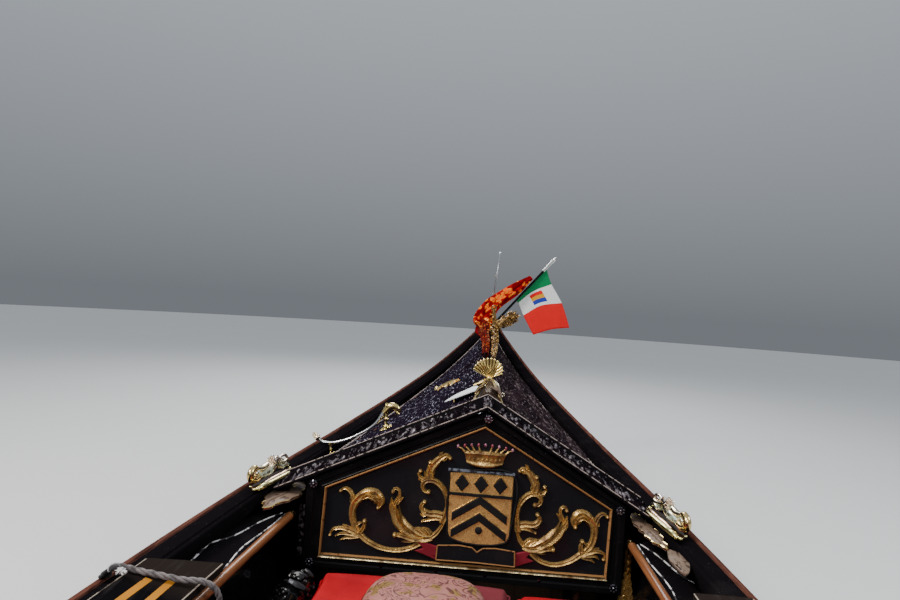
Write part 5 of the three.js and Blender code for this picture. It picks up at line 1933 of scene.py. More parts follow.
    def ribbon(self) -> None:
        """The bare black ribbon with its gold edge and folded red tails."""
        place = panel_place(self.board_face)
        middle, low = self.shield_middle, self.ribbon_low
        near, far = (middle + end for end in self.ribbon_ends)
        top = [(middle + u, v) for u, v in self.ribbon_top]
        shape = Shape().plate([*top, (near, low - 2), (far, low - 2)], place, 6, 14, 1.5, 0)
        edge = [*top, (near, low - 2), (middle, low), (far, low - 2), top[0]]
        shape.rods([place(u, v, 14) for u, v in edge], 1.7, 6, 1)
        for sign, root, reach in self.tails:
            tail = [(middle + sign * (root + reach * share), v) for share, v in self.tail]
            shape.plate(tail, place, 1, 9, 1.5, 2)
        shape.piece("panel_ribbon", [PANEL_BLACK, GOLD_LINE, RIBBON_RED], sharp=30)


@dataclass
class DeckCarving:
    """Leaf carving, metal leaves and the plate on the foredeck and beside the panel."""

    seed: int = 7
    low: float = 2680
    high: float = 4560
    # Foliage on each slope: the stems' places from ridge to edge, height of the carving
    lanes: dict[Side, tuple[tuple[float, ...], float]] = field(default_factory=lambda: {
        Side.PORT: ((0.16, 0.88), 3.2), Side.STARBOARD: ((0.2, 0.42, 0.64, 0.84), 6.0)})
    # The narrowest slope that carries a stem, the range of a leaf's length, the leaves' aft limit
    narrowest: float = 110
    leaf_reach: Pair = (60, 110)
    leaf_limit: float = 2672
    # Shoulder leaves: side, height, corners as x and y
    shoulders: tuple[tuple[Side, float, tuple[Pair, ...]], ...] = (
        (Side.PORT, 530, ((2560, 574), (2428, 537), (2485, 509), (2537, 484), (2628, 491), (2669, 518))),
        (Side.STARBOARD, 530,
         ((2628, -403), (2570, -392), (2453, -407), (2395, -429), (2486, -440), (2631, -422))),
        (Side.STARBOARD, 527, ((2405, -434), (2341, -422), (2273, -433), (2376, -459))),
    )
    # Ridge strip: its ends, half its width, its height, the pitch of its sections, its seat's lift
    strip: Pair = (2905, 4800)
    strip_half: float = 22
    strip_high: float = 14
    strip_pitch: float = 30
    strip_seat: float = 3
    # The house's metal edge: x, distance from the ridge, where the deck is measured, height, radius
    house_edge: tuple[tuple[float, ...], ...] = ((2666, 40, 40, 14, 4), (2770, 10, 1, 45, 5))
    # Ridge house: sections as x, half-width and height; its sprays from the ridge down each side,
    # as steps along and out, height above the ridge and radius; then how many, the first, the pitch
    house: tuple[Vec, ...] = ((2662, 44, 26), (2760, 42, 44), (2830, 40, 40), (2900, 26, 18))
    spray_starboard: tuple[tuple[float, ...], ...] = ((0, -6, 36, 3), (8, -24, 26, 7), (-12, -40, 12, 2))
    spray_port: tuple[tuple[float, ...], ...] = ((0, 10, 38, 2), (14, 26, 26, 4), (2, 38, 12, 2))
    sprays: int = 5
    spray_first: float = 2680
    spray_pitch: float = 20
    # Blank plate: corners on the slope and feet, as x and distance from the ridge
    plate: tuple[Pair, ...] = ((2852, 142), (2909, 108), (2934, 38), (2832, 11))
    plate_feet: tuple[Pair, ...] = ((2870, 41), (2872, 115))
    # Sprig: its stem, and its leaves by root and lean
    sprig: tuple[Pair, ...] = ((3498, 243), (3480, 190), (3440, 152), (3398, 130))
    sprig_leaves: tuple[Vec, ...] = ((3486, 214, 26), (3466, 176, 30), (3432, 148, 28))
    # Leaf strips beside the frame: side, y, foot, pitch of the leaves, how far it spreads at its foot
    frame_strips: tuple[tuple[Side, float, float, float, float], ...] = (
        (Side.PORT, 482, 340, 22, 0), (Side.STARBOARD, -390, 314, 19, 16))
    # The distance between the notches of a shoulder leaf, and their depth
    notch_every: float = 21
    notch_deep: float = 5.5
    # Leaves that lie lower than this have no golden rim
    golden_above: float = 528

    def build(self) -> None:
        """Makes the carving of both slopes and the pieces set on them."""
        for side in Side:
            self.foliage(side)
        self.ridge_strip()
        self.ridge_house()
        self.shoulder_leaves()
        self.blank_plate()
        self.gold_sprig()
        self.frame_leaves()

    def ridge_strip(self) -> None:
        """The carved strip on the foredeck's ridge, a row of overlapping leaves."""
        (low, far), half, high = self.strip, self.strip_half, self.strip_high
        steps = round((far - low) / self.strip_pitch)

        def seat(x: float) -> Pair:
            """Height of the strip's seat at x, and how far the deck falls across half the strip."""
            top = FOREDECK.top(x, 0.1)
            return top + self.strip_seat, top - FOREDECK.top(x, half)

        # Across the strip: share of its half-width, height above its seat
        section = ((-1, -2), (-1, high * 0.4), (-0.4, high * 0.8), (0, high), (0.4, high * 0.8),
                   (1, high * 0.4), (1, -2), (0, -2))
        rows = []
        for x in spread(low, far, steps):
            level, fall = seat(x)
            rows.append([(x, half * t, level + lift - fall * abs(t)) for t, lift in section])
        shape = Shape().loft(rows)

        def place(u: float, v: float, w: float) -> Vec:
            """Puts a point on the strip's top."""
            level, fall = seat(u)
            return (u, v, level + high * (1 - 0.6 * abs(v) / half) - fall * abs(v) / half + w)

        carver = Carver(shape, place, 1)
        for x in spread(low + 20, far - 40, steps * 2):
            for sign in (1, -1):
                path = ((x, sign * 1.5), (x - 12, sign * half * 0.5), (x - 34, sign * half * 0.86))
                carver.stroke(Stroke(path, (3, 10, 2), 3.5))
        shape.piece("foredeck_ridge_leaves", [CARVED, CARVED_WARM], ["foredeck_ridge"])

    def foliage(self, side: Side) -> None:
        """Long acanthus stems that wind along a slope with leaves on both sides.

        Args:
            side: Which slope.
        """
        rng = random.Random(self.seed + side.value)
        shape = Shape()
        warm = side is Side.STARBOARD
        carver = Carver(shape, FOREDECK.across(side))
        lanes, height = self.lanes[side]
        for lane in lanes:
            x = self.low
            phase = rng.uniform(0, FULL_TURN)
            while x < self.high:
                edge_y, edge_z, ridge = FOREDECK.edge(x, side)
                width = math.hypot(edge_y, edge_z - ridge)
                if width < self.narrowest:
                    break
                size = 0.16 * width
                middle = width * lane + math.sin(x / 120 + phase) * size * 0.5
                reach = rng.uniform(*self.leaf_reach) * (0.6 + 0.4 * width / 480)
                for sign in (1, -1):
                    bend = sign * size * rng.uniform(0.45, 0.75)
                    path = ((x, middle), (x - reach * 0.35, middle + bend), (x - reach, middle + bend * 1.25))
                    carver.paint = rng.choice((0, 0, 1))
                    if x - reach > self.leaf_limit:
                        carver.stroke(Stroke(path, (4, 0.09 * width * 0.42, 2), height))
                x += reach * 0.42
        shape.piece(f"foredeck_foliage_{side.word}",
                    [CARVED_WARM, CARVED_GREY] if warm else [PUNCHED, CARVED],
                    sharp=60)

    def ridge_house(self) -> None:
        """The small roof-shaped block that carries the shell, with its metal edges and leaves."""
        rows = []
        for x, half, high in self.house:
            seat, side = FOREDECK.top(x, 0.1), FOREDECK.top(x, half)
            rows.append([(x, -half, side + 1), (x, -half, side + 9), (x, -8, seat + high),
                         (x, 8, seat + high), (x, half, side + 9), (x, half, side + 1), (x, 0, seat - 3)])
        shape = Shape().loft(rows)
        for sign in (1, -1):
            edge = [(x, sign * y, FOREDECK.top(x, at) + up, radius)
                    for x, y, at, up, radius in self.house_edge]
            shape.bar(edge, 8, 8, 1)
        ridge = FOREDECK.top(2720, 0.1)
        for k in range(self.sprays):
            start = self.spray_first + self.spray_pitch * k
            for spray, paint in ((self.spray_starboard, 2), (self.spray_port, k % 2)):
                shape.bar([(start + on, y, ridge + up, r) for on, y, up, r in spray], 8, 8, paint, flat=0.5)
        shape.piece("ridge_house", [DARK_WOOD, BRASS, GILT_BRONZE], ["ridge_block"], sharp=35)

    def shoulder_leaves(self) -> None:
        """The flat gilt-bronze acanthus leaves on the side decks beside the frame's shoulders."""
        shapes = {side: Shape() for side in Side}
        for side, level, corners in self.shoulders:
            self.shoulder_leaf(shapes[side], level, corners)
        for side, shape in shapes.items():
            shape.piece(f"shoulder_leaf_{side.word}", [GILT_BRONZE, GOLD_BRASS], sharp=45)

    def shoulder_leaf(self, shape: Shape, level: float, corners: Sequence[Pair]) -> None:
        """One of them: smooth when it lies low, else notched and with a golden rim.

        Args:
            shape: The shape that grows.
            level: Its height.
            corners: Its corners as x and y.
        """
        golden = level > self.golden_above
        aft, fore = min(x for x, _ in corners), max(x for x, _ in corners)
        if not golden:
            corners = route([*corners, corners[0]], 19)[:-1]
        outline = []
        for (x0, y0), (x1, y1) in zip(corners, (*corners[1:], corners[0])):
            count = max(1, round(math.dist((x0, y0), (x1, y1)) / self.notch_every))
            for k in range(count):
                x, y = x0 + (x1 - x0) * k / count, y0 + (y1 - y0) * k / count
                deep = self.notch_deep * (k % 2) * (1.4 - (x - aft) / (fore - aft)) * golden
                out = Vector((y1 - y0, x0 - x1)).normalized() * deep
                outline.append((x + out.x, y + out.y))
        shape.plate(outline, lambda u, v, w: (u, v, level + w), -3, 4, 1.5)
        rim = [(x, y, level + 3.6, 0.9 + 1.9 * ((fore - x) / (fore - aft)) ** 3) for x, y in outline]
        shape.bar([*rim, rim[0]], 4 * len(rim), 6, int(golden))
        middle = [sum(c) / len(corners) for c in zip(*corners)]
        tip = (aft + 4, min(corners)[1])
        vein = ((middle[0], middle[1]), ((middle[0] + tip[0]) / 2, tip[1] + 4), tip)
        Carver(shape, lambda u, v, w: (u, v, level + (w + 3))).stroke(Stroke(vein, (2, 9, 2), 4, lobes=3))

    def blank_plate(self) -> None:
        """The white plate that lies on the port slope; it is blank."""
        surface = FOREDECK.across(Side.PORT)
        Shape().plate(self.plate, surface, 14, 18, 1).piece("blank_plate", [WHITE_PAINT])
        feet = Shape()
        for x, across in self.plate_feet:
            feet.turned(surface(x, across, -2), (0, 0.2, 1), ((0, 5), (17, 5)), 10)
        feet.piece("blank_plate_feet", [BRASS])

    def gold_sprig(self) -> None:
        """The small gilt sprig on the port slope."""
        shape = Shape()
        carver = Carver(shape, FOREDECK.across(Side.PORT))
        carver.stroke(Stroke(self.sprig, (5, 16, 14, 3), 12, lobes=4))
        for x, across, lean in self.sprig_leaves:
            path = ((x, across), (x - 14, across + lean * 0.6), (x - 34, across + lean))
            carver.stroke(Stroke(path, (5, 12, 2), 10))
        carver.dome((3500, 246), 11, 14)
        shape.piece("deck_sprig", [BRASS], sharp=45)

    def frame_leaves(self) -> None:
        """The upright leaf strips beside the frame; the starboard one is gilt and spreads at its foot."""
        for side, y, low, pitch, flare in self.frame_strips:
            shape = Shape()
            carver = Carver(shape, panel_place(2580))
            for k in range(7):
                z = low + pitch * k
                carver.paint = 0 if k < 4 else 1
                spreading = 1 + flare * 0.08 * max(0, 3 - k) / 3
                for lean in (1, -1):
                    tip = (y + (lean * 3 + side.value * 2) * spreading, z + 30)
                    path = ((y, z), (y + lean * 6 * spreading, z + 14), tip)
                    carver.stroke(Stroke(path, (3, 8 * spreading, 2), 7))
            narrow, high = 9 - flare / 8, low + 6.6 * pitch
            wide = narrow + flare / 2
            outline = [(y - wide, low + 6), (y + wide, low + 6), (y + narrow, low + 50), (y + narrow, high),
                       (y - narrow, high), (y - narrow, low + 50)]
            shape.plate(outline, panel_place(2582), 0, 4, 1)
            finishes = [FLECKED, FLECKED] if side is Side.PORT else [GOLD, DARK_GOLD]
            shape.piece(f"frame_leaf_strip_{side.word}", finishes, sharp=45)


@dataclass
class Lashing:
    """The free rope that ties the port board down."""

    # Its middle, from under the side deck round the rail to the knot on the gunwale
    path: tuple[Vec, ...] = (
        (2118, 551, 454), (2116, 541, 448.5), (2113, 530, 445), (2110, 518, 445.5), (2106, 506, 450),
        (2101, 496, 458.5), (2096, 490.5, 469), (2091, 488.5, 481), (2086, 490.5, 493), (2080, 496, 504),
        (2074, 504.5, 513), (2067, 515, 519.5), (2060, 527, 523), (2054, 540, 525.5), (2049, 556, 529),
        (2044, 574, 533.5), (2040, 594, 538), (2037, 612, 541.5), (2034, 628, 545.3), (2033, 641, 548.5),
        (2032.5, 647, 549.5), (2033, 653, 549.3), (2034, 659.5, 547.8), (2035, 665.5, 545),
        (2036.5, 670.3, 541.6), (2038, 673.8, 538))
    diameter: float = 12
    strands: int = 3
    twist: float = 55
    # Knot: the drops of its two loops; its lumps as steps from the rope's end, and their radii
    loops: Pair = (0, -6)
    lumps: tuple[tuple[Vec, Vec], ...] = (((1, 5, -8), (8, 8, 8)), ((-17, -17, 13), (9, 8, 6)))
    whipping: Vec = (2026, 659, 548)
    crumple: Vec = (2009, 634, 550)

    def build(self) -> None:
        """Makes the rope and its knot, and measures the cord along its path."""
        rope = self.rope().piece("board_lashing", [ROPE], ["lashing"])
        tied = self.knot().piece("lashing_knot_tied", [PALE_ROPE, DARK_ROPE], ["lashing_knot"])
        points = [tuple(c * MM for c in point) for point in self.path]
        length = sum(math.dist(a, b) for a, b in zip(points, points[1:]))
        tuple(points[0])

    def rope(self) -> Shape:
        """Three laid strands from under the side deck, round the rail and over the board."""
        line = route(self.path, 110)
        radius = self.diameter / 2
        strand = radius / (1 + 2 / math.sqrt(3))
        run = [0.0]
        for a, b in zip(line, line[1:]):
            run.append(run[-1] + math.dist(a, b))
        shape = Shape()
        for number in range(self.strands):
            rows = []
            for i, here in enumerate(line):
                along = heading(line, i)
                across = along.cross(Vector((1, 0, 0))).normalized()
                turn = FULL_TURN * (number / self.strands + run[i] / self.twist)
                spoke = across * math.cos(turn) + along.cross(across) * math.sin(turn)
                rows.append((*(Vector(here) + spoke * (radius - strand)), strand))
            shape.bar(rows, 200, 8)
        return shape

    def knot(self) -> Shape:
        """The knot, its pale whipping, open below, and the crumpled end of its cord."""
        x, y, z = self.path[-1]
        shape = Shape()
        for drop in self.loops:
            shape.bar([(x + 10.5 * math.cos(a), y + 3 - drop * 0.8 + 8 * math.sin(a),
                        z + drop - 6 * math.sin(a), 3.6)
                       for a in spread(0, FULL_TURN, 13)], 36, 8, 1)
        for (on, out, up), radii in self.lumps:
            shape.ball((x + on, y + out, z + up), radii, 12, 1)
        x, y, z = self.whipping
        shape.bar([(x - 6.4 * math.cos(a), y + 6 * math.cos(a), z + 8.4 * math.sin(a), 2.3)
                   for a in spread(-0.5, 3.5, 14)], 30, 8, 0)
        rng = random.Random(3)
        for _ in range(16):
            start, end = ([rng.uniform(-9, 9), rng.uniform(-12, 12), rng.uniform(-4, 5)] for _ in range(2))
            fold = [(*start, 1.4), (0, 0, rng.uniform(0, 7), 3.4), (*end, 1.2)]
            shape.bar(moved(fold, self.crumple), 8, 6, 0, flat=0.5)
        return shape


@dataclass
class SideDecks:
    """The cockpit's side decks, the boards on them, the brown inner rails and the lashing."""

    # Rail: x, height, y to port, y to starboard
    rail: tuple[tuple[float, float, float, float], ...] = (
        (250, 404, 600, -450), (1200, 424, 575, -430), (2050, 478, 522, -396), (2540, 485, 499, -384))
    rail_radius: float = 10.5
    # Ferrules: profile, and where they sit between the two at the ends
    ferrule: tuple[Pair, ...] = ((0, 10.9), (3, 12), (9, 12), (15, 12), (18, 10.9))
    ferrules: Pair = (900, 1500)
    edge_drop: float = 40
    thick: float = 18
    board_aft: float = 420
    # Fore ends of a side's board: x at the rail, x at its outer edge; then how far it keeps off the
    # rail and off the hull's side
    board_fore: tuple[Pair, Pair] = ((2167, 2084), (2196, 2129))
    board_gaps: tuple[Pair, Pair] = ((0, 52), (33, 34))
    board_thick: float = 16
    # The board's bright edges: their share across it, and their radius
    bright_edges: tuple[Pair, ...] = ((0.006, 1.5), (0.994, 1.2))
    # Mouldings of the sunk deck: points x and y on the port side
    mouldings: tuple[tuple[Pair, ...], ...] = (
        ((2183, 603), (2292, 604), (2400, 626), (2491, 640), (2552, 627)),
        ((2183, 598), (2295, 601), (2339, 574), (2460, 538), (2530, 512)),
        ((2040, 529), (2112, 528), (2182, 519), (2302, 525), (2434, 509), (2530, 503)),
    )
    # Stripes on the port board: the fore and the aft end of each
    stripes: tuple[tuple[Pair, Pair], ...] = (((2036, 597.5), (1720, 632)), ((2053, 563.5), (1720, 582)))
    stripe_wide: float = 13

    def __post_init__(self) -> None:
        """Reads the rail's table."""
        self.rail_line = Curve(self.rail)

    def rail_at(self, x: float, side: Side) -> Pair:
        """The rail's y and height at x."""
        z, port, starboard = self.rail_line.at(x)
        return (port if side is Side.PORT else starboard, z)

    def build(self) -> None:
        """Makes both sides."""
        for side, fore in zip(Side, self.board_fore):
            self.deck(side)
            self.board(side, fore)
            self.rail_bar(side)
        self.board_stripes()

    def deck_place(self, side: Side) -> Place:
        """The sunk deck as a surface: x, share from the rail to the hull, height above it."""

        def place(x: float, share: float, lift: float) -> Vec:
            """Puts a point on the deck."""
            rail_y, rail_z = self.rail_at(x, side)
            edge_z = LINES.at(x).sheer - self.edge_drop
            inner = rail_y + side.value * (self.rail_radius + 1)
            outer = LINES.inside(x, side, edge_z - self.thick, 3)
            z = rail_z + (edge_z - rail_z) * share - 5 * share * (1 - share)
            return (x, inner + (outer - inner) * share, z + lift)

        return place

    def deck(self, side: Side) -> None:
        """The sunk deck between rail and gunwale, with its curved mouldings."""
        place = self.deck_place(side)
        rows = []
        for x in spread(self.rail[0][0], self.rail[-1][0], 60):
            top = [place(x, t, 0) for t in spread(0, 1, 7)]
            rows.append(top + [(px, y, z - self.thick) for px, y, z in reversed(top)])
        shape = Shape().loft(rows)
        for line in self.mouldings:
            rows = []
            for x, y in route(line, 24):
                near, far = place(x, 0, 0)[1], place(x, 1, 0)[1]
                share = (y - self.rail_at(x, Side.PORT)[0]) / (abs(far - near) + self.rail_radius)
                rows.append((*place(x, clamped(share, 0.02, 0.96), 0.8), 1.8))
            shape.bar(rows, 48, 8, 1)
        finishes = [DULL_BLACK, FLECKED_LINE]
        shape.piece(f"side_deck_sheet_{side.word}", finishes, [f"side_deck_{side.word}"], sharp=40)

    def board_surface(self, side: Side) -> Place:
        """The board's top as a surface: x, share from the rail to the outer edge, height above it."""

        def place(x: float, share: float, lift: float) -> Vec:
            """Puts a point on the board."""
            h = LINES.at(x)
            rail_y, rail_z = self.rail_at(x, side)
            on_rail = rail_z + self.rail_radius + 3
            inner_edge = h.centre + side.value * (h.half - LINES.gunwale_wide)
            gap, inset_by = self.board_gaps[list(Side).index(side)]
            outer_edge = h.centre + side.value * (h.half - inset_by)
            tilt = (h.sheer + 3 - on_rail) / (inner_edge - rail_y)
            start = rail_y + side.value * gap
            y = start + (outer_edge - start) * share
            return (x, y, on_rail + tilt * (y - rail_y) + self.board_thick + lift)

        return place

    def board(self, side: Side, fore: Pair) -> None:
        """The flat board: worn black, with pale thin bars along both edges.

        Args:
            side: Which side.
            fore: Where its fore end is, at the rail and at its outer edge.
        """
        def along(t: float, share: float) -> float:
            """X of a point that lies at the share t of the board's length."""
            return self.board_aft + (fore[0] + (fore[1] - fore[0]) * share - self.board_aft) * t

        place, foot = self.board_surface(side), -self.board_thick
        section = ((0, foot), (0, -2.5), (0.012, 0), (0.5, 0), (0.988, 0), (1, -2.5), (1, foot), (0.5, foot))
        rows = [[place(along(t, share), share, lift) for share, lift in section] for t in spread(0, 1, 50)]
        shape = Shape().loft(rows)
        shape.piece(f"side_board_sheet_{side.word}", [WORN_BLACK], [f"side_board_{side.word}"], sharp=35)
        edges = Shape()
        for share, radius in self.bright_edges:
            edges.bar([(*place(along(t, share), share, -0.5), radius) for t in spread(0.003, 0.998, 20)],
                      50, 6)
        edges.piece(f"side_board_edges_{side.word}", [BRIGHT_EDGE])

    def rail_bar(self, side: Side) -> None:
        """The round brown rail with turned brass ferrules."""
        aft, fore = self.rail[0][0], self.rail[-1][0]
        line = [(x, *self.rail_at(x, side), self.rail_radius) for x in spread(aft, fore, 14)]
        shape = Shape().bar(line, 90, 16)
        for x in (aft + 6, *self.ferrules, fore - 10):
            shape.turned((x - 9, *self.rail_at(x, side)), (1, 0, 0), self.ferrule, 20, 1)
        shape.piece(f"inner_rail_{side.word}", [RAIL_VARNISH, BRASS], [f"rail_{side.word}"], sharp=50)

    def board_stripes(self) -> None:
        """The two yellow stripes on the port board."""
        place, half = self.board_surface(Side.PORT), self.stripe_wide / 2
        shape = Shape()
        for (fore, fore_y), (aft, aft_y) in self.stripes:
            rows = []
            for t in spread(0, 1, 16):
                x, y = fore + (aft - fore) * t, fore_y + (aft_y - fore_y) * t
                inner, outer = place(x, 0, 0)[1], place(x, 1, 0)[1]
                low, high = ((y + out - inner) / (outer - inner) for out in (-half, half))
                rows.append([place(x, *corner)
                             for corner in ((low, -1), (low, 0.7), (high, 0.7), (high, -1))])
            shape.loft(rows)
        shape.piece("board_stripes", [YELLOW_PAINT])


SIDE_DECKS = SideDecks()


@dataclass
class BrassWork:
    """The brass that stands on the decks: sea horses, hand rail and shell."""

    horses: tuple[tuple[Side, float], ...] = ((Side.PORT, 2595), (Side.STARBOARD, 2520))
    # A sea horse's single bars: finish number, then rows of along, outward, up, radius
    spine: tuple[tuple[int, tuple[tuple[float, float, float, float], ...]], ...] = (
        (3, ((-46, 0, 9, 9), (-64, 0, 5, 9.5), (-84, 0, 7, 9.5), (-97, 0, 15, 9), (-98, 0, 27, 9),
             (-88, 0, 36, 8.5), (-74, 0, 37, 7), (-66, 0, 31, 5))),
        (2, ((-74, 0, 36, 3), (-58, 0, 31, 6), (-38, 0, 27, 8), (-14, 0, 30, 7))),
        (0, ((-56, 0, 9, 9), (-28, 0, 10, 13), (2, 0, 14, 14), (18, 0, 22, 13), (28, 0, 29, 10))),
        (1, ((16, 0, 26, 10), (30, 0, 33, 9.5), (44, 0, 32, 8.5), (58, 0, 25, 6.5), (66, 0, 17, 4.5))),
        (1, ((54, 0, 33, 4), (74, 0, 35, 4.5), (94, 0, 30, 4.5), (104, 0, 18, 4), (96, 0, 8, 3.5))),
    )
    # Its paired bars, mirrored about its middle
    limbs: tuple[tuple[int, tuple[tuple[float, float, float, float], ...]], ...] = (
        (0, ((30, 7, 18, 8), (52, 11, 9, 7), (72, 11, 11, 5.5), (90, 9, 5, 5), (106, 5, 2, 3))),
        (2, ((38, 6, 24, 6), (60, 10, 20, 4.5), (84, 9, 21, 4), (98, 5, 14, 2.5))),
        (1, ((32, 5, 40, 3), (28, 7, 45, 2.4), (25, 8, 47, 0.8))),
    )
    # Mane: the spikes of its outer layer, how far each layer reaches, and how wide and tall it fans
    mane: int = 9
    mane_reach: Pair = (1.0, 0.72)
    mane_fan: Pair = (13, 22)
    eye_at: Vec = (46, 8, 35)
    eye: Vec = (2.6, 2, 2.6)
    # Tray: how far it lies in and down from the horse, half its outline, its bars by finish number
    # and rows of along, outward, up, radius, and its balls by along, outward, radius, finish number
    tray_lift: float = 8
    tray_shift: Pair = (13, 7)
    tray_half: tuple[Pair, ...] = ((-105, 0), (-96, 12), (-70, 18), (0, 21), (70, 19), (90, 12), (99, 0))
    tray_bars: tuple[tuple[int, tuple[tuple[float, float, float, float], ...]], ...] = (
        (1, ((-112, -13, -1, 3), (-104, -15, 1, 6), (-60, -18, 1, 6), (0, -21, 1, 6), (56, -22, 1, 5),
             (76, -20, 0, 3))),
        (2, ((-60, -7, 1, 4), (-30, -9, 2, 6.5), (20, -10, 2, 6.5), (70, -8, 1, 5), (84, -6, 0, 2))),
        (3, ((56, -22, 0, 2.4), (90, -26, -3, 2.2), (130, -30, -4, 2), (170, -31, -5, 1.8),
             (224, -32, -5, 1.2))),
        (3, ((122, -30, -4, 2), (132, -24, -4, 2), (144, -24, -4, 2), (150, -30, -4, 2), (144, -36, -4, 2),
             (132, -36, -4, 2), (122, -30, -4, 2))),
    )
    tray_balls: tuple[tuple[float, float, float, int], ...] = (
        (-108, -14, 7, 1), (-116, -8, 5, 1), (96, 0, 6, 1), (-96, 12, 4, 1), (88, -13, 5, 2))
    handrail_x: float = 2940
    # Hand rail: y, z, radius
    rod: tuple[Vec, ...] = ((552, 594, 5), (542, 586, 4.2), (515, 583, 4.2), (458, 597, 4.2), (409, 622, 4.2),
                            (360, 660, 5), (340, 690, 7), (328, 708, 9))
    # Tulip at its outboard end: foot, axis, profile of the cup; its petals by out, along, radius
    tulip: Pair = (548, 590)
    tulip_axis: Vec = (0, 0.75, 0.66)
    cup: tuple[Pair, ...] = ((0, 4), (3, 8), (8, 10.5), (13, 10), (16, 7), (10, 4), (9, 0.1))
    petals: int = 6
    petal: tuple[Vec, ...] = ((0, 3, 3), (6, 10, 4), (7, 22, 3.2), (4, 34, 0.8))
    # Beast's head at its inboard end: y, z, radius; ears and jaws also say how far they stand out
    head: tuple[Vec, ...] = ((337, 694, 9), (326, 708, 12), (314, 718, 13), (300, 716, 11), (288, 706, 8),
                             (284, 700, 4))
    ears: tuple[tuple[float, ...], ...] = ((6, 324, 712, 3), (10, 330, 720, 3), (9, 332, 728, 0.8))
    jaws: tuple[tuple[float, ...], ...] = ((4, 296, 704, 4), (5, 288, 695, 3), (3, 286, 699, 1))
    # Posts: y and height of the top; profile at the foot, then above it as share of the height
    posts: tuple[Pair, ...] = ((511, 583), (328, 706))
    post_foot: tuple[Pair, ...] = ((0, 15), (3, 15), (5, 11), (8, 7), (11, 9.5), (14, 6))
    post_shaft: tuple[Pair, ...] = ((0.4, 4.5), (0.55, 9), (0.68, 4.5), (0.8, 6.5), (1.0, 4))
    post_balls: int = 8
    # Shell: its hub; its ribs, by share of the reach and radius, and the angles of the first and last
    hub: Vec = (2794, -1, 850)
    ribs: int = 13
    rib: tuple[Pair, ...] = ((0.08, 1.4), (0.35, 2.2), (0.65, 3.0), (0.97, 4.0))
    fan_from: float = 28
    fan_to: float = 156
    # Below the hub: the arm to port; how many leaves and curls lie to starboard
    arm: tuple[tuple[float, ...], ...] = ((-8, 46, -24, 3.5), (-6, 20, -12, 4.5), (-4, 2, -4, 3.5))
    leaves: int = 5
    curls: int = 3

    def build(self) -> None:
        """Makes the brass pieces."""
        for side, x in self.horses:
            self.horse(side, x)
        self.handrail()
        self.shell()

    def horse(self, side: Side, x: float) -> None:
        """A sea horse with a curled tail on a scrolled tray.

        Args:
            side: Which gunwale.
            x: Its middle.
        """
        h, fore, aft = LINES.at(x), LINES.at(x + 90), LINES.at(x - 90)
        lean = (fore.half - aft.half + fore.centre * side.value - aft.centre * side.value) / 180
        foot = max(LINES.at(x - 100).sheer, LINES.at(x + 100).sheer) + 1
        shape = Shape()

        def spot(along: float, out: float, up: float) -> Vec:
            """Puts a point of the horse in the boat, turned with the gunwale."""
            return (x + along, h.centre + side.value * (h.half - 34 + out + lean * along),
                    foot + self.tray_lift + up)

        def bar(rows: Sequence[Sequence[float]], steps: int, **kind: float) -> None:
            """Adds a bar given by along, outward, up, radius."""
            shape.bar([(*spot(a, o, u), r) for a, o, u, r in rows], steps, **kind)

        for paint, rows in self.spine:
            bar(rows, len(rows) * 7, sides=12, paint=paint)
        shape.ball(spot(-70, 0, 20), (10, 7, 8), 12, 0)
        for paint, rows in self.limbs:
            for sign in (-1, 1):
                bar([(a, o * sign, u, r) for a, o, u, r in rows], 14, sides=8, paint=paint)
        for rows in self.mane_spikes():
            bar(rows, 8, sides=8, paint=1, flat=0.7)
        along, out, up = self.eye_at
        for sign in (-1, 1):
            shape.ball(spot(along, out * sign, up), self.eye, 8, 1)
        finishes = [GREEN_BRASS, PALE_BRASS, CREAM_GOLD, BRASS]
        shape.piece(f"sea_horse_figure_{side.word}", finishes, [f"sea_horse_{side.word}"], sharp=70)
        inward, down = self.tray_shift
        self.tray(side, lambda along, out, up: spot(along, out - inward, up - down))

    def mane_spikes(self) -> list[tuple[tuple[float, ...], ...]]:
        """The mane's spikes, each as rows of along, outward, up, radius."""
        wide, tall = self.mane_fan
        spikes = []
        for layer, reach in enumerate(self.mane_reach):
            for fan in spread(-1, 1, self.mane - 2 * layer):
                out, up = wide * fan, tall * math.sqrt(1.25 - fan * fan)
                root = (18 - 9 * layer - 4 * abs(fan), 5 * fan, 25 - 4 * layer, 6)
                tip = (root[0] - 12 * reach, out, root[2] + up * reach, 0.8)
                spikes.append((root, ((root[0] + tip[0]) / 2 + 3, out * 0.7, (root[2] + tip[2]) / 2, 4.6),
                               tip))
        return spikes

    def tray(self, side: Side, spot: Place) -> None:
        """The dark tray under a sea horse, with two bright bars and a looped tail.

        Args:
            side: Which gunwale.
            spot: Puts a point of the horse in the boat.
        """
        half = route(self.tray_half, 22)
        shape = Shape().plate(half + [(u, -v) for u, v in reversed(half[1:-1])], spot, -8, -1, 1.5)
        for paint, rows in self.tray_bars:
            shape.bar([(*spot(a, o, u), r) for a, o, u, r in rows], 30, 10, paint)
        for u, v, r, paint in self.tray_balls:
            shape.ball(spot(u, v, 0), (r, r, r * 0.8), 10, paint)
        shape.piece(f"sea_horse_tray_{side.word}", [DARK_BRONZE, GREENISH_GOLD, RED_CREAM, PALE_LINE],
                    sharp=50)

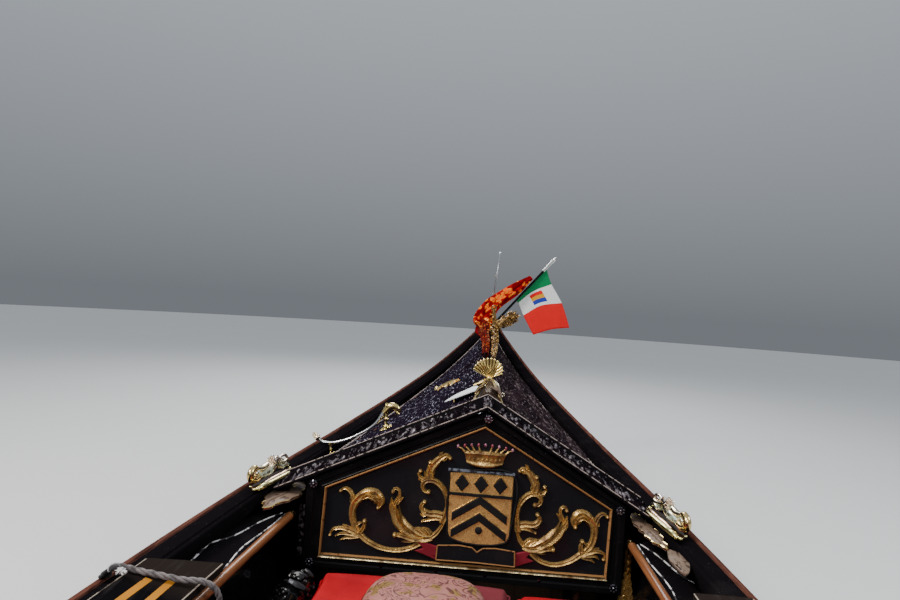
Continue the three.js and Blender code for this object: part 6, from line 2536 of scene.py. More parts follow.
    def handrail(self) -> None:
        """The bright rod on its two posts, with a beast's head inboard and a tulip outboard."""
        x = self.handrail_x
        shape = Shape().bar([(x, y, z, r) for y, z, r in self.rod], 60, 12)
        self.flower(shape)
        shape.bar([(x, y, z, r) for y, z, r in self.head], 20, 12, 1)
        for sign in (-1, 1):
            shape.ball((x + sign * 9, 308, 722), (3.2, 3.2, 3.2), 8, 1)
            for rows in (self.ears, self.jaws):
                shape.bar([(x + sign * out, y, z, r) for out, y, z, r in rows], 8, 8, 1)
        for y, z in self.posts:
            foot = FOREDECK.top(x, y)
            tall = z - foot
            shaft = [(tall * share, radius) for share, radius in self.post_shaft]
            shape.turned((x, y, foot), (0, 0, 1), [*self.post_foot, *shaft], 16, 1)
            for cos, sin in compass(self.post_balls):
                near = (x + 15 * cos, y + 15 * sin)
                shape.ball((*near, FOREDECK.top(*near) + 4), (6, 6, 4.5), 8, 1)
        shape.piece("handrail_brass", [SILVERED, GOLD_BRASS, CREAM_GOLD], ["deck_handrail"], sharp=50)

    def flower(self, shape: Shape) -> None:
        """The tulip at the rod's outboard end.

        Args:
            shape: The hand rail's shape.
        """
        x, (y, z) = self.handrail_x, self.tulip
        shape.turned((x, y, z), self.tulip_axis, self.cup, 14, 2)
        _, outward, upward = self.tulip_axis
        for cos, sin in compass(self.petals):
            rows = [(x + out * cos, y - 1 + rise * 0.72 - out * upward * sin,
                     z - 1 + rise * upward + out * outward * sin, r) for out, rise, r in self.petal]
            shape.bar(rows, 9, 8, 2, flat=0.6)

    def shell(self) -> None:
        """The ribbed brass shell on the ridge, on its pillar between leaves."""
        x, y, z = self.hub
        shape = Shape()
        fan = []
        for turn in spread(self.fan_from, self.fan_to, self.ribs):
            a = math.radians(turn)
            reach = 60 - (20 if turn > 90 else 6) * ((turn - 90) / 64) ** 2
            line = [(x + 6 - 22 * t * (1 - t) - 6 * t, y + reach * t * math.cos(a),
                     z + reach * t * math.sin(a))
                    for t, _ in self.rib]
            fan.append(line)
            shape.bar([(*point, r) for point, (_, r) in zip(line, self.rib)], 10, 8)
            shape.ball(line[-1], (4.2, 4.6, 4.6), 8)
        fronts = [[(px + 2, py, pz) for px, py, pz in line] for line in fan]
        backs = [[(px + 6, py, pz) for px, py, pz in line] for line in reversed(fan)]
        shape.grid(fronts + backs, 1, ring=True, loop=True)
        shape.bar([(px + 3, py, pz - 3, 5) for px, py, pz in (line[-1] for line in fan[:5])], 12, 8, 1)
        shape.ball((x - 2, y, z), (7, 8, 7), 12)
        down = FOREDECK.top(x, y) - z
        pillar = ((2, 2, -2, 6), (2, 2, -18, 7.5), (2, 2, down - 2, 9))
        shape.bar(moved(pillar, self.hub), 10, 10, 2, fluted=0.2)
        shape.bar(moved(self.arm, self.hub), 12, 8)
        self.shell_leaves(shape)
        shape.piece("ridge_shell", [GOLD_BRASS, DARK_BRONZE, DARK_GOLD, CREAM_GOLD], ["deck_shell"], sharp=50)

    def shell_leaves(self, shape: Shape) -> None:
        """The leaves and small curls to starboard, under the shell.

        Args:
            shape: The shell's shape.
        """
        for k in range(self.leaves):
            out = 8 + 5 * k
            leaf = ((-4, -out * 0.45, -3, 2.5), (-8, -out * 0.9, -14, 4.6), (-9, -out - 5, -30, 3.6),
                    (-8, -out - 9, -39, 1))
            shape.bar(moved(leaf, self.hub), 12, 8, 3, flat=0.6)
        for k in range(self.curls):
            curl = [(-9, 5 * math.cos(t) - 24 - 9 * k, 5 * math.sin(t) - 42 - 2 * k, 2)
                    for t in spread(0.6, 5.4, 9)]
            shape.bar(moved(curl, self.hub), 20, 8, 3)


@dataclass
class BowDress:
    """Flagstaff, the furled damask banner, the gilt carving beside it and the flag."""

    foot: Vec = (4870, 10, 926)
    head: Vec = (4990, -405, 1425)
    finial: tuple[Pair, ...] = ((0, 9), (4, 13), (9, 13), (12, 8), (17, 11), (24, 12), (30, 7), (38, 5),
                                (46, 2), (50, 0.1))
    collar: tuple[Pair, ...] = ((0, 20), (8, 20), (14, 14), (30, 13), (34, 10))
    # Banner: x, y, z, half-width
    banner: tuple[tuple[float, ...], ...] = (
        (3600, 20, 856, 15), (3900, 22, 872, 18), (4200, 24, 890, 22), (4450, 34, 910, 31),
        (4640, 46, 936, 46), (4770, 54, 962, 58), (4835, 44, 1002, 60), (4868, 0, 1072, 54),
        (4892, -80, 1140, 46), (4912, -165, 1206, 37), (4930, -244, 1277, 17))
    # How far it wraps round the bundle, in radians, and its main folds in a full turn
    wrap: float = 5.8
    folds: int = 6
    banner_flat: tuple[float, float] = (0.42, 1.6)
    banner_area: float = 0.45
    # Gilt horn: x, y, z, radius
    horn: tuple[tuple[float, ...], ...] = (
        (4552, -12, 911, 12), (4566, -22, 940, 20), (4584, -52, 968, 29), (4600, -94, 992, 34),
        (4612, -134, 1016, 30), (4618, -152, 1026, 15))
    # Gilt garland on the ridge's starboard side: x, y, z, half-width
    garland: tuple[tuple[float, ...], ...] = (
        (3560, -16, 851, 10), (3800, -20, 862, 14), (4100, -24, 880, 17), (4350, -26, 900, 20),
        (4520, -24, 922, 22), (4590, -22, 962, 24), (4620, -16, 1010, 20), (4640, -12, 1058, 12))
    # Flag: for each line across it, y and z at the lower, middle and upper end
    lines: tuple[tuple[Pair, Pair, Pair], ...] = (
        ((-148, 1116), (-246, 1236), (-342, 1350)),
        ((-168, 1108), (-262, 1190), (-382, 1247)),
        ((-210, 1024), (-318, 1094), (-460, 1121)),
        ((-280, 904), (-402, 946), (-522, 964)),
    )
    # The banded patch in the white: its ends along the fly, the edges of its middle band, its top and foot
    patch: Pair = (0.4, 0.6)
    patch_band: Pair = (0.46, 0.54)
    patch_high: Pair = (0.34, 0.68)
    cloth_thick: float = 1.2
    flag_flat: tuple[float, float] = (0.305, 0.43)
    flag_area: float = 0.105

    def build(self) -> None:
        """Makes the pieces at the bow."""
        self.staff()
        self.furled()
        self.gilt()
        self.flag()

    def on_staff(self, share: float) -> Vector:
        """A point of the staff."""
        return Vector(self.foot).lerp(Vector(self.head), share)

    def staff(self) -> None:
        """The staff, painted black below as painted shade and silvered above, with its collar and finial."""
        shape = Shape()
        # Painted shade: black up to eight tenths of its length, silvered only above
        shape.bar([(*self.on_staff(s), 8) for s in spread(-0.06, 0.8, 6)], 30, 12, 2)
        shape.bar([(*self.on_staff(s), 9.5) for s in spread(0.8, 0.95, 3)], 8, 12)
        axis = tuple(Vector(self.head) - Vector(self.foot))
        shape.turned(tuple(self.on_staff(0.93)), axis, self.finial, 14)
        shape.turned(tuple(self.on_staff(-0.02)), axis, self.collar, 16, 1)
        shape.piece("staff_rod", [SILVERED, BRASS, SATIN_BLACK], ["flagstaff"])

    def furled(self) -> None:
        """The banner, gathered in deep folds round the staff's foot and spilling along the ridge."""
        steps, across = 150, 110
        path = route(self.banner, steps)
        rng = random.Random(5)
        phases = [rng.uniform(0, FULL_TURN) for _ in range(4)]
        rows = []
        up = Vector((0, 0, 1))
        for i, (x, y, z, radius) in enumerate(path):
            share = i / (steps - 1)
            along = heading(path, i)
            up = (up - along * up.dot(along)).normalized()
            other = along.cross(up)
            row = []
            for k in range(across):
                turn = self.wrap * k / (across - 1) - self.wrap / 2 + 1.1 * share
                spoke = up * math.cos(turn) + other * math.sin(turn)
                row.append(tuple(Vector((x, y, z)) + spoke * (radius * self.gathered(turn, share, phases))))
            rows.append(row)
        shape = Shape().grid(rows, stripes=lambda r, i: 0 if 9 < i < across - 11 else 1)
        banner = shape.piece("banner_cloth", [DAMASK, CRIMSON_BAND], ["banner"], sharp=80)

    def gathered(self, turn: float, share: float, phases: Sequence[float]) -> float:
        """How far out the gathered cloth lies.

        Args:
            turn: Where round the bundle.
            share: Where along it, from 0 to 1.
            phases: Where the folds start.

        Returns:
            The share of the bundle's radius.
        """
        fold = math.sin(self.folds * turn + phases[0] + 7 * share + math.sin(19 * share)) * 0.24
        fold += math.sin(3 * turn + phases[1] - 6 * share) * 0.12
        fold += math.sin(13 * turn + phases[2] + 16 * share) * 0.05 + math.sin(31 * share + 2 * turn) * 0.05
        return 0.76 + fold

    def gilt(self) -> None:
        """The gilded garland along the ridge and the flowered horn beside the banner."""
        garland = Shape()
        garland.bar([(x, y, z, r * 0.62) for x, y, z, r in self.garland], 70, 10, fluted=0.2)
        garland.leafy(self.garland, 74, 17, 1.1)
        x, y, z, _ = self.garland[-1]
        curl = [(x, y + 13 * math.cos(t), z + 6 + 13 * math.sin(t), 4.5) for t in spread(0, FULL_TURN, 12)]
        garland.bar(curl, 26, 8)
        garland.piece("gilt_garland", [DARK_GOLD, GOLD], sharp=60)
        horn = Shape()
        horn.bar([(x, y, z, r * 0.8) for x, y, z, r in self.horn], 36, 14, fluted=0.16)
        horn.leafy(self.horn, 34, 23, 1.16)
        horn.piece("flowered_horn", [DARK_GOLD, GOLD], ["gilt_horn"], sharp=60)

    def flag(self) -> None:
        """The flag of three stripes, caught at the staff and hanging in soft waves."""
        fly, hoist = 42, 30
        lines = [route(line, hoist) for line in self.lines]
        rows = []
        for i in range(hoist):
            down = i / (hoist - 1)
            line = Curve([(k, *points[i]) for k, points in enumerate(lines)])
            row = []
            for t in spread(0, 3, fly):
                wave = 16 * math.sin(1.4 * t + 2.6 * down) + 5 * math.sin(4.5 * down + 2.2 * t)
                row.append((4924 + 60 * down + 12 * t + wave * min(1.0, t), *line.at(t)))
            rows.append(row)

        def stripes(r: int, i: int) -> int:
            """Finish number of one face of the cloth."""
            return self.dye((i + 0.5) / (fly - 1), (r + 0.5) / (hoist - 1))

        cloth = Shape().grid(rows, stripes=stripes)
        dyes = [FLAG_GREEN, FLAG_WHITE, FLAG_RED, FLAG_BLUE, FLAG_GOLD]
        flag = cloth.piece("flag_cloth", dyes, ["ensign"], sharp=80)
        flag.modifiers.new("cloth thickness", "SOLIDIFY").thickness = self.cloth_thick * MM

    def dye(self, share: float, down: float) -> int:
        """Finish number at a place of the flag: green, white and red, and the patch in the white.

        Args:
            share: From 0 at the staff to 1 at the fly end.
            down: From 0 at the top to 1 at the foot.

        Returns:
            The finish number.
        """
        if share < 1 / 3:
            return 0
        if share > 2 / 3:
            return 2
        if self.patch[0] < share < self.patch[1] and self.patch_high[0] < down < self.patch_high[1]:
            return 2 if share < self.patch_band[0] else 4 if share < self.patch_band[1] else 3
        return 1


@dataclass(frozen=True)
class Pad:
    """A cushion sewn from two panels, swelled by its filling."""

    name: str
    node: str
    low: Vec
    high: Vec
    finish: Finish
    crown: float = 0.32
    waist: float = 0.03
    fill: float = 0.7
    cap: float = 10
    piping: float = 3.4
    tufts: tuple[Pair, ...] = ()
    tuft_wide: float = 42
    tuft_deep: float = 22
    every: float = 11
    round: float = 0.0
    seam: float = 0.47
    trim: Finish | None = None
    # How far in the cloth's rim lies past the piping; the least number of faces along a side; how
    # much of the height the upper and the lower panel are sewn to, before they are filled
    rim_in: float = 4
    fewest: int = 12
    sewn_high: Pair = (0.8, 0.95)

    def build(self) -> None:
        """Makes the cushion, lets it swell and sews on its piping."""
        shape, seam = self.sewn()
        obj = shape.piece(self.name, [self.finish, self.trim or self.finish], [self.node], sharp=85)
        swell_by_cloth(obj, self.cap * MM)
        self.press(obj)
        self.pipe(obj, seam)
        smooth = obj.modifiers.new("smooth cloth", "SUBSURF")
        smooth.levels = smooth.render_levels = 1

    def sewn(self) -> tuple[Shape, list[int]]:
        """Sews the upper and the lower panel together along their rim.

        Returns:
            The closed shape, and its rim's points in order.
        """
        middle = [(a + b) / 2 for a, b in zip(self.low, self.high)]
        half = [(b - a) / 2 for a, b in zip(self.low, self.high)]
        nu, nv = (max(self.fewest, round(2 * h / self.every)) for h in half[:2])
        reach = [h - self.piping - self.rim_in for h in half[:2]]
        above, below = self.sewn_high
        shape = Shape()
        index: dict[tuple[int, int, int], int] = {}
        for i, u in enumerate(spread(-1, 1, nu + 1)):
            for j, v in enumerate(spread(-1, 1, nv + 1)):
                rim = i in (0, nu) or j in (0, nv)
                swell = ((1 - u ** 4) * (1 - v ** 4)) ** self.crown
                x = middle[0] + reach[0] * self.drawn_in(u, v)
                y = middle[1] + reach[1] * self.drawn_in(v, u)
                for face in (1,) if rim else (1, -1):
                    index[i, j, face] = len(shape.points)
                    rise = 2 * half[2] * ((1 - self.seam) * above if face > 0 else self.seam * below) * swell
                    shape.points.append((x, y, self.low[2] + 2 * half[2] * self.seam + face * rise))
                if rim:
                    index[i, j, -1] = index[i, j, 1]
        for i in range(nu):
            for j in range(nv):
                for face in (1, -1):
                    places = ((i, j), (i + 1, j), (i + 1, j + 1), (i, j + 1))
                    corners = [index[a, b, face] for a, b in places]
                    shape.face(corners if face > 0 else reversed(corners))
        seam = [index[i, 0, 1] for i in range(nu)] + [index[nu, j, 1] for j in range(nv)]
        seam += [index[i, nv, 1] for i in range(nu, 0, -1)] + [index[0, j, 1] for j in range(nv, 0, -1)]
        return shape, seam

    def drawn_in(self, u: float, v: float) -> float:
        """One coordinate of the rim, from -1 to 1, drawn in at the waist and rounded at the corners."""
        return u * (1 - self.waist * (1 - v * v)) * (1 - self.round * (1 - math.sqrt(1 - v * v / 2)))

    def press(self, obj: bpy.types.Object) -> None:
        """Presses in the tufts and keeps the cushion on its seat and in its space."""
        rooms = [(self.piping + 1) * MM] * 2 + [0]
        low, high = [c * MM for c in self.low], [c * MM for c in self.high]
        for vertex in obj.data.vertices:
            for axis, room in enumerate(rooms):
                vertex.co[axis] = min(max(vertex.co[axis], low[axis] + room), high[axis] - room)
            for x, y in self.tufts:
                near = math.hypot(vertex.co.x - x * MM, vertex.co.y - y * MM) / (self.tuft_wide * MM)
                if vertex.co.z > (low[2] + high[2]) / 2:
                    vertex.co.z -= self.tuft_deep * MM * math.exp(-near * near * 2.2)

    def pipe(self, obj: bpy.types.Object, seam: list[int]) -> None:
        """Adds the piping along the seam to the cushion's mesh.

        Args:
            obj: The cushion.
            seam: Its rim's points in order.
        """
        path = [obj.data.vertices[i].co / MM for i in seam]
        rows = [(*(path[k % len(path)]), self.piping) for k in range(0, len(path) + 2, 2)]
        cord = Shape().bar(rows, len(rows) * 2, 8)
        work = bmesh.new()
        work.from_mesh(obj.data)
        points = [work.verts.new([c * MM for c in point]) for point in cord.points]
        for corners in cord.faces:
            face = work.faces.new([points[k] for k in corners])
            face.smooth, face.material_index = True, 1
        work.to_mesh(obj.data)
        work.free()


# Cushion cloth: stiff enough to keep its outline, and the pressure of its filling
CUSHION_CLOTH = {
    "quality": 4, "mass": 0.25, "tension_stiffness": 12, "compression_stiffness": 9,
    "bending_stiffness": 0.35,
    "use_pressure": True, "uniform_pressure_force": 3.5,
}
CLOTH_FRAMES = 20


def swell_by_cloth(obj: bpy.types.Object, cap: float) -> None:
    """Swells a closed mesh as cloth under pressure, and keeps the result.

    Args:
        obj: The mesh object.
        cap: The farthest that a point may move, in metres.
    """
    scene = bpy.context.scene
    start = [vertex.co.copy() for vertex in obj.data.vertices]
    cloth = obj.modifiers.new("swell", "CLOTH")
    for key, value in CUSHION_CLOTH.items():
        setattr(cloth.settings, key, value)
    cloth.settings.effector_weights.gravity = 0
    cloth.point_cache.frame_start, cloth.point_cache.frame_end = 1, CLOTH_FRAMES
    for number in range(1, CLOTH_FRAMES + 1):
        scene.frame_set(number)
    done = obj.evaluated_get(bpy.context.evaluated_depsgraph_get()).to_mesh()
    for vertex, moved_to, before in zip(obj.data.vertices, [v.co.copy() for v in done.vertices], start):
        shift = moved_to - before
        if shift.length > cap:
            shift *= cap / shift.length
        vertex.co = before + shift
    obj.modifiers.remove(cloth)
    scene.frame_set(1)


@dataclass
class Seats:
    """Bench before the panel, the main seat with its carved back, and the two stools."""

    bench_low: Vec = (2130, -340, 180)
    bench_high: Vec = (2520, 452, 290)
    # Panels on the fronts of bench and main seat: a panel's width, their pitch, the first one's start
    panel_wide: float = 226
    bench_panels: Pair = (252, 30)
    seat_panels: Pair = (262, 60)
    # How far a panel's line lies from the floor and from the top; how many panels the main seat has
    panel_in: Pair = (50, 28)
    seat_panel_count: int = 3
    # Main seat: its foot above the bottom's edge, its gap to the hull, and its edges
    seat_foot: float = 94
    seat_clear: float = 40
    seat_aft: float = -330
    seat_fore: float = 290
    seat_ys: Pair = (-360, 520)
    seat_top: float = 130
    back_foot: float = 134
    back_thick: float = 42
    # Back: share of the half width, how far forward it bends, height of its top
    back: tuple[Vec, ...] = ((0, 0, 800), (0.1, 1, 792), (0.2, 4, 764), (0.3, 9, 706), (0.38, 18, 684),
                             (0.47, 28, 690), (0.55, 42, 672), (0.65, 66, 630), (0.75, 100, 610),
                             (0.83, 140, 568), (0.9, 190, 520), (0.96, 256, 470), (1, 320, 430))
    # The back's section as height and how far forward; its gilt leaves: first place, pitch, fall
    back_section: tuple[Pair, ...] = ((0, 3), (0, 28), (0.5, 28), (0.97, 28), (0.985, 42), (1, 38), (1, 4),
                                      (0.985, 0), (0.5, 2), (0.2, 2))
    back_leaves: Vec = (40, 62, 6)
    back_leaf_count: int = 5
    # A gilt leaf of the back: its path as steps to the side and down from the highest leaf's tip
    back_leaf: tuple[Pair, ...] = ((0, 90), (26, 50), (10, 8))
    back_leaf_high: float = 320
    back_leaf_widths: Vec = (5, 18, 3)
    # The scale of the leaves' places on the back; where its beads lie, as share of its height and
    # their distance from its face, and their radius
    back_scale: float = 400
    back_bead: Vec = (0.965, 8, 5)
    back_beads: int = 90
    back_end: float = 0.985
    # Satin: its ends as share of the half-width, its foot and top, how far it bulges and dimples
    satin_end: float = 0.93
    satin_high: Pair = (0.03, 0.93)
    satin_bulge: float = 14
    satin_dimple: float = 3
    stool_x: Pair = (760, 1120)
    stool_wide: float = 300
    stool_top: float = 190
    stool_y: tuple[float, float] = (236, -400)
    # Bench arms: side, y, size, y of its foot's faces; then x, z, radius along an arm
    arms: tuple[tuple[Side, float, float, Pair], ...] = (
        (Side.PORT, 443, 1.0, (424, 450)), (Side.STARBOARD, -335, 0.76, (-339, -318)))
    arm: tuple[Vec, ...] = ((2474, 353, 15), (2440, 358, 31), (2300, 360, 37), (2190, 352, 37),
                            (2146, 339, 25))

    def build(self) -> None:
        """Makes the seats and cushions."""
        self.bench()
        self.bench_arms()
        self.main_seat()
        self.main_back()
        self.back_satin()
        self.stools()
        for pad in self.pads():
            pad.build()

    def pads(self) -> list[Pad]:
        """The cushions."""
        aft, fore = self.seat_aft, self.seat_fore
        low_y, high_y = self.seat_ys
        top = self.seat_top
        pads = [
            Pad("bench_cushion", "bench_pad", (2120, -92, 292), (2492, 398, 394), SHADOWED_SATIN, crown=0.1,
                waist=0.0, fill=0.75, seam=0.6, tufts=((2230, 300), (2430, 120))),
            Pad("bench_side_cushion", "bench_pad_narrow", (2120, -302, 292), (2500, -97, 380), SATIN,
                crown=0.2, waist=0.0, fill=0.75, seam=0.6),
            Pad("brocade_pillow", "brocade_cushion", (2123, -34, 396), (2370, 252, 473), BROCADE, crown=0.6,
                waist=0.0, fill=0.9, cap=8, every=7, round=0.7, seam=0.3, trim=DEEP_SATIN),
            Pad("main_cushion", "seat_cushion", (aft + 135, low_y + 70, top + 2),
                (fore + 15, high_y - 70, top + 130), SATIN, crown=0.25, waist=0.02, fill=0.8,
                tufts=tuple((x, y) for x in (-60, 140) for y in (-120, 80, 280))),
        ]
        for side, y in zip(Side, self.stool_y):
            low = (self.stool_x[0] + 6, y + 6, self.stool_top + 2)
            high = (self.stool_x[1] - 6, y + self.stool_wide - 6, self.stool_top + 82)
            middle = ((low[0] + high[0]) / 2, (low[1] + high[1]) / 2)
            pads.append(Pad(f"stool_cushion_{side.word}", f"stool_pad_{side.word}", low, high, SATIN,
                            crown=0.28, tufts=(middle,)))
        return pads

    def bench(self) -> None:
        """The bench: a panelled front board, a seat, two legs and two worn mouldings."""
        (x0, y0, z0), (x1, y1, z1) = self.bench_low, self.bench_high
        foot = LINES.at(x1).chine + 84
        shape = Shape().box((x0, y0, z1 - 20), (x1, y1, z1))
        shape.box((x0 + 2, y0 + 3, z0), (x0 + 20, y1 - 3, z1 - 18))
        for y in (y0 + 50, y1 - 76):
            shape.box((x0 + 30, y, foot), (x1 - 20, y + 26, z1 - 18))
        pitch, first = self.bench_panels
        for k in range(3):
            y = y0 + first + pitch * k
            shape.box((x0 - 4, y, z0 + 16), (x0 + 4, y + self.panel_wide, z1 - 30))
        for z, radius in ((z1 - 10, 6), (z0 + 6, 5)):
            shape.bar([(x0 - 1, y0 + 4, z, radius), (x0 - 1, y1 - 4, z, radius)], 4, 8, 1)
        shape.piece("bench_frame", [LACQUER, WORN_EDGE], ["fore_bench"], ease=2.5)

    def bench_arms(self) -> None:
        """The bench's two carved arms, thick with leaves."""
        for side, y, size, (low, high) in self.arms:
            rows = [(x, y - side.value * 14, z, r * size) for x, z, r in self.arm]
            shape = Shape().bar([(x, y, z, r * 0.84) for x, y, z, r in rows], 40, 16, fluted=0.08)
            shape.box((2210, low, 290.5), (2420, high, 340))
            shape.leafy(rows, 60, 31, 0.97, 0.4)
            shape.piece(f"bench_arm_{side.word}_carved", [LACQUER, SILVER_GLINTS], [f"bench_arm_{side.word}"],
                        sharp=60)

    def main_seat(self) -> None:
        """The main seat's base, panelled on its front with a gilt moulding."""
        aft, fore, top = self.seat_aft, self.seat_fore, self.seat_top
        y0, y1 = self.seat_ys
        floor_at, clear = LINES.at(0).chine + self.seat_foot, self.seat_clear
        heights = spread(floor_at, top, 6)
        rows = []
        for x in spread(aft, fore, 10):
            starboard = [(x, max(y0, LINES.inside(x, Side.STARBOARD, z, clear)), z) for z in heights]
            port = [(x, min(y1, LINES.inside(x, Side.PORT, z, clear)), z) for z in reversed(heights)]
            rows.append(port + starboard)
        shape = Shape().loft(rows)
        pitch, first = self.seat_panels
        foot, head = floor_at + self.panel_in[0], top - self.panel_in[1]
        for k in range(self.seat_panel_count):
            low = y0 + first + k * pitch
            high = low + self.panel_wide
            panel = ((low, foot), (high, foot), (high, head), (low, head), (low, foot))
            shape.rods([(fore + 2, y, z) for y, z in panel], 4, 8, 1)
        shape.piece("main_seat_base", [LACQUER, GOLD_LINE], ["seat_base"], ease=3)

    def back_point(self, share: float, up: float, out: float) -> Vec:
        """A point of the seat's back.

        Args:
            share: From -1 at its starboard end to 1 at its port end.
            up: From 0 at its foot to 1 at its top.
            out: How far forward of its aft face.

        Returns:
            The point.
        """
        bend, top = Curve(self.back).at(abs(share))
        low, high = self.seat_ys
        half = (high - low) / 2 + 28
        foot = self.back_foot
        return (self.seat_aft - 60 + bend + out, (low + high) / 2 + share * half, foot + (top - foot) * up)

    def main_back(self) -> None:
        """The seat's curved back: a scalloped black board with a gilt beaded edge and gilt leaves."""
        thick, end = self.back_thick, self.back_end
        rows = [[self.back_point(share, up, out) for up, out in self.back_section]
                for share in spread(-1, 1, 81)]
        shape = Shape().loft(rows)
        up, sunk, radius = self.back_bead
        for share in spread(-end, end, self.back_beads):
            shape.ball(self.back_point(share, up, thick - sunk), (radius, radius, radius), 8, 1)
        crest = [(*self.back_point(share, 1.0, thick / 2), 7 if abs(share) < 0.96 else 4)
                 for share in spread(-end, end, 60)]
        shape.bar([(x, y, z - 5, r) for x, y, z, r in crest], 160, 8, 1, flat=0.6)
        scale = self.back_scale
        carver = Carver(shape, lambda u, v, w: self.back_point(u / scale, v / scale, -w), 1)
        first, pitch, fall = self.back_leaves
        for sign in (1, -1):
            for k in range(self.back_leaf_count):
                u, v = sign * (first + pitch * k), self.back_leaf_high - fall * k
                path = tuple((u + sign * on, v - down) for on, down in self.back_leaf)
                carver.stroke(Stroke(path, self.back_leaf_widths, 6, lobes=2))
        shape.piece("main_seat_back", [LACQUER, GOLD], ["seat_back"], sharp=50)

    def back_satin(self) -> None:
        """The padded satin on the front of the main seat's back."""
        seat, end = self.back_thick - 16, self.satin_end
        rows = []
        for share in spread(-end, end, 60):
            rim = min(1.0, (end - abs(share)) * 9)
            bulge = [self.satin_bulge * math.sqrt(max(0.0, 1 - t ** 4)) * rim for t in spread(-1, 1, 12)]
            dimple = self.satin_dimple * math.cos(share * 26) ** 2
            front = [self.back_point(share, up, seat + out - dimple * (0.2 < up < 0.8))
                     for up, out in zip(spread(*self.satin_high, 12), bulge)]
            rows.append(front + [self.back_point(share, up, seat - 4) for up in reversed(self.satin_high)])
        upholstery = Shape().loft(rows).piece("seat_back_satin", [SATIN], sharp=70)

    def stools(self) -> None:
        """The two stools: boxes that follow the hull's side, with worn mouldings."""
        (x0, x1), top, wide = self.stool_x, self.stool_top, self.stool_wide
        floor_at = LINES.at(x1).chine + 90
        for side, y in zip(Side, self.stool_y):
            rows = []
            for x in spread(x0, x1, 6):
                low, high = (self.stool_ends(x, side, y, z) for z in (floor_at, top))
                rows.append([(x, low[0], floor_at), (x, low[1], floor_at), (x, high[1], top),
                             (x, high[0], top)])
            shape = Shape().loft(rows)
            for x in (x1 + 1, x0 - 1):
                shape.bar([(x, y + 14, top - 8, 5), (x, y + wide - 14, top - 8, 5)], 3, 8, 1)
            shape.piece(f"stool_box_{side.word}", [LACQUER, WORN_EDGE], [f"stool_{side.word}"], ease=3)

    def stool_ends(self, x: float, side: Side, y: float, z: float) -> Pair:
        """Y of a stool's inner and outer face at x and height z, from its lowest y."""
        wall = LINES.inside(x, side, z, 6)
        if side is Side.PORT:
            return y, min(y + self.stool_wide, wall)
        return y + self.stool_wide, max(y, wall)


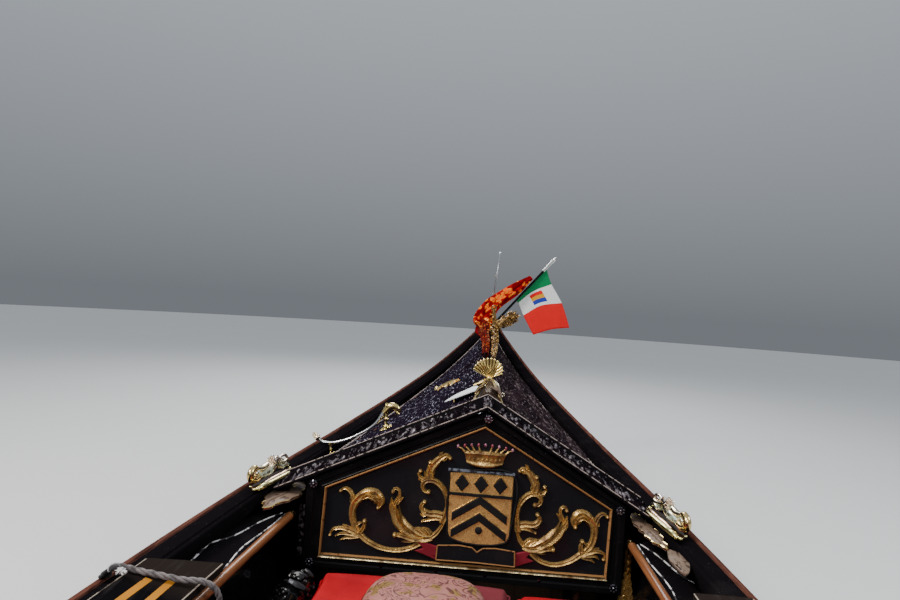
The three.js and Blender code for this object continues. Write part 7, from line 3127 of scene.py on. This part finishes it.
@dataclass
class Interior:
    """Ribs, clamps, floor boards, bulkheads, thwart and the rower's footboard."""

    rib_first: float = -2150
    rib_pitch: float = 260
    rib_count: int = 9
    rib_wide: float = 26
    rib_deep: float = 28
    clamp: Pair = (-2200, 240)
    floor: Pair = (-2200, 2600)
    floor_lift: float = 62
    floor_thick: float = 18
    planks: int = 5
    fore_bulkhead: Pair = (2666, 2684)
    aft_bulkhead: Pair = (-2290, -2272)
    # Thwart and footboard: aft edge, fore edge, height
    thwart: Vec = (-1790, -1560, 318)
    footboard: Vec = (-3300, -2700, 862)
    footboard_ys: Pair = (-230, 290)
    footboard_planks: int = 6
    board_thick: float = 16
    board_gap: float = 3
    # Bearers: x from the aft edge, x from the fore edge, width, how far in their ends lie, and how far
    # they stand off the deck and reach up into the boards
    bearer_aft: float = 40
    bearer_fore: float = 70
    bearer_wide: float = 30
    bearer_in: float = 6
    bearer_seat: float = 2
    bearer_top: float = 14
    # Bulkheads: gap under the deck, height of the foot, gap to the hull, how far past the deck's edge,
    # how large the frame on the open side is, and how high its middle lies to port
    bulkhead_gap: float = 12
    bulkhead_foot: float = 40
    bulkhead_clear: float = 12
    bulkhead_past: float = 8
    frame_share: float = 0.86
    frame_middle: float = 80
    frame_thick: float = 7

    def build(self) -> None:
        """Makes the pieces inside the hull."""
        for side in Side:
            self.ribs(side)
        self.floor_planks()
        self.bulkhead("fore_bulkhead_panel", "bulkhead_fore", FOREDECK, self.fore_bulkhead)
        self.bulkhead("aft_bulkhead_panel", "bulkhead_aft", AFTERDECK, self.aft_bulkhead)
        self.aft_thwart()
        self.foot_rest()

    def ribs(self, side: Side) -> None:
        """One side's ribs and the clamp that joins their heads."""
        shape = Shape()
        near, far = 3, 3 + self.rib_deep
        for k in range(self.rib_count):
            aft = self.rib_first + k * self.rib_pitch
            fore = aft + self.rib_wide
            rows = []
            for up in spread(0.16, 0.97, 8):
                row = []
                for x, depth in ((aft, near), (aft, far), (fore, far), (fore, near)):
                    _, _, z = LINES.plank_point(x, side, up, 0)
                    row.append((x, LINES.inside(x, side, z, depth), z))
                rows.append(row)
            shape.loft(rows)
        rows = []
        for x in spread(*self.clamp, 40):
            top = LINES.at(x).sheer - LINES.gunwale_deep - 20
            rows.append([(x, LINES.inside(x, side, z, depth), z)
                         for z, depth in ((top, 10), (top, 38), (top - 46, 38), (top - 46, 10))])
        shape.loft(rows)
        shape.piece(f"rib_set_{side.word}", [WARM_LACQUER], [f"ribs_{side.word}"], ease=3)

    def floor_planks(self) -> None:
        """The floor boards, side by side with narrow gaps, on their bearers."""
        shape = Shape()
        aft, fore = self.floor
        for k in range(self.planks):
            rows = []
            for x in spread(aft, fore, 50):
                low = LINES.at(x).chine + self.floor_lift
                starboard, port = LINES.room(x, low, 6)
                wide = (port - starboard) / self.planks
                y0, y1 = starboard + k * wide + 2, starboard + (k + 1) * wide - 2
                top = low + self.floor_thick
                rows.append([(x, y0, low), (x, y0, top - 2), (x, y0 + 2, top), (x, y1 - 2, top),
                             (x, y1, top - 2), (x, y1, low)])
            shape.loft(rows)
        for x in spread(aft + 120, fore - 120, 9):
            low = LINES.at(x).chine + self.floor_lift
            starboard, port = LINES.room(x, low - 14, 10)
            shape.box((x, starboard, low - 22), (x + 40, port, low + 0.5))
        shape.piece("floor_planks", [BARE_BOARDS], ["floor_boards"], sharp=30)

    def bulkhead(self, name: str, node: str, deck: Deck, faces: Pair) -> None:
        """A bulkhead under a deck's end, with a shallow frame on its open side.

        Args:
            name: The piece's name.
            node: The solid that it replaces.
            deck: The deck above it.
            faces: X of its aft and its fore face.
        """
        rows = []
        drop, past = deck.thick + self.bulkhead_gap, self.bulkhead_past
        for x in faces:
            foot = LINES.at(x).chine + self.bulkhead_foot
            starboard, port = LINES.room(x, foot, self.bulkhead_clear)
            (port_y, port_z, ridge), (star_y, star_z, _) = (deck.edge(x, side) for side in Side)
            rows.append([(x, port_y - past, port_z - drop), (x, 0, ridge - drop),
                         (x, star_y + past, star_z - drop), (x, starboard, foot), (x, 0, foot),
                         (x, port, foot)])
        shape = Shape().loft(rows)
        corners = rows[0] if deck is FOREDECK else rows[1]
        middle = Vector((corners[0][0], self.frame_middle, sum(c[2] for c in corners) / len(corners)))
        lined = [tuple(middle + (Vector(c) - middle) * self.frame_share) for c in corners]
        shape.rods([*lined, lined[0]], self.frame_thick, 8, 1)
        shape.piece(name, [LACQUER, WORN_EDGE], [node], ease=2)

    def aft_thwart(self) -> None:
        """The thwart across the aft part, its upper edges rounded."""
        aft, fore, low = self.thwart
        section = ((aft, low + 2), (aft, low + 20), (aft + 8, low + 28), (fore - 8, low + 28),
                   (fore, low + 20), (fore, low + 2))
        ends = [LINES.room(x, low, 40) for x, _ in section]
        rows = [[(x, starboard + (port - starboard) * share, z)
                 for (x, z), (starboard, port) in zip(section, ends)] for share in spread(0, 1, 20)]
        Shape().loft(rows).piece("thwart_board", [LACQUER], ["aft_thwart"], ease=2)

    def foot_rest(self) -> None:
        """The rower's level board on the afterdeck, planked, on three bearers cut to the deck."""
        aft, fore, top = self.footboard
        low_y, high_y = self.footboard_ys
        shape = Shape()
        wide = (high_y - low_y) / self.footboard_planks
        for k in range(self.footboard_planks):
            y0 = low_y + k * wide + self.board_gap / 2
            shape.box((aft, y0, top - self.board_thick), (fore, y0 + wide - self.board_gap, top))
        for x in (aft + self.bearer_aft, (aft + fore) / 2, fore - self.bearer_fore):
            far = x + self.bearer_wide
            high = top - self.bearer_top
            rows = []
            for y in spread(low_y + self.bearer_in, high_y - self.bearer_in, 13):
                seat = max(AFTERDECK.top(x, y), AFTERDECK.top(far, y)) + self.bearer_seat
                rows.append([(x, y, seat), (far, y, seat), (far, y, high), (x, y, high)])
            shape.loft(rows)
        shape.piece("foot_rest", [BARE_BOARDS], ["footboard"], ease=2)


@dataclass
class Rowing:
    """The crutch on the starboard gunwale and the oar that turns in it."""

    pivot: Vec = (-2350, -484.3, 1059.9)
    dip: float = 24
    aftward: float = 20
    # Its swing in degrees, and the notch that it needs
    swing: Pair = (-30, 40)
    notch_radius: float = 28.5
    notch_reach: float = 160
    # The crutch's shaving: size of the grains that it is cut in, strength and number of the strokes
    grain: float = 4
    shaving: tuple[float, int] = (0.5, 12)
    # The blade: where it begins and over what length it grows, its spine's height and half-width,
    # and the length over which the spine ends at the tip
    blade_from: float = 1500
    blade_over: float = 500
    spine: Pair = (3.5, 12)
    spine_end: float = 60
    # Walnut bands round the shaft: where they start, their length and radius
    bands: Pair = (-150, 140)
    band_long: float = 60
    band_radius: float = 26.6
    # Oar: distance from the pivot, half-width, half-thickness
    oar: tuple[Vec, ...] = ((-1250, 12, 12), (-1243, 17, 17), (-1130, 20, 20), (-500, 26, 26), (900, 26, 26),
                            (1500, 25, 22), (1900, 42, 17), (2300, 67, 12), (2700, 73, 8.5), (2900, 72, 7),
                            (2938, 64, 6), (2949, 50, 4.5))

    def build(self) -> None:
        """Makes the crutch and the oar."""
        self.crutch()
        self.oar_shaft()

    def crutch(self) -> None:
        """The walnut crutch, shaved round from its solid and clear of the oar in its notch."""
        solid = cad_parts["crutch"]
        rough = bpy.data.objects.new("crutch_blank", solid.data.copy())
        bpy.context.scene.collection.objects.link(rough)
        rough.matrix_world = solid.matrix_world
        block = rough.modifiers.new("solid wood", "REMESH")
        block.mode, block.voxel_size = "VOXEL", self.grain * MM
        shave = rough.modifiers.new("shaved round", "SMOOTH")
        shave.factor, shave.iterations = self.shaving
        mesh = rough.evaluated_get(bpy.context.evaluated_depsgraph_get()).to_mesh()
        shape = Shape()
        shape.points = [self.clear_of_oar(rough.matrix_world @ vertex.co / MM) for vertex in mesh.vertices]
        shape.faces = [tuple(polygon.vertices) for polygon in mesh.polygons]
        shape.paints = [0] * len(shape.faces)
        bpy.data.objects.remove(rough)
        shape.piece("crutch_carved", [WALNUT], ["crutch"], sharp=90)

    def clear_of_oar(self, spot: Vector) -> Vec:
        """Moves a point of the crutch clear of the oar, over all of its swing.

        Args:
            spot: The point.

        Returns:
            The point, outside the notch.
        """
        pivot = Vector(self.pivot)
        if (spot - pivot).length < self.notch_reach:
            for swing in spread(*self.swing, 15):
                axis = (Vector(self.oar_place(1, 0, 0, swing)) - pivot).normalized()
                foot = pivot + axis * (spot - pivot).dot(axis)
                if (spot - foot).length < self.notch_radius:
                    spot = foot + (spot - foot).normalized() * self.notch_radius
        return tuple(spot)

    def oar_place(self, along: float, across: float, up: float, swing: float = 0.0) -> Vec:
        """Puts a point of the oar in the boat: distance from the pivot, across, up, and its swing."""
        turn = Matrix.Rotation(-math.pi / 2 - math.radians(self.aftward - swing), 3, "Z")
        turn = turn @ Matrix.Rotation(math.radians(self.dip), 3, "Y")
        return tuple(Vector(self.pivot) + turn @ Vector((along, across, up)))

    def oar_shaft(self) -> None:
        """The oar, smooth from its grip to its blade, which has a low spine."""
        table = Curve(self.oar)
        (grip, shoulder), (heel, tip) = (self.oar[0][0], self.oar[1][0]), (self.oar[-2][0], self.oar[-1][0])
        high, half = self.spine
        rows = []
        for along in [*spread(grip, shoulder, 4), *spread(shoulder + 7, heel - 2, 150),
                      *spread(heel, tip, 5)]:
            wide, thick = table.at(along)
            blade = clamped((along - self.blade_from) / self.blade_over)
            row = []
            for cos, sin in compass(20):
                across, up = cos * wide, sin * thick
                spine = high * blade * math.exp(-(across / half) ** 2) * (1 if up > 0 else -1)
                row.append(self.oar_place(along, across,
                                          up + spine * min(1.0, (tip - along) / self.spine_end)))
            rows.append(row)
        shape = Shape().loft(rows)
        for start in self.bands:
            ring = [(*self.oar_place(along, 0, 0), self.band_radius)
                    for along in spread(start, start + self.band_long, 4)]
            shape.bar(ring, 6, 20, 1)
        shape.piece("oar_blade_and_shaft", [OAR_WOOD, WALNUT], ["oar"], body=OAR, sharp=60)


@dataclass
class Studio:
    """The photograph's viewpoint, a pale floor at the waterline and soft light."""

    eye: Vec = (975, 8, 1062)
    yaw: float = 0.0685
    pitch: float = -0.009
    roll: float = 0.063
    lens: float = 24
    sensor: float = 36
    clip: Pair = (0.02, 200)
    # Floor: the hull's ends at the waterline, the middle, the reach of its inner and its outer ring
    water_ends: Pair = (-3240, 3330)
    floor_middle: Vec = (0, 80, 0)
    floor_rings: Pair = (7000, 30000)
    horizon: Colour = (0.2, 0.215, 0.24)
    zenith: Colour = (0.86, 0.93, 1.0)
    sky_strength: float = 0.85
    # Lamps, in metres: place, aim, size, watts, colour
    lamps: tuple[tuple[Vec, Vec, float, float, Colour], ...] = (
        ((1.2, 3.2, 4.2), (2.8, 0.1, 0.5), 1.5, 230, (1.0, 0.96, 0.9)),
        ((2.6, -3.6, 3.4), (2.9, 0.0, 0.6), 1.5, 80, (0.9, 0.95, 1.0)),
        ((-5.0, 2.0, 5.5), (-1.0, 0.0, 0.5), 4.0, 320, (1.0, 0.98, 0.95)),
        ((8.5, 1.0, 5.0), (4.5, 0.0, 0.9), 3.0, 260, (0.96, 0.98, 1.0)),
    )

    def build(self) -> None:
        """Sets up the camera, the floor and the lights."""
        self.camera()
        self.floor()
        self.lights()

    def camera(self) -> None:
        """The camera, from the photograph's viewpoint."""
        data = bpy.data.cameras.new("viewpoint")
        data.lens, data.sensor_width = self.lens, self.sensor
        data.clip_start, data.clip_end = self.clip
        level = math.cos(self.pitch)
        forward = Vector((math.cos(self.yaw) * level, math.sin(self.yaw) * level, -math.sin(self.pitch)))
        right = forward.cross(Vector((0, 0, 1))).normalized()
        up = right.cross(forward)
        level_right = right * math.cos(self.roll) + up * math.sin(self.roll)
        level_up = up * math.cos(self.roll) - right * math.sin(self.roll)
        camera = bpy.data.objects.new("viewpoint", data)
        columns = Matrix((level_right, level_up, -forward)).transposed()
        camera.matrix_world = Matrix.Translation(Vector(self.eye) * MM) @ columns.to_4x4()
        bpy.context.scene.collection.objects.link(camera)
        bpy.context.scene.camera = camera

    def floor(self) -> None:
        """The floor at the waterline, open where the hull goes through it."""
        outline = []
        xs = spread(*self.water_ends, 70)
        for side, run in ((Side.PORT, xs), (Side.STARBOARD, xs[::-1])):
            for x in run:
                h = LINES.at(x)
                up = max(0.0, -h.chine / (h.sheer - LINES.gunwale_deep - h.chine))
                reach = LINES.plank_point(x, side, up, 1.5)[1] - h.centre
                outline.append((x, h.centre + reach * clamped((LINES.bottom - h.chine) / 30), 0.0))
        middle = Vector(self.floor_middle)
        rays = [(Vector(point) - middle).normalized() for point in outline]
        rings = [outline, *([tuple(middle + ray * reach) for ray in rays] for reach in self.floor_rings)]
        floor = Shape().grid(rings, ring=True)
        mesh = bpy.data.meshes.new("pale_floor")
        mesh.from_pydata([[c * MM for c in point] for point in floor.points], [], floor.faces)
        mesh.materials.append(FLOOR.material())
        stage = bpy.data.objects.new("pale_floor", mesh)
        bpy.context.scene.collection.objects.link(stage)
        stage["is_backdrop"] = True

    def lights(self) -> None:
        """A pale sky and large soft lamps."""
        world = bpy.data.worlds.new("pale sky")
        bpy.context.scene.world = world
        world.use_nodes = True
        tree = world.node_tree
        where = tree.nodes.new("ShaderNodeTexCoord").outputs["Generated"]
        height = tree.nodes.new("ShaderNodeSeparateXYZ")
        blend = tree.nodes.new("ShaderNodeMix")
        blend.data_type = "RGBA"
        tree.links.new(where, height.inputs[0])
        tree.links.new(height.outputs[2], blend.inputs[0])
        blend.inputs[6].default_value, blend.inputs[7].default_value = (*self.horizon, 1), (*self.zenith, 1)
        backdrop = tree.nodes["Background"]
        tree.links.new(blend.outputs[2], backdrop.inputs["Color"])
        backdrop.inputs["Strength"].default_value = self.sky_strength
        for k, (place, aim, size, watts, colour) in enumerate(self.lamps):
            data = bpy.data.lights.new(f"soft lamp {k}", "AREA")
            data.shape, data.size, data.energy, data.color = "DISK", size, watts, colour
            lamp = bpy.data.objects.new(f"soft lamp {k}", data)
            lamp.location = place
            lamp.rotation_euler = (Vector(aim) - Vector(place)).to_track_quat("-Z", "Y").to_euler()
            bpy.context.scene.collection.objects.link(lamp)


@dataclass(frozen=True)
class PaleFloor(Finish):
    """Matt pale studio floor."""

    colour: Colour = (0.62, 0.62, 0.61)

    def dress(self, nodes: Nodes) -> None:
        """Makes the material's nodes."""
        nodes.shade(nodes.mix(nodes.noise(0.8, 2), self.colour, dimmed(self.colour, 1.04)), 0.85)


FLOOR = PaleFloor("pale floor", "plain_boards")


def corners() -> list[list[float]]:
    """Lowest and highest corner of what is shown, as plain lists."""
    return [list(corner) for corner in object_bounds()]


def main() -> None:
    """Builds the boat, sub-assembly by sub-assembly."""
    logging.basicConfig(level=logging.INFO, format="%(message)s")
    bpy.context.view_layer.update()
    parts = (Studio(), Lashing(), SIDE_DECKS, Hull(), Irons(), FOREDECK, AFTERDECK, CarvedEnd(),
             DeckCarving(), BrassWork(), BowDress(), Seats(), Interior(), Rowing())
    for part in parts:
        log.info("%s", type(part).__name__)
        part.build()


if __name__ == "__main__":
    main()
